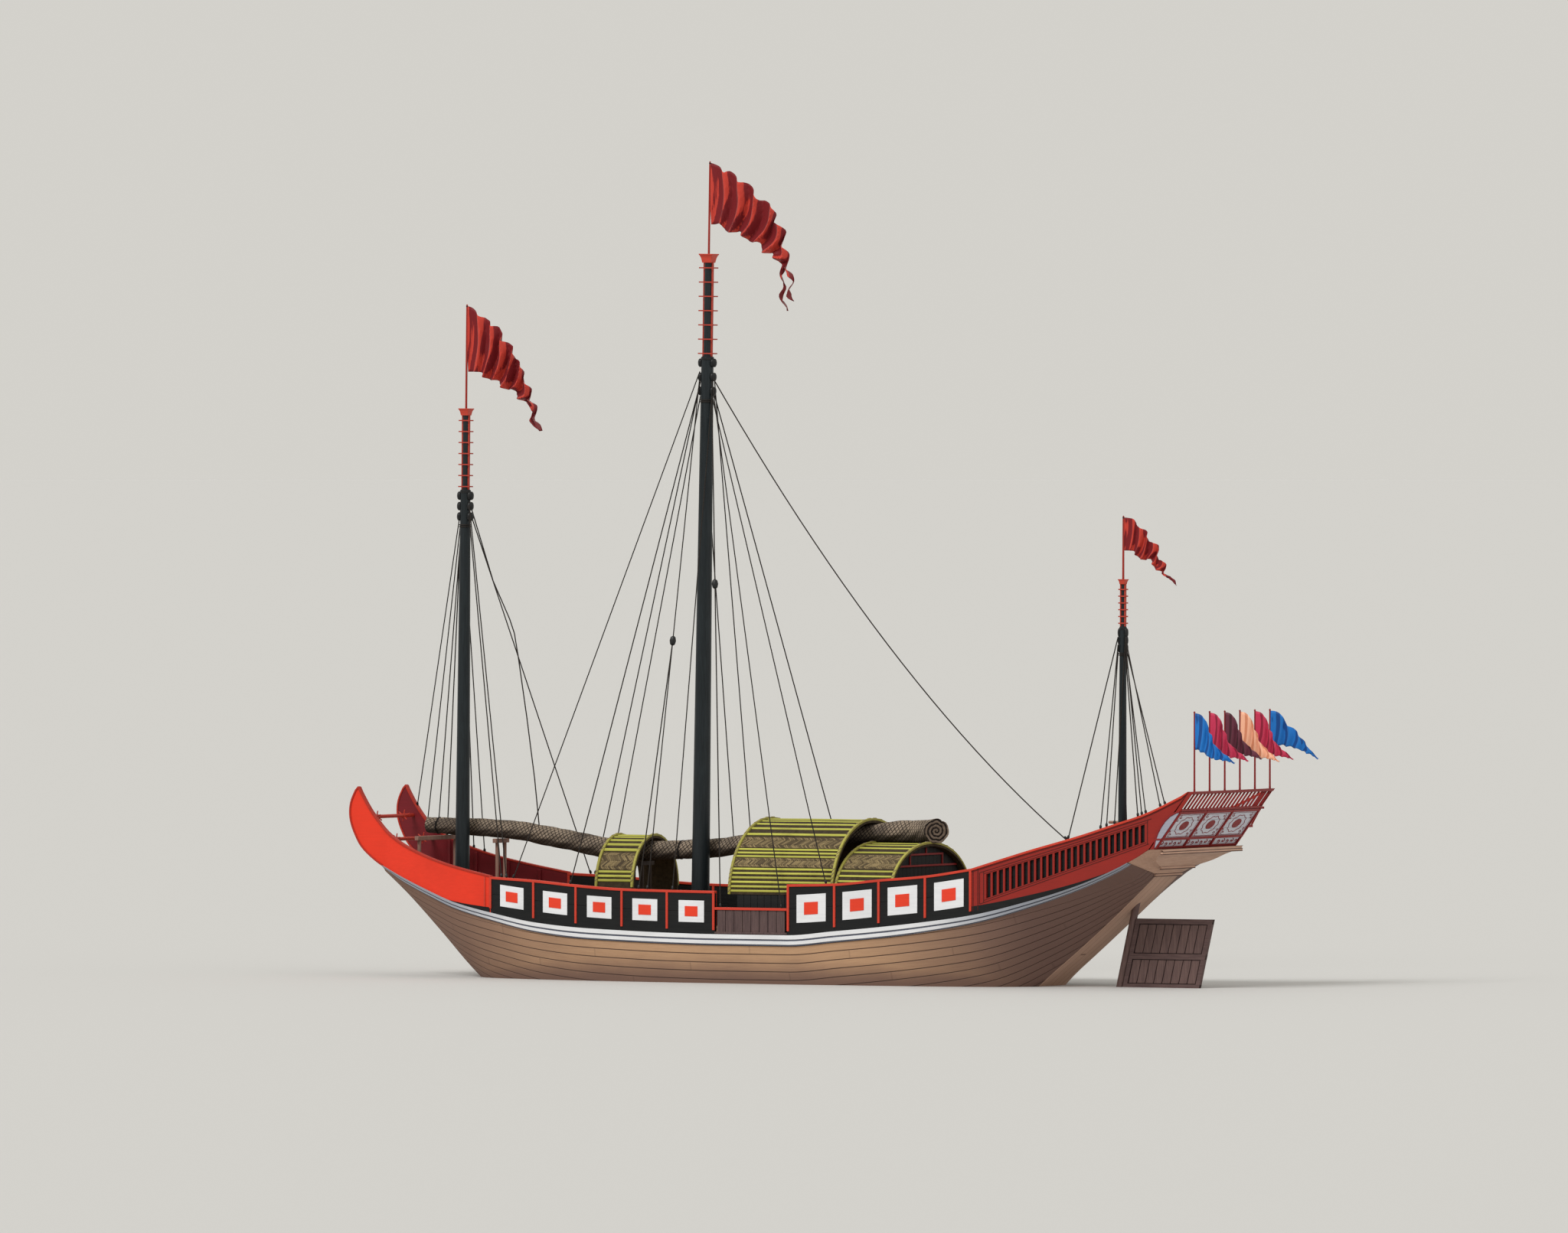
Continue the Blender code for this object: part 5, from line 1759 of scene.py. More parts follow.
BREEZE_FLAG = FlagShape(
    ((0.0, 0.0), (
        0.16, 0.02,
    ), (0.34, 0.11), (0.41, 0.24), (0.52, 0.40), (0.62, 0.45), (0.76, 0.52), (0.87, 0.62),
     (0.93, 0.75), (1.05, 0.83), (1.14, 0.95), (1.20, 1.07), (1.30, 1.15), (1.40, 1.25), (1.50, 1.34)),
    ((0.0, 0.94), (
        0.12, 0.93,
    ), (0.26, 0.99), (0.38, 0.96), (0.50, 1.02), (0.62, 1.00), (0.74, 1.06), (0.86, 1.06),
     (0.96, 1.13), (1.05, 1.14), (1.13, 1.21), (1.21, 1.21), (1.30, 1.28), (1.39, 1.30), (1.48, 1.37)),
    sway=0.042,
    folds=5.0,
    dark=0.42,
)


@dataclass
class Flag:
    """A silk flag that streams from its staff in soft folds."""

    name: str
    node: str
    finish: SilkFinish
    shape: FlagShape
    head: Vector
    hoist: float
    flat: tuple[float, float, float]
    phase: float = 0.0
    along: int = 84
    down: int = 20
    thick: float = 0.004

    def edge(self, points: Outline, share: float) -> Vector:
        """Returns a point of an edge at a share of its length, rounded between its corners."""
        run = [Vector(p) for p in points]
        steps = [(b - a).length for a, b in zip(run, run[1:])]
        left, i = share * sum(steps), 0
        while i < len(steps) - 1 and left > steps[i]:
            left -= steps[i]
            i += 1
        return eased(run, i, min(left / steps[i], 1.0))

    def wave(self, u: float, v: float) -> float:
        """Returns the fold's wave at a place, in radians; folds bow out aft between the two edges."""
        bow = math.sin(math.pi * v) * (0.35 + 0.3 * u)
        slip = 0.9 * noise.noise(Vector((3.0 * u, 1.2 * v, self.phase)))
        return math.tau * self.shape.folds * (u - 0.075 * bow) + slip

    def depth(self, u: float, v: float) -> float:
        """Returns how far the cloth swings out of its plane, from −1 to 1."""
        grow = min(1.0, 0.25 + 3.0 * u)
        slow = math.sin(math.tau * (1.1 * u + 0.2 * v) + self.phase)
        fine = 0.35 * math.sin(2.0 * self.wave(u, v) + 0.8)
        return grow * (0.9 * math.sin(self.wave(u, v)) + fine) + 0.8 * u * slow

    def shade(self, u: float, v: float) -> float:
        """Returns how much painted fold shade a place takes, from 0 to 1."""
        near = 0.34 * math.sin(2.0 * self.wave(u, v) + 1.0 + 2.2 * v)
        lean = 0.45 * (noise.noise(Vector((9.0 * u, 2.0 * v, self.phase + 4.0))))
        body = self.shape.body
        tail = 0.5 * max(0.0, u - body + 0.06) / (1.06 - body)
        return self.shape.dark + 0.5 * math.sin(self.wave(u, v) - 0.9) + near + lean + tail

    def spot(self, u: float, v: float, upper: bool) -> Vector:
        """Returns a place of the cloth, in hoists.

        Args:
            u: share of the way from the staff to the tail's end.
            v: share of the way from the upper edge to the lower edge.
            upper: whether the place belongs to the upper one of two ribbons.

        Returns:
            How far aft of and below the head it lies.
        """
        shape = self.shape
        if u <= shape.body:
            share = u / shape.body
            return self.edge(shape.top, share).lerp(self.edge(shape.low, share), v)
        share = (u - shape.body) / (1.0 - shape.body)
        if not shape.forked:
            return self.edge(shape.tail[0], share).lerp(self.edge(shape.tail[1], share), v)
        ribbon = shape.tail[0 if upper else 1]
        middle = self.edge(ribbon, share)
        run = self.edge(ribbon, min(share + 0.02, 1.0)) - self.edge(ribbon, max(share - 0.02, 0.0))
        across = Vector((-run.y, run.x)).normalized()
        wide = 0.036 * (1.0 - 0.5 * share)
        return middle + across * ((2 * v - (0 if upper else 1)) - 0.5) * wide

    def build(self) -> None:
        """Makes the cloth, its folds, the painted shade of its folds and its thickness."""
        middle = self.down // 2
        columns = [(j / self.down, True) for j in range(middle + 1)]
        columns += [(j / self.down, False) for j in range(middle, self.down + 1)]
        make, ids, folds = MeshMaker(), [], []
        for i in range(self.along + 1):
            u = i / self.along
            row: list[int] = []
            for j, (v, half) in enumerate(columns):
                if j == middle + 1 and not (self.shape.forked and u > self.shape.body):
                    row.append(row[-1])
                    continue
                spot = self.spot(u, v, half)
                swing = self.depth(u, v) * self.shape.sway * self.hoist
                row += make.add([self.head + Vector((spot.x * self.hoist, swing, -spot.y * self.hoist))])
                folds.append(self.shade(u, v))
            ids.append(row)
        for i, (row, after) in enumerate(zip(ids, ids[1:])):
            for j in range(len(columns) - 1):
                if j != middle:
                    make.face((row[j], row[j + 1], after[j + 1], after[j]), self.finish)
        self.finished(make, folds)

    def finished(self, make: MeshMaker, folds: Sequence[float]) -> None:
        """Thickens the cloth and attaches it to the ship.

        Args:
            make: the cloth.
            folds: how much painted fold shade each point takes.
        """
        obj = make.build(self.name)
        obj.data.attributes.new("fold", "FLOAT", "POINT").data.foreach_set("value", folds)
        for face in obj.data.polygons:
            face.use_smooth = True
        solid = obj.modifiers.new("thickness", "SOLIDIFY")
        solid.thickness, solid.offset = self.thick, 0.0
        dress(obj, self.finish.name, self.node)
        wide, long, area = self.flat


class Rigs:
    """Masts and all flags."""

    MASTHEAD = (
        ("fore", FORE_FLAG, (1.85, 4.9, 4.9)),
        ("main", MAIN_FLAG, (1.70, 5.7, 5.2)),
        ("mizzen", MIZZEN_FLAG, (0.90, 2.65, 1.35)),
    )
    STERN = (FLAG_BLUE, FLAG_CRIMSON, FLAG_PLUM, FLAG_PEACH, FLAG_CRIMSON, FLAG_BLUE)

    def build(self) -> None:
        """Builds the masts, their flags and the six stern flags."""
        for name, shape, flat in self.MASTHEAD:
            size = MASTS[name]
            Mast(size).build()
            head = size.place @ Vector((0.028, 0, size.staff - size.foot - 0.05))
            Flag(
                f"{name}_flag_silk", f"{name}_flag", FLAG_RED, shape, head, size.hoist, flat, phase=size.x,
            ).build()
        for k, (finish, y) in enumerate(zip(self.STERN, STAFF_YS)):
            shape, hoist, flat = STERN_FLAG, 1.0 - 0.03 * (k % 3), (1.0, 1.7, 0.72)
            if k == 5:
                shape, hoist, flat = BREEZE_FLAG, 0.97, (1.0, 2.1, 0.90)
            Flag(
                f"stern_flag_silk_{k + 1}", f"stern_flag_{k + 1}", finish, shape, Vector(
                    (STAFF_X + 0.022, y, 7.55)
                ),
                hoist, flat, phase=1.3 * k + 0.4, along=60, down=12,
            ).build()


BATTEN = StripFinish("bamboo_batten", (0.500, 0.490, 0.085), (0.360, 0.350, 0.060))
WEAVE = StripFinish("herringbone", (0.270, 0.200, 0.095), (0.070, 0.050, 0.028), 0.7)
# dark mat under the battens: painted shade for the gaps between them
SHADED_WEAVE_BACK = TimberFinish("shaded_weave_back", (0.060, 0.042, 0.022), (0.035, 0.025, 0.014), 0.9, Grain.EVEN)
EDGE_RIB = StripFinish("edge_rib", (0.460, 0.430, 0.095), (0.320, 0.290, 0.060))
HOUSE_BLACK = PaintFinish("house_black", (0.008, 0.009, 0.010), (0.020, 0.019, 0.018), 0.6)
DARK_RED = PaintFinish("dark_red", (0.240, 0.014, 0.014), (0.170, 0.012, 0.012), 0.5, coat=0.05)
ROPE = RopeFinish("hemp", (0.030, 0.024, 0.020), (0.012, 0.010, 0.009))
PALE_ROPE = RopeFinish("pale_hemp", (0.330, 0.260, 0.170), (0.200, 0.150, 0.095))


class NodeTree:
    """A Geometry Nodes tree with named inputs, whose result is taken as a plain mesh."""

    NAME = ""
    INPUTS: dict[str, str] = {}

    def __init__(self) -> None:
        """Makes the group and its sockets, then its nodes."""
        self.tree = bpy.data.node_groups.new(self.NAME, "GeometryNodeTree")
        face = self.tree.interface
        face.new_socket("Geometry", in_out="OUTPUT", socket_type="NodeSocketGeometry")
        face.new_socket("Geometry", in_out="INPUT", socket_type="NodeSocketGeometry")
        self.ids = {}
        for name, kind in {**self.INPUTS, "Finish": "Material"}.items():
            self.ids[name] = face.new_socket(name, in_out="INPUT", socket_type="NodeSocket" + kind).identifier
        self.inlet, self.outlet = self.node("NodeGroupInput"), self.node("NodeGroupOutput")
        self.wire()

    def node(self, kind: str) -> Any:
        """Adds a node and returns it."""
        return self.tree.nodes.new(kind)

    def link(self, start: Any, end: Any) -> None:
        """Links an output to an input."""
        self.tree.links.new(start, end)

    def paint(self, last: Any) -> None:
        """Sets the finish on the last geometry and hands it out."""
        painted = self.node("GeometryNodeSetMaterial")
        self.link(last, painted.inputs[0])
        self.link(self.inlet.outputs["Finish"], painted.inputs["Material"])
        self.link(painted.outputs[0], self.outlet.inputs[0])

    def wire(self) -> None:
        """Adds the nodes between the group's input and output."""
        raise NotImplementedError

    def result(self, mesh: bpy.types.Mesh, values: dict[str, Any], finish: Any) -> bpy.types.Mesh:
        """Runs the tree on a mesh."""
        carrier = bpy.data.objects.new(self.NAME, mesh)
        bpy.context.scene.collection.objects.link(carrier)
        step = carrier.modifiers.new(self.NAME, "NODES")
        step.node_group = self.tree
        for name, value in {**values, "Finish": LOCKER.get(finish)}.items():
            step[self.ids[name]] = value
        return taken(carrier)


class WeaveTree(NodeTree):
    """Lays herringbone strips on a flat field and bends it onto an arch."""

    NAME = "woven_arch"
    INPUTS = {
        "Long": "Float", "Girth": "Float", "Rows": "Int", "Strips": "Int", "Half": "Float", "Crown": "Float",
        "Start": "Float", "Sweep": "Float", "Wide": "Float", "Lean": "Float", "Seed": "Int",
    }

    def sums(self, operation: str, *values: Any) -> Any:
        """Returns the result of a math node in the tree."""
        node = self.node("ShaderNodeMath")
        node.operation = operation
        for target, value in zip(node.inputs, values):
            if isinstance(value, bpy.types.NodeSocket):
                self.link(value, target)
            else:
                target.default_value = value
        return node.outputs[0]

    def wire(self) -> None:
        """Adds the nodes: field of strips, lean by row, real mesh, bend, finish."""
        inlet, make, link = self.inlet, self.node, self.link
        field, strip = make("GeometryNodeMeshGrid"), make("GeometryNodeMeshGrid")
        link(inlet.outputs["Long"], field.inputs["Size X"])
        link(inlet.outputs["Girth"], field.inputs["Size Y"])
        link(inlet.outputs["Strips"], field.inputs["Vertices X"])
        link(inlet.outputs["Rows"], field.inputs["Vertices Y"])
        tall = self.sums("DIVIDE", inlet.outputs["Girth"], self.sums("SUBTRACT", inlet.outputs["Rows"], 1.0))
        reach = self.sums("MULTIPLY", tall, 1.36)
        link(reach, strip.inputs["Size X"])
        link(inlet.outputs["Wide"], strip.inputs["Size Y"])
        strip.inputs["Vertices X"].default_value = 3
        strip.inputs["Vertices Y"].default_value = 2
        index = make("GeometryNodeInputIndex")
        row = self.sums("MODULO", index.outputs[0], inlet.outputs["Rows"])
        odd = self.sums("MODULO", row, 2.0)
        lean = self.sums(
            "MULTIPLY", self.sums("SUBTRACT", self.sums("MULTIPLY", odd, 2.0), 1.0), inlet.outputs["Lean"],
        )
        shift = make("FunctionNodeRandomValue")
        shift.data_type = "FLOAT"
        shift.inputs[2].default_value, shift.inputs[3].default_value = -0.05, 0.05
        link(inlet.outputs["Seed"], shift.inputs["Seed"])
        turn = make("ShaderNodeCombineXYZ")
        link(self.sums("ADD", lean, shift.outputs[1]), turn.inputs[2])
        copies, euler = make("GeometryNodeInstanceOnPoints"), make("FunctionNodeEulerToRotation")
        link(turn.outputs[0], euler.inputs[0])
        link(field.outputs["Mesh"], copies.inputs["Points"])
        link(strip.outputs["Mesh"], copies.inputs["Instance"])
        link(euler.outputs[0], copies.inputs["Rotation"])
        real = make("GeometryNodeRealizeInstances")
        link(copies.outputs[0], real.inputs[0])
        self.bend(real.outputs[0])

    def bend(self, mesh: Any) -> None:
        """Bends the flat field onto the arch, with a slight ripple along each strip.

        Args:
            mesh: the flat field's socket.
        """
        inlet, make, link = self.inlet, self.node, self.link
        place, parts = make("GeometryNodeInputPosition"), make("ShaderNodeSeparateXYZ")
        link(place.outputs[0], parts.inputs[0])
        share = self.sums("ADD", self.sums("DIVIDE", parts.outputs["Y"], inlet.outputs["Girth"]), 0.5)
        held = self.sums("MINIMUM", self.sums("MAXIMUM", share, 0.0), 1.0)
        angle = self.sums("ADD", inlet.outputs["Start"], self.sums("MULTIPLY", held, inlet.outputs["Sweep"]))
        half = self.sums("MULTIPLY", inlet.outputs["Long"], 0.5)
        x = self.sums(
            "MINIMUM", self.sums("MAXIMUM", parts.outputs["X"], self.sums("MULTIPLY", half, -1.0)), half,
        )
        ripple = self.sums(
            "MULTIPLY", self.sums("SINE", self.sums("MULTIPLY", parts.outputs["X"], 31.0)), 0.004,
        )
        grow = self.sums("ADD", ripple, 0.012)
        y = self.sums("MULTIPLY", self.sums("COSINE", angle), self.sums("ADD", inlet.outputs["Half"], grow))
        z = self.sums("MULTIPLY", self.sums("SINE", angle), self.sums("ADD", inlet.outputs["Crown"], grow))
        spot, move = make("ShaderNodeCombineXYZ"), make("GeometryNodeSetPosition")
        link(x, spot.inputs[0])
        link(self.sums("MULTIPLY", y, -1.0), spot.inputs[1])
        link(z, spot.inputs[2])
        link(mesh, move.inputs["Geometry"])
        link(spot.outputs[0], move.inputs["Position"])
        self.paint(move.outputs[0])

    def make(self, place: Point, values: dict[str, Any], finish: Any) -> bpy.types.Mesh:
        """Lays one woven field.

        Args:
            place: centre of the arch's foot line, half way along the field.
            values: the tree's named inputs.
            finish: what the strips are dressed in.

        Returns:
            The strips as one plain mesh.
        """
        mesh = self.result(bpy.data.meshes.new(self.NAME), values, finish)
        mesh.transform(Matrix.Translation(place))
        return mesh


WEAVER = WeaveTree()


@dataclass(frozen=True)
class ArchSize:
    """A barrel roof: its ends, half width, foot, crown and where its middle stands."""

    fore: float
    aft: float
    half: float
    foot: float
    crown: float
    y: float = 0.0

    def spot(self, x: float, angle: float, grow: float = 0.0) -> Vector:
        """Returns the point at an angle from the port foot, grown outwards."""
        y = self.y - (self.half + grow) * math.cos(angle)
        return Vector((x, y, self.foot + (self.crown - self.foot + grow) * math.sin(angle)))

    def girth(self, start: float, end: float) -> float:
        """Returns the length of the arch between two angles."""
        spots = [self.spot(0, start + (end - start) * i / 24) for i in range(25)]
        return sum((b - a).length for a, b in zip(spots, spots[1:]))


@dataclass
class MatRoof:
    """A barrel roof of matting between rows of bamboo battens."""

    name: str
    node: str
    size: ArchSize
    battens: Sequence[tuple[float, float, int]]
    weaves: Sequence[tuple[float, float]]
    legs: bool = False
    seed: int = 3
    cell: float = 0.17
    wide: float = 0.052

    def build(self) -> None:
        """Makes the inner skin, the woven fields, the battens and the edge ribs."""
        dress(self.skin().build(self.name + "_skin"), "matting", self.node)
        meshes = []
        size = self.size
        middle = ((size.fore + size.aft) / 2, size.y, size.foot)
        for k, (start, end) in enumerate(self.mirrored(self.weaves)):
            a, b = math.radians(start), math.radians(end)
            girth = size.girth(a, b)
            rows = max(2, round(girth / self.cell)) + 1
            strips = round((size.aft - size.fore) / self.wide * 0.88)
            values = {
                "Long": size.aft - size.fore - 0.02, "Girth": girth, "Rows": rows, "Strips": strips, "Half": size.half,
                "Crown": size.crown - size.foot, "Start": a, "Sweep": b - a, "Wide": self.wide * 0.80, "Lean": 0.82,
                "Seed": self.seed + k,
            }
            meshes.append(WEAVER.make(middle, values, WEAVE))
        dress(assemble(self.name + "_weave", meshes), "matting")
        dress(self.rods().build(self.name + "_battens"), "matting")
        dress(self.ribs().build(self.name + "_ribs", bevel=0.006, segments=1), "matting")

    def mirrored(self, spans: Sequence[tuple[float, ...]]) -> list[tuple[float, ...]]:
        """Returns the spans of one side with those of the other."""
        found = list(spans)
        for span in spans:
            if span[1] < 90:
                found.append((180 - span[1], 180 - span[0], *span[2:]))
            else:
                found[found.index(span)] = (span[0], 180 - span[0], *[2 * v for v in span[2:]])
        return found

    def skin(self) -> MeshMaker:
        """Returns the closed mat under the battens, painted dark to stand for the shade in the gaps between them."""
        make, size = MeshMaker(), self.size
        count, loops = 40, []
        for x in spaced(size.fore, size.aft, 0.4):
            ring = []
            for grow in (0.0, -0.06):
                arc = [size.spot(x, math.pi * i / count, grow) for i in range(count + 1)]
                if self.legs:
                    low = LINES.deck(x) + 0.003
                    arc = [Vector((x, arc[0].y, low))] + arc + [Vector((x, arc[-1].y, low))]
                ring += arc if grow == 0.0 else list(reversed(arc))
            loops.append(ring)
        make.loft(loops, SHADED_WEAVE_BACK)
        return make

    def rods(self) -> MeshMaker:
        """Returns the battens, each a split bamboo with joints."""
        make, size = MeshMaker(), self.size
        chance = random.Random(self.seed)
        for start, end, count in self.mirrored(self.battens):
            for i in range(int(count)):
                angle = math.radians(start + (end - start) * (i + 0.5) / count)
                wide = size.girth(math.radians(start), math.radians(end)) / count
                self.rod(make, angle, min(wide * 0.60, 0.105), chance)
        return make

    def rod(self, make: MeshMaker, angle: float, wide: float, chance: random.Random) -> None:
        """Adds one batten along the roof at an angle, arched across and a little uneven."""
        size = self.size
        half = wide / 2 / max(size.half, size.crown - size.foot)
        loops = []
        drift = chance.uniform(-0.004, 0.004)
        places = spaced(size.fore + 0.01, size.aft - 0.01, 0.24)
        for x in places:
            swell = 0.006 * math.sin(2.3 * x + 9 * drift * 100) + drift
            ring = []
            for share, grow in (
                (-1.0, 0.003), (-0.85, 0.016), (-0.4, 0.024), (0.4, 0.024), (0.85, 0.016), (1.0, 0.003),
            ):
                ring.append(size.spot(x, angle + half * share, grow + swell * 0.4))
            loops.append(ring)
        make.loft(loops, BATTEN)

    def ribs(self) -> MeshMaker:
        """Returns the ribs over both ends and the lashings beside them."""
        make, size = MeshMaker(), self.size
        count = 36
        for x in (size.fore + 0.035, size.aft - 0.035):
            loops = []
            for i in range(count + 1):
                angle = math.pi * i / count
                inner, outer = size.spot(x, angle, 0.0), size.spot(x, angle, 0.062)
                across = Vector((0.036, 0, 0))
                loops.append([inner - across, outer - across, outer + across, inner + across])
            make.loft(loops, EDGE_RIB)
        for start, end, number in self.mirrored(self.battens):
            for i in range(int(number)):
                angle = math.radians(start + (end - start) * (i + 0.5) / number)
                for x in (size.fore + 0.035, size.aft - 0.035):
                    spots = [
                        size.spot(x + dx, angle + da, 0.066) for dx, da in ((-0.03, -0.02), (0.03, 0.02))
                    ]
                    make.tube(spots, 0.012, 6, PALE_ROPE)
        return make


MAIN_ROOF = ArchSize(-0.85, 2.40, 2.36, 2.452, 4.47)
AFT_ROOF = ArchSize(2.42, 4.20, 2.33, 2.452, 3.84)
HATCH_ROOF = ArchSize(-5.90, -4.70, 1.30, 2.55, 3.95, 0.55)


class Deckhouse:
    """Low plank walls, the three mat roofs and the black gable aft."""

    FORE, AFT, HALF, TOP, WALL = -0.60, 4.05, 2.34, 2.45, 0.08

    def build(self) -> None:
        """Builds the house and its roofs."""
        self.walls()
        MatRoof(
            "main_roof", "main_mat_roof", MAIN_ROOF, ((1.0, 22.0, 6), (29.5, 39.0, 3), (50.0, 90.0, 5)),
            ((22.0, 29.5), (39.0, 50.0)), seed=5,
        ).build()
        MatRoof(
            "aft_roof", "aft_mat_roof", AFT_ROOF, ((1.0, 32.0, 5), (52.0, 90.0, 4)), ((32.0, 52.0),), seed=9,
        ).build()
        MatRoof(
            "hatch_roof", "hatch_mat", HATCH_ROOF, (
                (5.0, 20.0, 3), (42.0, 90.0, 5),
            ), ((20.0, 42.0),), legs=True, seed=13,
        ).build()
        self.gable()
        self.hatch_sides()

    def walls(self) -> None:
        """Makes the upright boards of the walls, open at the doorway."""
        make = MeshMaker()
        half = self.HALF
        for side in SIDES:
            a, b = side * half, side * (half - self.WALL)
            places = spaced(self.FORE, self.AFT, 0.22)
            for x0, x1 in zip(places, places[1:]):
                make.box((x0 + 0.004, a, LINES.deck(x0) + 0.003), (x1 - 0.004, b, self.TOP), HOUSE_BLACK)
        for x0, x1, gap in ((self.FORE, self.FORE + self.WALL, 0.45), (self.AFT - self.WALL, self.AFT, 0.0)):
            low = LINES.deck(x1) + 0.003
            edges = spaced(gap, half - self.WALL, 0.24)
            for y0, y1 in zip(edges, edges[1:]):
                for side in SIDES:
                    make.box((x0, side * (y0 + 0.003), low), (x1, side * (y1 - 0.003), self.TOP), HOUSE_BLACK)
        dress(make.build("house_walls", bevel=0.005, segments=1), "black_paint", "deckhouse")

    def gable(self) -> None:
        """Makes the gable of upright boards under the aft roof, with its rails."""
        size = AFT_ROOF
        make = MeshMaker()
        edges = spaced(-size.half + 0.062, size.half - 0.062, 0.23)
        for a, b in zip(edges, edges[1:]):
            tops = []
            for y in (a + 0.004, b - 0.004):
                share = min(1.0, abs(y) / (size.half - 0.061))
                tops.append(size.foot + (size.crown - 0.062 - size.foot) * math.sqrt(max(0.0, 1 - share**2)))
            if max(tops) - size.foot < 0.05:
                continue
            low = size.foot
            near, far = a + 0.004, b - 0.004
            fore, aft = 3.972, 4.03
            base = [(fore, near, low), (aft, near, low), (aft, far, low), (fore, far, low)]
            heads = [(fore, near, tops[0]), (aft, near, tops[0]), (aft, far, tops[1]), (fore, far, tops[1])]
            make.hexa(base, heads, HOUSE_BLACK)
        dress(make.build("gable_boards", bevel=0.005, segments=1), "black_paint", "aft_gable")
        rails = MeshMaker()
        for z, cut in ((3.56, 0.98), (3.25, 9.0)):
            reach = (size.half - 0.08) * math.sqrt(
                max(0.0, 1 - ((z - size.foot) / (size.crown - 0.09 - size.foot)) ** 2)
            )
            reach = min(reach, cut)
            rails.box((4.025, -reach, z - 0.027), (4.075, reach, z + 0.027), DARK_RED)
        for y, low, high in ((-0.955, 3.25, 3.56), (0.955, 3.25, 3.56), (0.0, 3.56, size.crown - 0.10)):
            rails.box((4.025, y - 0.025, low), (4.068, y + 0.025, high), DARK_RED)
        dress(rails.build("gable_rails", bevel=0.008), "red_paint")

    def hatch_sides(self) -> None:
        """Adds the battens down the shelter's straight legs."""
        size, make = HATCH_ROOF, MeshMaker()
        for side in SIDES:
            y = size.y + side * size.half
            for z in (1.75, 1.97, 2.19, 2.41):
                make.box(
                    (size.fore + 0.02, y, z - 0.075), (size.aft - 0.02, y + side * 0.038, z + 0.075), BATTEN,
                )
        dress(make.build("hatch_roof_sides", bevel=0.018), "matting")


@dataclass(frozen=True)
class RollSize:
    """A rolled sail: x, y, z and radius at places along it."""

    table: Table

    def read(self, x: float) -> tuple[float, float, float]:
        """Returns y, z and radius at x."""
        lines = Lines(self.table)
        return lines.read(x, 1), lines.read(x, 2), lines.read(x, 3)


FORE_ROLL = RollSize((
    (
        -11.95, 0.60, 4.17, 0.23,
    ), (-9.65, 0.60, 4.09, 0.26), (-7.60, 0.60, 3.82, 0.29), (-6.20, 0.60, 3.58, 0.30),
    (-5.36, 0.60, 3.50, 0.29),
))
MAIN_ROLL = RollSize((
    (
        -5.24, 0.60, 3.52, 0.27,
    ), (-3.00, 0.61, 3.62, 0.27), (-0.85, 0.35, 3.90, 0.26), (2.38, 0.15, 4.105, 0.26),
    (2.75, 0.15, 4.145, 0.29), (4.50, 0.15, 4.19, 0.345),
))
ROLL = WeaveFinish("rolled_mat", (0.290, 0.225, 0.165), (0.018, 0.013, 0.011))
ROLL_END = TimberFinish("roll_end", (0.230, 0.175, 0.130), (0.130, 0.098, 0.075), 0.9, Grain.EVEN)
# nearly black: painted shade in the gaps between the windings at the roll's ends
ROLL_GAP_SHADE = TimberFinish("roll_gap_shade", (0.022, 0.016, 0.013), (0.014, 0.010, 0.009), 0.9, Grain.EVEN)


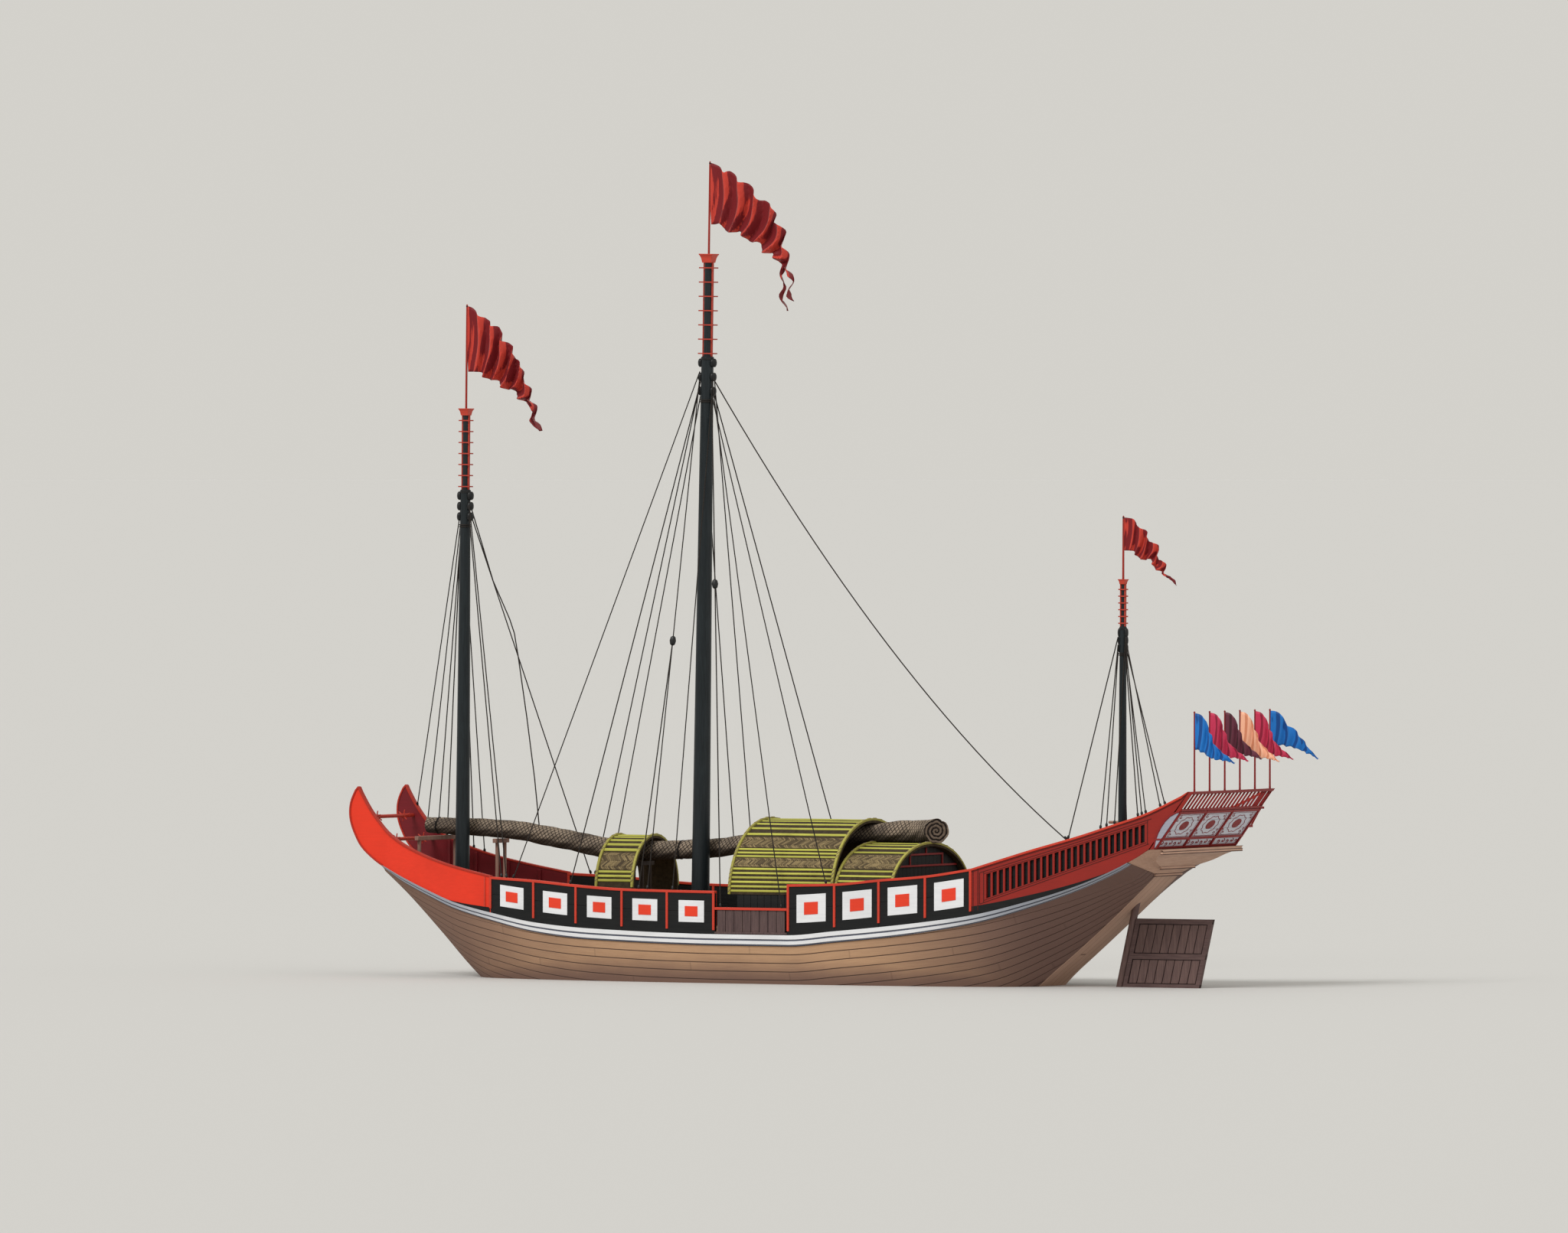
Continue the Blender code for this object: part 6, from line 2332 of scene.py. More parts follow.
@dataclass
class RolledSail:
    """A mat sail rolled up along its battens, with lashings."""

    name: str
    node: str
    size: RollSize
    lashings: Sequence[float]
    seed: int
    sides: int = 40
    twist: float = 1.35
    ridges: int = 7
    cut: float = 0.0

    def radius(self, x: float, angle: float, base: float) -> float:
        """Returns the radius at a place, with the edge of the rolled mat running round it."""
        lean = angle + self.twist * x
        ridge = abs(math.sin(lean * self.ridges / 2)) ** 0.6
        bump = noise.noise(Vector((1.4 * x, 2 * math.cos(angle), 2 * math.sin(angle) + self.seed)))
        pinch = sum(math.exp(-(((x - p) / 0.07) ** 2)) for p in self.lashings)
        return base * (0.895 + 0.095 * ridge + 0.06 * bump - 0.05 * min(pinch, 1.0))

    def build(self) -> None:
        """Makes the roll, its wound ends and its lashings."""
        table = self.size.table
        start, end = table[0][0], table[-1][0]
        make = MeshMaker("weave")
        rows, marks = [], []
        for x in spaced(start, end, 0.07):
            y, z, base = self.size.read(x)
            row = []
            for angle in around(self.sides):
                r = self.radius(x, angle, base)
                near = max(0.0, 1.0 - (end - x) / 0.9)
                slant = self.cut * near * (1.0 - math.cos(angle)) / 2
                row.append((x - slant, y + r * math.cos(angle), z + r * math.sin(angle)))
            rows.append(row)
            marks.append([(x, 1.9 * k / self.sides) for k in range(self.sides + 1)])
        make.grid(rows, lambda r, c: ROLL, lambda r, c: marks[r][c], wrap=True)
        for row, way in ((rows[0], -1), (rows[-1], 1)):
            self.end(make, row, way)
        dress(make.build(self.name + "_mat", merge=True), "sail_mat", self.node)
        ropes = MeshMaker()
        for x in self.lashings:
            for shift in (-0.02, 0.012):
                y, z, base = self.size.read(x + shift)
                loop = []
                for i in range(29):
                    angle = math.tau * i / 28
                    r = self.radius(x + shift, angle, base) + 0.010
                    loop.append(
                        (x + shift + 0.02 * math.sin(angle), y + r * math.cos(angle), z + r * math.sin(angle))
                    )
                ropes.tube(loop, 0.014, 6, ROPE)
        dress(ropes.build(self.name + "_lashings"), "rope")

    def end(self, make: MeshMaker, rim: Sequence[Any], way: int) -> None:
        """Closes one end with the wound layers of the mat showing as a spiral."""
        y, z, base = self.size.read(Vector(rim[0]).x)
        count, steps, turns = len(rim), 30, 3.2
        x = sum(Vector(spot).x for spot in rim) / count
        rows = [rim]
        for j in range(1, steps):
            share = 1 - j / steps
            row = []
            for k in range(count):
                winding = turns * (1 - share) + k / count
                lift = 0.022 * (abs(2 * (winding % 1.0) - 1.0)) ** 0.5
                spot = Vector((x, y, z)).lerp(Vector(rim[k]), share)
                row.append((spot.x - way * (0.022 - lift), spot.y, spot.z))
            rows.append(row)
        rows.append([(x - way * 0.02, y, z)] * count)

        def finish(r: int, c: int) -> Any:
            """Picks the mat's edge, or painted shade for the gap between two windings."""
            winding = turns * r / steps + c / count
            return ROLL_GAP_SHADE if abs(2 * (winding % 1.0) - 1.0) < 0.48 else ROLL_END

        make.grid(rows, finish, lambda r, c: (0.3 + r * 0.03, 1.9 * c / count), wrap=True)


class Rolls:
    """Both rolled sails and the crutches they lie in."""

    CRUTCHES = (
        ("bow_crutch", -11.30, (-1.10, 0.95), FORE_ROLL),
        ("fore_crutch", -9.65, (0.40, 0.84), FORE_ROLL),
        ("mid_crutch", -5.55, (0.40, 0.84), FORE_ROLL),
        ("main_crutch", -5.05, (0.40, 0.84), MAIN_ROLL),
    )

    def build(self) -> None:
        """Builds the rolls, then the crutches."""
        RolledSail("fore_roll", "fore_sail_roll", FORE_ROLL, (-11.6,), 2).build()
        RolledSail("main_roll", "main_sail_roll", MAIN_ROLL, (-3.9,), 4, cut=0.42).build()
        for node, x, (low_y, high_y), size in self.CRUTCHES:
            make = MeshMaker()
            wood = CRUTCH_DARK if x > -6.0 else CRUTCH_WOOD
            _, z, r = size.read(x)
            under = z - r - 0.012
            make.box((x - 0.06, low_y - 0.16, under - 0.12), (x + 0.06, high_y + 0.16, under), wood)
            for y in (low_y, high_y):
                foot = LINES.deck(x) + 0.004
                make.box((x - 0.04, y - 0.04, foot), (x + 0.04, y + 0.04, under - 0.05), wood)
                make.box((x - 0.075, y - 0.075, foot), (x + 0.075, y + 0.075, foot + 0.08), wood)
            dress(make.build(node + "_frame", bevel=0.010), "bare_timber", node)


CRUTCH_WOOD = TimberFinish("crutch_wood", (0.300, 0.170, 0.130), (0.200, 0.112, 0.086), 0.6, Grain.ALONG_Z)
CRUTCH_DARK = TimberFinish("crutch_dark", (0.060, 0.040, 0.030), (0.030, 0.020, 0.016), 0.6, Grain.ALONG_Z)


PANEL_GREY = PaintFinish("panel_grey", (0.560, 0.565, 0.620), (0.470, 0.475, 0.540), 0.55, Grain.ALONG_Y)
# a darker copy of the panel grey: painted shade, so that the corner field, which faces the key light, reads as dark as
# the shaded stern face
SHADED_CORNER_GREY = PaintFinish("shaded_corner_grey", (0.330, 0.335, 0.390), (0.270, 0.275, 0.330), 0.55)
CARVING = PaintFinish("carving_red", (0.230, 0.016, 0.018), (0.150, 0.012, 0.014), 0.5, Grain.EVEN)


class SternFace:
    """The raked stern face: panels with scrollwork, balustrade, staffs and balcony."""

    MIDDLE, TOP, RAIL_TOP = 4.115, 4.87, 5.42
    OVAL = 1.9

    def slab(
        self, make: MeshMaker, y0: float, y1: float, low: float, high: float, near: float, far: float,
        finish: Any,
    ) -> None:
        """Adds a board that leans with the face, from near to far aft of its fore side."""
        rings = []
        for y in (y0, y1):
            foot, head = stern_x(low), stern_x(high)
            rings.append(
                [(foot + near, y, low), (foot + far, y, low), (head + far, y, high), (head + near, y, high)]
            )
        make.hexa(rings[0], rings[1], finish)

    def build(self) -> None:
        """Builds the stern face."""
        self.panels()
        self.frame()
        self.scrolls()
        self.corners()
        self.balustrade()
        self.staffs()
        self.balcony()

    def panels(self) -> None:
        """Makes the grey boards behind the frame."""
        make = MeshMaker()
        half = STERN_HALF
        rows = ((3.842, self.MIDDLE), (self.MIDDLE, 4.36), (4.36, 4.61), (4.61, self.TOP - 0.002))
        for low, high in rows:
            self.slab(make, -half, half, low + 0.002, high - 0.002, 0.0, 0.03, POOP_RED)
            self.slab(make, -half, half, low + 0.002, high - 0.002, 0.03, STERN_THICK, PANEL_GREY)
        dress(make.build("stern_boards", bevel=0.004, segments=1), "gallery_grey", "stern_panel")

    def bars(self) -> tuple[list[float], list[float]]:
        """Returns the places of the upright bars and of the level bars."""
        edge = STERN_HALF - 0.045
        return [-edge, -edge / 3, edge / 3, edge], [3.875, self.MIDDLE, self.TOP - 0.04]

    def frame(self) -> None:
        """Makes the dark-red frame over the boards."""
        make = MeshMaker()
        uprights, levels = self.bars()
        for z in levels:
            self.slab(
                make, -STERN_HALF, STERN_HALF, z - 0.035, z + 0.035, STERN_THICK - 0.01, STERN_THICK + 0.045,
                DARK_RED,
            )
        for y in uprights:
            self.slab(
                make, y - 0.04, y + 0.04, 3.85, self.TOP, STERN_THICK - 0.01, STERN_THICK + 0.055, DARK_RED,
            )
        dress(make.build("stern_frame", bevel=0.010), "red_paint")

    def spot(self, y: float, z: float, out: float) -> Vector:
        """Returns a point on the face, out from its aft side."""
        return Vector((stern_x(z) + STERN_THICK + out, y, z))

    def spiral(
        self, make: MeshMaker, y: float, z: float, size: float, turn: int, start: float, thick: float,
        turns: float = 1.35,
    ) -> None:
        """Adds one scroll that winds outwards from a point, wider than it is tall.

        Args:
            make: the mesh to add to.
            y: its middle across.
            z: its middle's height.
            size: its outer radius, upright.
            turn: which way it winds, 1 or −1.
            start: the angle that it ends at.
            thick: radius of its bar.
            turns: how often it winds.
        """
        path = []
        count = 22
        for i in range(count + 1):
            share = i / count
            angle = start + turn * math.tau * turns * (share - 1)
            r = size * (0.14 + 0.86 * share)
            path.append(self.spot(y + self.OVAL * r * math.cos(angle), z + r * math.sin(angle), 0.006))
        sizes = [
            thick * (0.55 + 0.75 * math.sin(math.pi * (0.12 + 0.8 * i / count))) for i in range(count + 1)
        ]
        make.tube(path, sizes, 6, CARVING)

    def ring(self, make: MeshMaker, y: float, z: float, size: float, thick: float, lobes: int = 0) -> None:
        """Adds an oval ring, scalloped if it has lobes."""
        path = []
        for i in range(61):
            angle = math.tau * i / 60
            r = size * (1 + (0.06 * math.cos(lobes * angle) if lobes else 0.0))
            path.append(self.spot(y + self.OVAL * r * math.cos(angle), z + r * math.sin(angle), 0.004))
        make.tube(path, thick, 6, CARVING)

    def scrolls(self) -> None:
        """Makes a roundel with plain scrolls in each panel, and a row of small scrolls under them."""
        make = MeshMaker()
        uprights, levels = self.bars()
        middle = (levels[1] + levels[2]) / 2
        for a, b in zip(uprights, uprights[1:]):
            y = (a + b) / 2
            loops = []
            for out, size in ((-0.02, 0.125), (0.010, 0.12), (0.018, 0.07)):
                loops.append([
                    self.spot(
                        y + self.OVAL * size * math.cos(t), middle + size * math.sin(t), out,
                    ) for t in around(28)
                ])
            make.loft(loops, CARVING)
            self.ring(make, y, middle, 0.225, 0.009, 10)
            for side in SIDES:
                for up in (-1, 1):
                    start = math.pi * (0.5 if up > 0 else -0.5)
                    self.spiral(
                        make, y + side * 0.52, middle + up * 0.235, 0.05, side * up, start, 0.008, 1.0,
                    )
                    self.spiral(
                        make, y + side * 0.645, middle + up * 0.15, 0.035, -side * up, start, 0.008, 0.8,
                    )
                edge = [(0.712, -0.28), (0.716, -0.1), (0.70, 0.0), (0.716, 0.1), (0.712, 0.28)]
                make.tube([self.spot(y + side * d, middle + h, 0.003) for d, h in edge], 0.006, 6, CARVING)
            for up in (-1, 1):
                edge = [(-0.70, 0.292), (-0.2, 0.302), (0.0, 0.290), (0.2, 0.302), (0.70, 0.292)]
                make.tube([self.spot(y + d, middle + up * h, 0.003) for d, h in edge], 0.006, 6, CARVING)
        low = (levels[0] + levels[1]) / 2
        for i in range(18):
            y = -2.26 + i * 4.52 / 17
            if min(abs(y - upright) for upright in uprights) > 0.13:
                self.spiral(
                    make, y, low + 0.010 * (-1) ** i, 0.056, (-1) ** i, math.pi * (0.5 + i % 2), 0.012, 0.9,
                )
        dress(make.build("stern_scrolls"), "red_paint")

    def corners(self) -> None:
        """Closes the corners with a board that curves forward beside the panels, its curved field darkened as painted
        shade.
        """
        make = MeshMaker()
        curve = (
            (3.845, 0.0), (3.95, 0.07), (4.10, 0.15), (4.28, 0.215), (4.46, 0.25), (4.62, 0.25), (4.75, 0.20),
            (4.85, 0.09), (4.87, 0.0),
        )
        for side in SIDES:
            a, b = side * (STERN_HALF - 0.01), side * (STERN_HALF + 0.016)
            outline = [
                (stern_x(z) + 0.10, z) for z in (3.845, 5.40)
            ] + [(stern_x(z) - 0.02, z) for z in (5.40, 3.845)]
            make.hexa([(x, a, z) for x, z in outline], [(x, b, z) for x, z in outline], POOP_RED)
            c = side * (STERN_HALF + 0.020)
            field = [(stern_x(z) + 0.102, z) for z, _ in reversed(curve)][:1] + [
                (stern_x(z) + 0.10 - back, z) for z, back in reversed(curve)
            ]
            # the curved field takes the darker grey as painted shade
            make.hexa([(x, a, z) for x, z in field], [(x, c, z) for x, z in field], SHADED_CORNER_GREY)
            make.tube([(stern_x(z) + 0.10 - back, c, z) for z, back in curve], 0.024, 8, DARK_RED)
            x = stern_x(self.MIDDLE)
            make.tube([(x - 0.055, c, self.MIDDLE), (x + 0.13, c, self.MIDDLE)], 0.024, 8, DARK_RED)
        dress(make.build("stern_corners"), "gallery_grey")

    def balustrade(self) -> None:
        """Makes the pickets between their two rails."""
        make = MeshMaker()
        low, high = self.TOP, self.RAIL_TOP
        self.slab(
            make, -STERN_HALF, STERN_HALF, low + 0.002, low + 0.072, -0.005, STERN_THICK + 0.03, DARK_RED,
        )
        self.slab(
            make, -STERN_HALF - 0.02, STERN_HALF + 0.02, high - 0.075, high, -0.015, STERN_THICK + 0.03,
            DARK_RED,
        )
        for i in range(23):
            y = -STERN_HALF + 0.04 + i * (2 * STERN_HALF - 0.08) / 22
            wide = 0.036 if i in (0, 11, 22) else 0.022
            self.slab(make, y - wide, y + wide, low + 0.05, high - 0.05, 0.022, 0.078, DARK_RED)
        dress(make.build("balustrade", bevel=0.008, segments=1), "red_paint", "taffrail")

    def staffs(self) -> None:
        """Makes the six staffs with small turned heads."""
        make = MeshMaker()
        for y in STAFF_YS:
            path = [(STAFF_X, y, z) for z in (5.36, 5.50, 7.54, 7.58, 7.60)]
            make.tube(path, [0.034, 0.028, 0.021, 0.030, 0.008], 10, DARK_RED)
        dress(make.build("stern_staffs"), "red_paint")

    def balcony(self) -> None:
        """Makes the small railed balcony outside the starboard quarter."""
        make = MeshMaker()
        low, high = 4.33, 4.90
        inner, outer = 2.453, 3.17
        make.box((11.95, inner, low), (12.50, outer, low + 0.06), DARK_RED)
        make.box((12.25, outer - 0.07, high - 0.06), (12.85, outer, high), DARK_RED)
        make.box((12.78, inner + 0.10, high - 0.055), (12.845, outer - 0.01, high - 0.005), DARK_RED)
        for i in range(6):
            x, y = 11.99 + i / 5 * 0.47, outer - 0.04
            make.beam((x, y, low + 0.03), (x + 0.30, y, high - 0.03), 0.036, 0.036, POOP_RED)
        for i in range(1, 4):
            y = inner + 0.03 + i * 0.16
            make.beam((12.46, y, low + 0.03), (12.76, y, high - 0.03), 0.036, 0.036, POOP_RED)
        dress(make.build("balcony_rails", bevel=0.006), "red_paint", "quarter_balcony")


@dataclass
class Rudder:
    """The hoisting rudder on its raked stock, and the tiller."""

    at: tuple[float, float] = (10.44, 1.88)
    rake: float = math.radians(12.7)
    stock_r: float = 0.10
    top: float = 1.88
    foot: float = -0.02
    long: float = 2.45
    thick: float = 0.14

    def axis(self, z: float) -> Vector:
        """Returns the stock's axis at a height."""
        return Vector((self.at[0] + (z - self.at[1]) * math.tan(self.rake), 0.0, z))

    def build(self) -> None:
        """Builds the stock, the blade and the tiller."""
        self.stock()
        self.blade()
        self.tiller()

    def stock(self) -> None:
        """Makes the stock and its collar."""
        make = MeshMaker()
        up = Vector((math.sin(self.rake), 0, math.cos(self.rake)))
        low, high = self.axis(self.foot), self.axis(4.66)
        make.tube([low, self.axis(2.2), self.axis(4.60), high], [self.stock_r] * 3 + [0.08], 24, RUDDER_WOOD)
        seat = self.axis(4.11) + up * 0.003
        make.tube([seat, seat + up * 0.10], 0.17, 24, RUDDER_WOOD)
        dress(make.build("stock_pole", bevel=0.006), "dark_timber", "rudder_stock", body="rudder")

    def edge(self, z: float, forward: float) -> float:
        """Returns x at a height, forward from the blade's after edge."""
        return self.axis(z).x + self.long - forward

    def lead(self, z: float) -> float:
        """Returns x of the blade's fore edge at a height."""
        return self.axis(z).x + self.stock_r / math.cos(self.rake) + 0.006

    def plate(
        self, make: MeshMaker, corners: Sequence[tuple[float, float]], half: float, finish: Any,
    ) -> None:
        """Adds a flat piece from corners in x and z, half on each side of the blade's middle."""
        make.hexa([(x, -half, z) for x, z in corners], [(x, half, z) for x, z in corners], finish)

    def blade(self) -> None:
        """Makes the raked boards between a border and a rail."""
        make = MeshMaker()
        low, high = self.foot, self.top
        half = self.thick / 2
        bar = lambda z0, z1, finish, h: self.plate(
            make, [
                (self.lead(z0), z0), (self.edge(z0, 0), z0), (self.edge(z1, 0), z1), (self.lead(z1), z1),
            ], h, finish
        )
        bar(high - 0.14, high, RUDDER_DARK, half)
        bar(low, low + 0.12, RUDDER_DARK, half)
        bar(0.77, 0.93, RUDDER_DARK, half)
        for forward in (0.0, self.long - 0.25):
            spots = []
            for z, shift in ((low, 0.0), (low, 0.13), (high, 0.13), (high, 0.0)):
                x = self.edge(z, forward + shift) if forward == 0.0 else self.lead(z) + shift
                spots.append((x, z))
            self.plate(make, spots, half - 0.002, RUDDER_DARK)
        self.plate(
            make, [
                (self.lead(0.1) + 0.05, 0.05), (self.edge(0.1, 0.05), 0.05), (self.edge(1.8, 0.05), 1.80),
                (self.lead(1.8) + 0.05, 1.80),
            ],
            half - 0.045, RUDDER_SEAM,
        )
        for z0, z1 in ((low + 0.135, 0.755), (0.945, high - 0.155)):
            count = 8
            for k in range(count):
                spots = []
                for z, share in (
                    (z0, k / count), (z0, (k + 1) / count), (z1, (k + 1) / count), (z1, k / count),
                ):
                    fore, aft = self.lead(z) + 0.145, self.edge(z, 0.145)
                    gap = 0.010 if share == k / count else -0.010
                    spots.append((fore + (aft - fore) * share + gap, z))
                self.plate(make, spots, half - 0.022, RUDDER_WOOD)
        dress(make.build("rudder_boards", bevel=0.008), "dark_timber", "rudder_blade", body="rudder")

    def tiller(self) -> None:
        """Makes the tiller, thinner towards its end."""
        make = MeshMaker()
        head = self.axis(4.50)
        path = [head - Vector((forward, 0, 0)) for forward in (-0.20, 0.0, 0.7, 1.33, 1.35)]
        make.tube(path, [0.048, 0.050, 0.044, 0.040, 0.030], 16, CRUTCH_WOOD)
        dress(make.build("tiller_bar"), "bare_timber", "tiller", body="rudder")


RUDDER_WOOD = TimberFinish("rudder_wood", (0.150, 0.092, 0.082), (0.095, 0.058, 0.054), 0.6, Grain.ALONG_Z)
RUDDER_DARK = TimberFinish("rudder_frame", (0.125, 0.076, 0.070), (0.080, 0.048, 0.046), 0.6)
RUDDER_SEAM = TimberFinish("rudder_seam", (0.020, 0.012, 0.012), (0.012, 0.008, 0.008), 0.8)


@dataclass
class Windlass:
    """One barrel between the bow wings, with three handspikes near each end."""

    name: str
    x: float
    z: float

    def build(self) -> None:
        """Makes the barrel, then its hubs and handspikes."""
        half = LINES.beam(self.x) - 0.035
        make = MeshMaker()
        ends = [
            (-half, 0.05), (-half + 0.13, 0.05), (-half + 0.14, 0.052), (half - 0.14, 0.052),
            (half - 0.13, 0.05), (half, 0.05),
        ]
        make.tube([(self.x, y, self.z) for y, _ in ends], [r for _, r in ends], 20, WINDLASS_RED)
        dress(make.build(self.name + "_barrel"), "red_paint", self.name, body=self.name)
        spikes = MeshMaker()
        for side in SIDES:
            for i in range(3):
                angle = math.radians(20 + 60 * i)
                y = side * (0.83 - 0.06 * i)
                reach = Vector((math.cos(angle), 0, math.sin(angle))) * 0.165
                middle = Vector((self.x, y, self.z))
                path = [middle - reach, middle - reach * 0.9, middle + reach * 0.9, middle + reach]
                spikes.tube(path, [0.013, 0.018, 0.018, 0.013], 10, WINDLASS_RED)
            hub = [(self.x, side * y, self.z) for y in (0.67, 0.87)]
            spikes.tube(hub, 0.062, 20, WINDLASS_RED)
        dress(spikes.build(self.name + "_spikes"), "red_paint", body=self.name)


WINDLASS_RED = PaintFinish("windlass_red", (0.480, 0.040, 0.022), (0.30, 0.025, 0.016), 0.4, Grain.ALONG_Y)


class UpperDecks:
    """The quarterdeck, its step and the poop deck, planked along."""

    def build(self) -> None:
        """Builds both decks and the boss round the rudder's trunk."""
        for name, node, start, end, top in (
            ("quarterdeck_boards", "quarterdeck", POOP_START + 0.15, 9.398, DECK_TOP),
            ("poop_boards", "poop_deck", 9.40, 12.14, POOP_TOP_Z),
        ):
            make = MeshMaker()
            sections = [(x, LINES.beam(x) - WALL - 0.004, top) for x in spaced(start, end, 0.35)]
            rows = lay_boards(make, sections, 18, 90)
            for row in (rows[0], rows[-1]):
                x = row[0][0]
                half, low = LINES.beam(x) - WALL - 0.004, LINES.deck(x) + 0.002
                for a, b in zip(spaced(-half, half, 0.25), spaced(-half, half, 0.25)[1:]):
                    out = -0.012 if row is rows[0] else 0.0
                    make.box((x + out, a + 0.003, low), (x + 0.03, b - 0.003, top - 0.004), HULL_STEP)
            if node == "poop_deck":
                self.boss(make)
            dress(make.build(name), "hull_timber", node)

    def boss(self, make: MeshMaker) -> None:
        """Adds the ring that the rudder's collar sits on."""
        rudder = Rudder()
        loops = []
        for z, r in (
            (POOP_TOP_Z - 0.02, 0.20), (4.09, 0.20), (4.105, 0.185), (4.105, 0.125),
            (POOP_TOP_Z - 0.02, 0.125),
        ):
            middle = rudder.axis(z)
            loops.append([(middle.x + r * math.cos(t), r * math.sin(t), z) for t in around(24)])
        make.loft(loops, RUDDER_WOOD, caps=False)


HULL_STEP = TimberFinish("deck_step", (0.300, 0.200, 0.125), (0.200, 0.130, 0.080), 0.6, Grain.ALONG_Z)


class RopeTree(NodeTree):
    """Gives thin lines a round body."""

    NAME = "rope_body"
    INPUTS = {"Radius": "Float", "Sides": "Int"}

    def wire(self) -> None:
        """Adds the nodes: curve, round body, real mesh, finish."""
        inlet, make, link = self.inlet, self.node, self.link
        curve, ring = make("GeometryNodeMeshToCurve"), make("GeometryNodeCurvePrimitiveCircle")
        body, real = make("GeometryNodeCurveToMesh"), make("GeometryNodeRealizeInstances")
        body.inputs["Fill Caps"].default_value = True
        link(inlet.outputs["Geometry"], curve.inputs[0])
        link(inlet.outputs["Radius"], ring.inputs["Radius"])
        link(inlet.outputs["Sides"], ring.inputs["Resolution"])
        link(curve.outputs[0], body.inputs["Curve"])
        link(ring.outputs[0], body.inputs["Profile Curve"])
        link(body.outputs[0], real.inputs[0])
        self.paint(real.outputs[0])

    def make(
        self, lines: Sequence[Sequence[Any]], radius: float, finish: Any, sides: int = 6,
    ) -> bpy.types.Mesh:
        """Gives lines a body.

        Args:
            lines: each a run of points.
            radius: of every rope.
            finish: what they are dressed in.
            sides: how many sides each has.

        Returns:
            The ropes as one plain mesh.
        """
        points, edges = [], []
        for line in lines:
            first = len(points)
            points += [tuple(p) for p in line]
            edges += [(first + i, first + i + 1) for i in range(len(line) - 1)]
        mesh = bpy.data.meshes.new(self.NAME)
        mesh.from_pydata(points, edges, [])
        return self.result(mesh, {"Radius": radius, "Sides": sides}, finish)


ROPES = RopeTree()


@dataclass(frozen=True)
class Stay:
    """One line from a mast to a foot on the rail."""

    mast: str
    side: int
    x: float
    block: float = 0.0
    double: float = 0.0
    sag: float = 0.0


STAYS = (
    *(Stay("fore", STARBOARD, x) for x in (-12.73, -12.40, -12.10, -11.85, -11.10, -10.80, -7.75)),
    *(Stay("fore", PORT, x) for x in (-7.85, -8.02)),
    *(Stay("main", PORT, x) for x in (-7.60, -5.70, -2.40, 1.00, 2.36)),
    Stay("main", PORT, -3.20, block=9.40, double=0.28),
    Stay("main", PORT, -0.90, block=10.97),
    *(Stay("main", STARBOARD, x) for x in (-7.60, -7.15, -3.30, -2.75, 0.35)),
    Stay("main", PORT, 9.60, sag=1.05),
    *(Stay("mizzen", PORT, x) for x in (9.68, 10.65, 10.83, 11.07, 11.78, 11.90, 12.02, 12.46, 12.60)),
    Stay("mizzen", STARBOARD, 9.00),
)


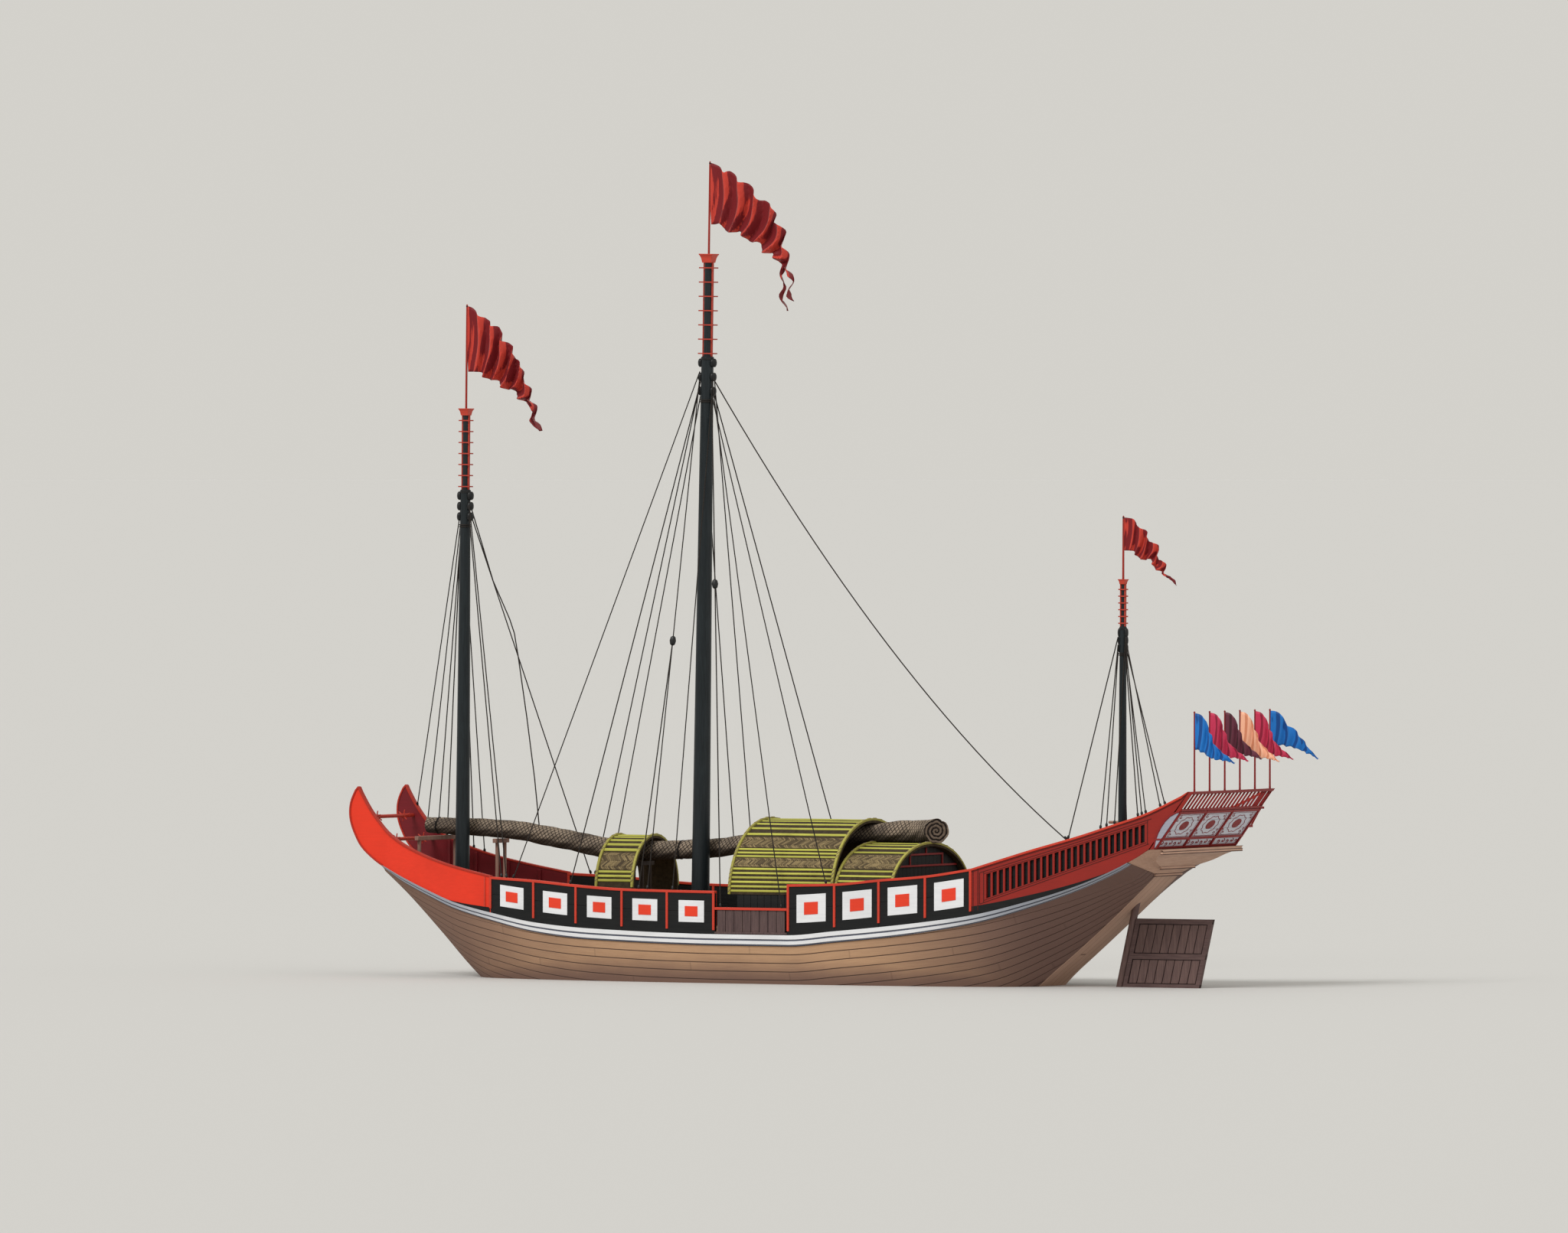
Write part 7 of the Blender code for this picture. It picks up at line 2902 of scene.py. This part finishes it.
class Rigging:
    """The standing lines of each mast, with their blocks and the fastenings on the rails."""

    NODES = {
        "fore": ("fore_shroud_port", "fore_shroud_starboard"),
        "main": (
            "main_fore_shroud_port", "main_fore_shroud_starboard", "main_aft_shroud_port",
            "main_aft_shroud_starboard", "main_backstay",
        ),
        "mizzen": ("mizzen_shroud_port", "mizzen_shroud_starboard"),
    }
    RADIUS = 0.017

    def foot(self, x: float, side: int) -> Vector:
        """Returns the top of the rail at x."""
        y = side * (LINES.beam(max(x, STEM_X)) - WALL / 2)
        if x < BOW_TURN:
            level = Lines([(row[2], row[3]) for row in reversed(WING_ROWS)]).read(x)
        else:
            level = LINES.rail(x)
        return Vector((x, y, level))

    def head(self, mast: MastSize, foot: Vector, turn: int) -> Vector:
        """Returns where a line leaves the mast, between its blocks or under them."""
        leave = 1 if foot.x > mast.x else -1
        up = mast.hounds - mast.foot - mast.lines - mast.spread * (turn % 7) / 6
        side = 1 if foot.y > mast.y else -1
        return mast.place @ Vector((leave * (mast.hound_r + 0.02), side * 0.08, up))

    def line(self, head: Vector, foot: Vector, sag: float = 0.0) -> list[Vector]:
        """Returns the points of a line, which hangs by its sag in the middle."""
        steps = 24 if sag else 2
        spots = []
        for i in range(steps + 1):
            t = i / steps
            spot = head.lerp(foot, t)
            spot.z -= 4 * sag * t * (1 - t)
            spots.append(spot)
        return spots

    def block(self, make: MeshMaker, spot: Vector, size: float, way: Vector) -> None:
        """Adds a round-edged block on a line."""
        way = way.normalized()
        path = [
            spot - way * size, spot - way * size * 0.75, spot, spot + way * size * 0.75, spot + way * size,
        ]
        make.tube(path, [size * 0.25, size * 0.55, size * 0.72, size * 0.55, size * 0.25], 10, CHEEK_BLACK)

    def build(self) -> None:
        """Builds one piece of lines, and one of blocks, for each mast."""
        for name, mast in MASTS.items():
            lines, blocks = [], MeshMaker()
            chosen = [stay for stay in STAYS if stay.mast == name]
            for turn, stay in enumerate(chosen):
                foot = self.foot(stay.x, stay.side)
                head = self.head(mast, foot, 3 * turn)
                lines.append(self.line(head, foot + Vector((0, 0, 0.02)), stay.sag))
                self.block(blocks, foot + Vector((0, 0, 0.055)), 0.055, head - foot)
                if stay.block:
                    share = (head.z - stay.block) / (head.z - foot.z)
                    spot = head.lerp(foot, share)
                    self.block(blocks, spot, 0.13, head - foot)
                    if stay.double:
                        other = self.foot(stay.x - stay.double, stay.side)
                        lines.append(self.line(spot, other + Vector((0, 0, 0.02))))
                        self.block(blocks, other + Vector((0, 0, 0.055)), 0.055, spot - other)
            if name == "fore":
                lines.append(self.halyard(mast))
            lines.append(self.wrap(mast, 0.0))
            lines.append(self.wrap(mast, 0.05))
            ropes = ROPES.make(lines, self.RADIUS, ROPE)
            dress(assemble(name + "_lines", [ropes]), "rope", *self.NODES[name])
            dress(blocks.build(name + "_line_blocks"), "rope")

    def wrap(self, mast: MastSize, drop: float) -> list[Vector]:
        """Returns a turn of rope round the mast where the lines leave it."""
        up = mast.hounds - mast.foot - mast.wrap - drop
        r = mast.hound_r + 0.022
        return [mast.place @ Vector((r * math.cos(t), r * math.sin(t), up)) for t in (*around(20), math.tau)]

    def halyard(self, mast: MastSize) -> list[Vector]:
        """Returns the slack line from the fore mast down to the rolled sail."""
        _, z, r = FORE_ROLL.read(-8.35)
        return [
            self.head(mast, Vector((0, 1, 0)), 2), Vector((-9.62, 0.12, 11.0)), Vector((-9.12, 0.16, 9.95)),
            Vector(
                (-8.98, 0.18, 9.55)
            ), Vector((-8.88, 0.22, 8.9)), Vector((-8.66, 0.32, 7.2)), Vector((-8.48, 0.44, 5.5)),
            Vector((-8.38, 0.52, z + r - 0.02)),
        ]


class Studio:
    """Pale floor at the waterline, soft light and the camera."""

    AZIMUTH, ELEVATION = 28.0, 0.7
    TARGET = Vector((-0.38, 0.0, 10.07))
    SKY = (0.655, 0.640, 0.600)
    SUNS = (("key", 1.9, 24.0, (46, 0, -14)), ("fill", 0.5, 60.0, (64, 0, 80)))
    DISTANCE, LENS = 481.0, 400.0

    def build(self) -> None:
        """Builds the floor, the lights and the camera."""
        self.floor()
        self.lights()
        self.camera()

    def floor(self) -> None:
        """Makes a wide plain floor at the waterline."""
        mesh = bpy.data.meshes.new("floor")
        count, radius = 96, 3200.0
        spots = [(radius * math.cos(t), radius * math.sin(t), 0.0) for t in around(count)]
        mesh.from_pydata(spots, [], [tuple(range(count))])
        floor = bpy.data.objects.new("floor", mesh)
        bpy.context.scene.collection.objects.link(floor)
        material = bpy.data.materials.new("floor_paint")
        material.use_nodes = True
        shader = material.node_tree.nodes["Principled BSDF"]
        shader.inputs["Base Color"].default_value = tuple(
            0.981 * c / (c + self.sunlight()) for c in self.SKY
        ) + (1,)
        shader.inputs["Roughness"].default_value = 0.9
        mesh.materials.append(material)
        floor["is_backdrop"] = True

    def sunlight(self) -> float:
        """Returns what the suns alone would give a white floor, so that floor and sky can match."""
        return sum(power * math.cos(math.radians(turn[0])) for _, power, _, turn in self.SUNS) / math.pi

    def lights(self) -> None:
        """Sets a soft sun from port, a weak fill from astern and a pale sky."""
        world = bpy.data.worlds.new("sky")
        bpy.context.scene.world = world
        world.use_nodes = True
        sky = world.node_tree.nodes["Background"]
        sky.inputs["Color"].default_value = (*self.SKY, 1)
        for name, power, angle, turn in self.SUNS:
            light = bpy.data.lights.new(name, "SUN")
            light.energy, light.angle = power, math.radians(angle)
            lamp = bpy.data.objects.new(name, light)
            lamp.rotation_euler = tuple(math.radians(v) for v in turn)
            bpy.context.scene.collection.objects.link(lamp)

    def camera(self) -> None:
        """Sets the camera far off, on the port quarter."""
        data = bpy.data.cameras.new("camera")
        data.lens, data.sensor_width = self.LENS, 36.0
        data.clip_start, data.clip_end = 10.0, 6000.0
        camera = bpy.data.objects.new("camera", data)
        bpy.context.scene.collection.objects.link(camera)
        a, e = math.radians(self.AZIMUTH), math.radians(self.ELEVATION)
        back = Vector((math.sin(a) * math.cos(e), -math.cos(a) * math.cos(e), math.sin(e)))
        camera.location = self.TARGET + back * self.DISTANCE
        camera.rotation_mode = "QUATERNION"
        camera.rotation_quaternion = (-back).to_track_quat("-Z", "Y")
        bpy.context.scene.camera = camera
        bpy.context.scene.view_settings.view_transform = "Standard"


def main() -> None:
    """Builds the junk from its hull up, then the studio."""
    logging.basicConfig(level=logging.INFO, format="%(message)s")
    Studio().build()
    HullPlanking().build()
    for side in SIDES:
        Panels(side, "fore", (0.80, 0.60), (0.40, 0.28)).build()
        Panels(side, "aft", (0.89, 0.77), (0.42, 0.34)).build()
        Gangway(side).build()
        BowWing(side).build()
        PoopSide(side).build()
    UpperDecks().build()
    Deckhouse().build()
    Rolls().build()
    SternFace().build()
    Rudder().build()
    Windlass("upper_windlass", -12.84, 4.42).build()
    Windlass("lower_windlass", -12.22, 3.80).build()
    Rigs().build()
    Rigging().build()


if __name__ == "__main__":
    main()
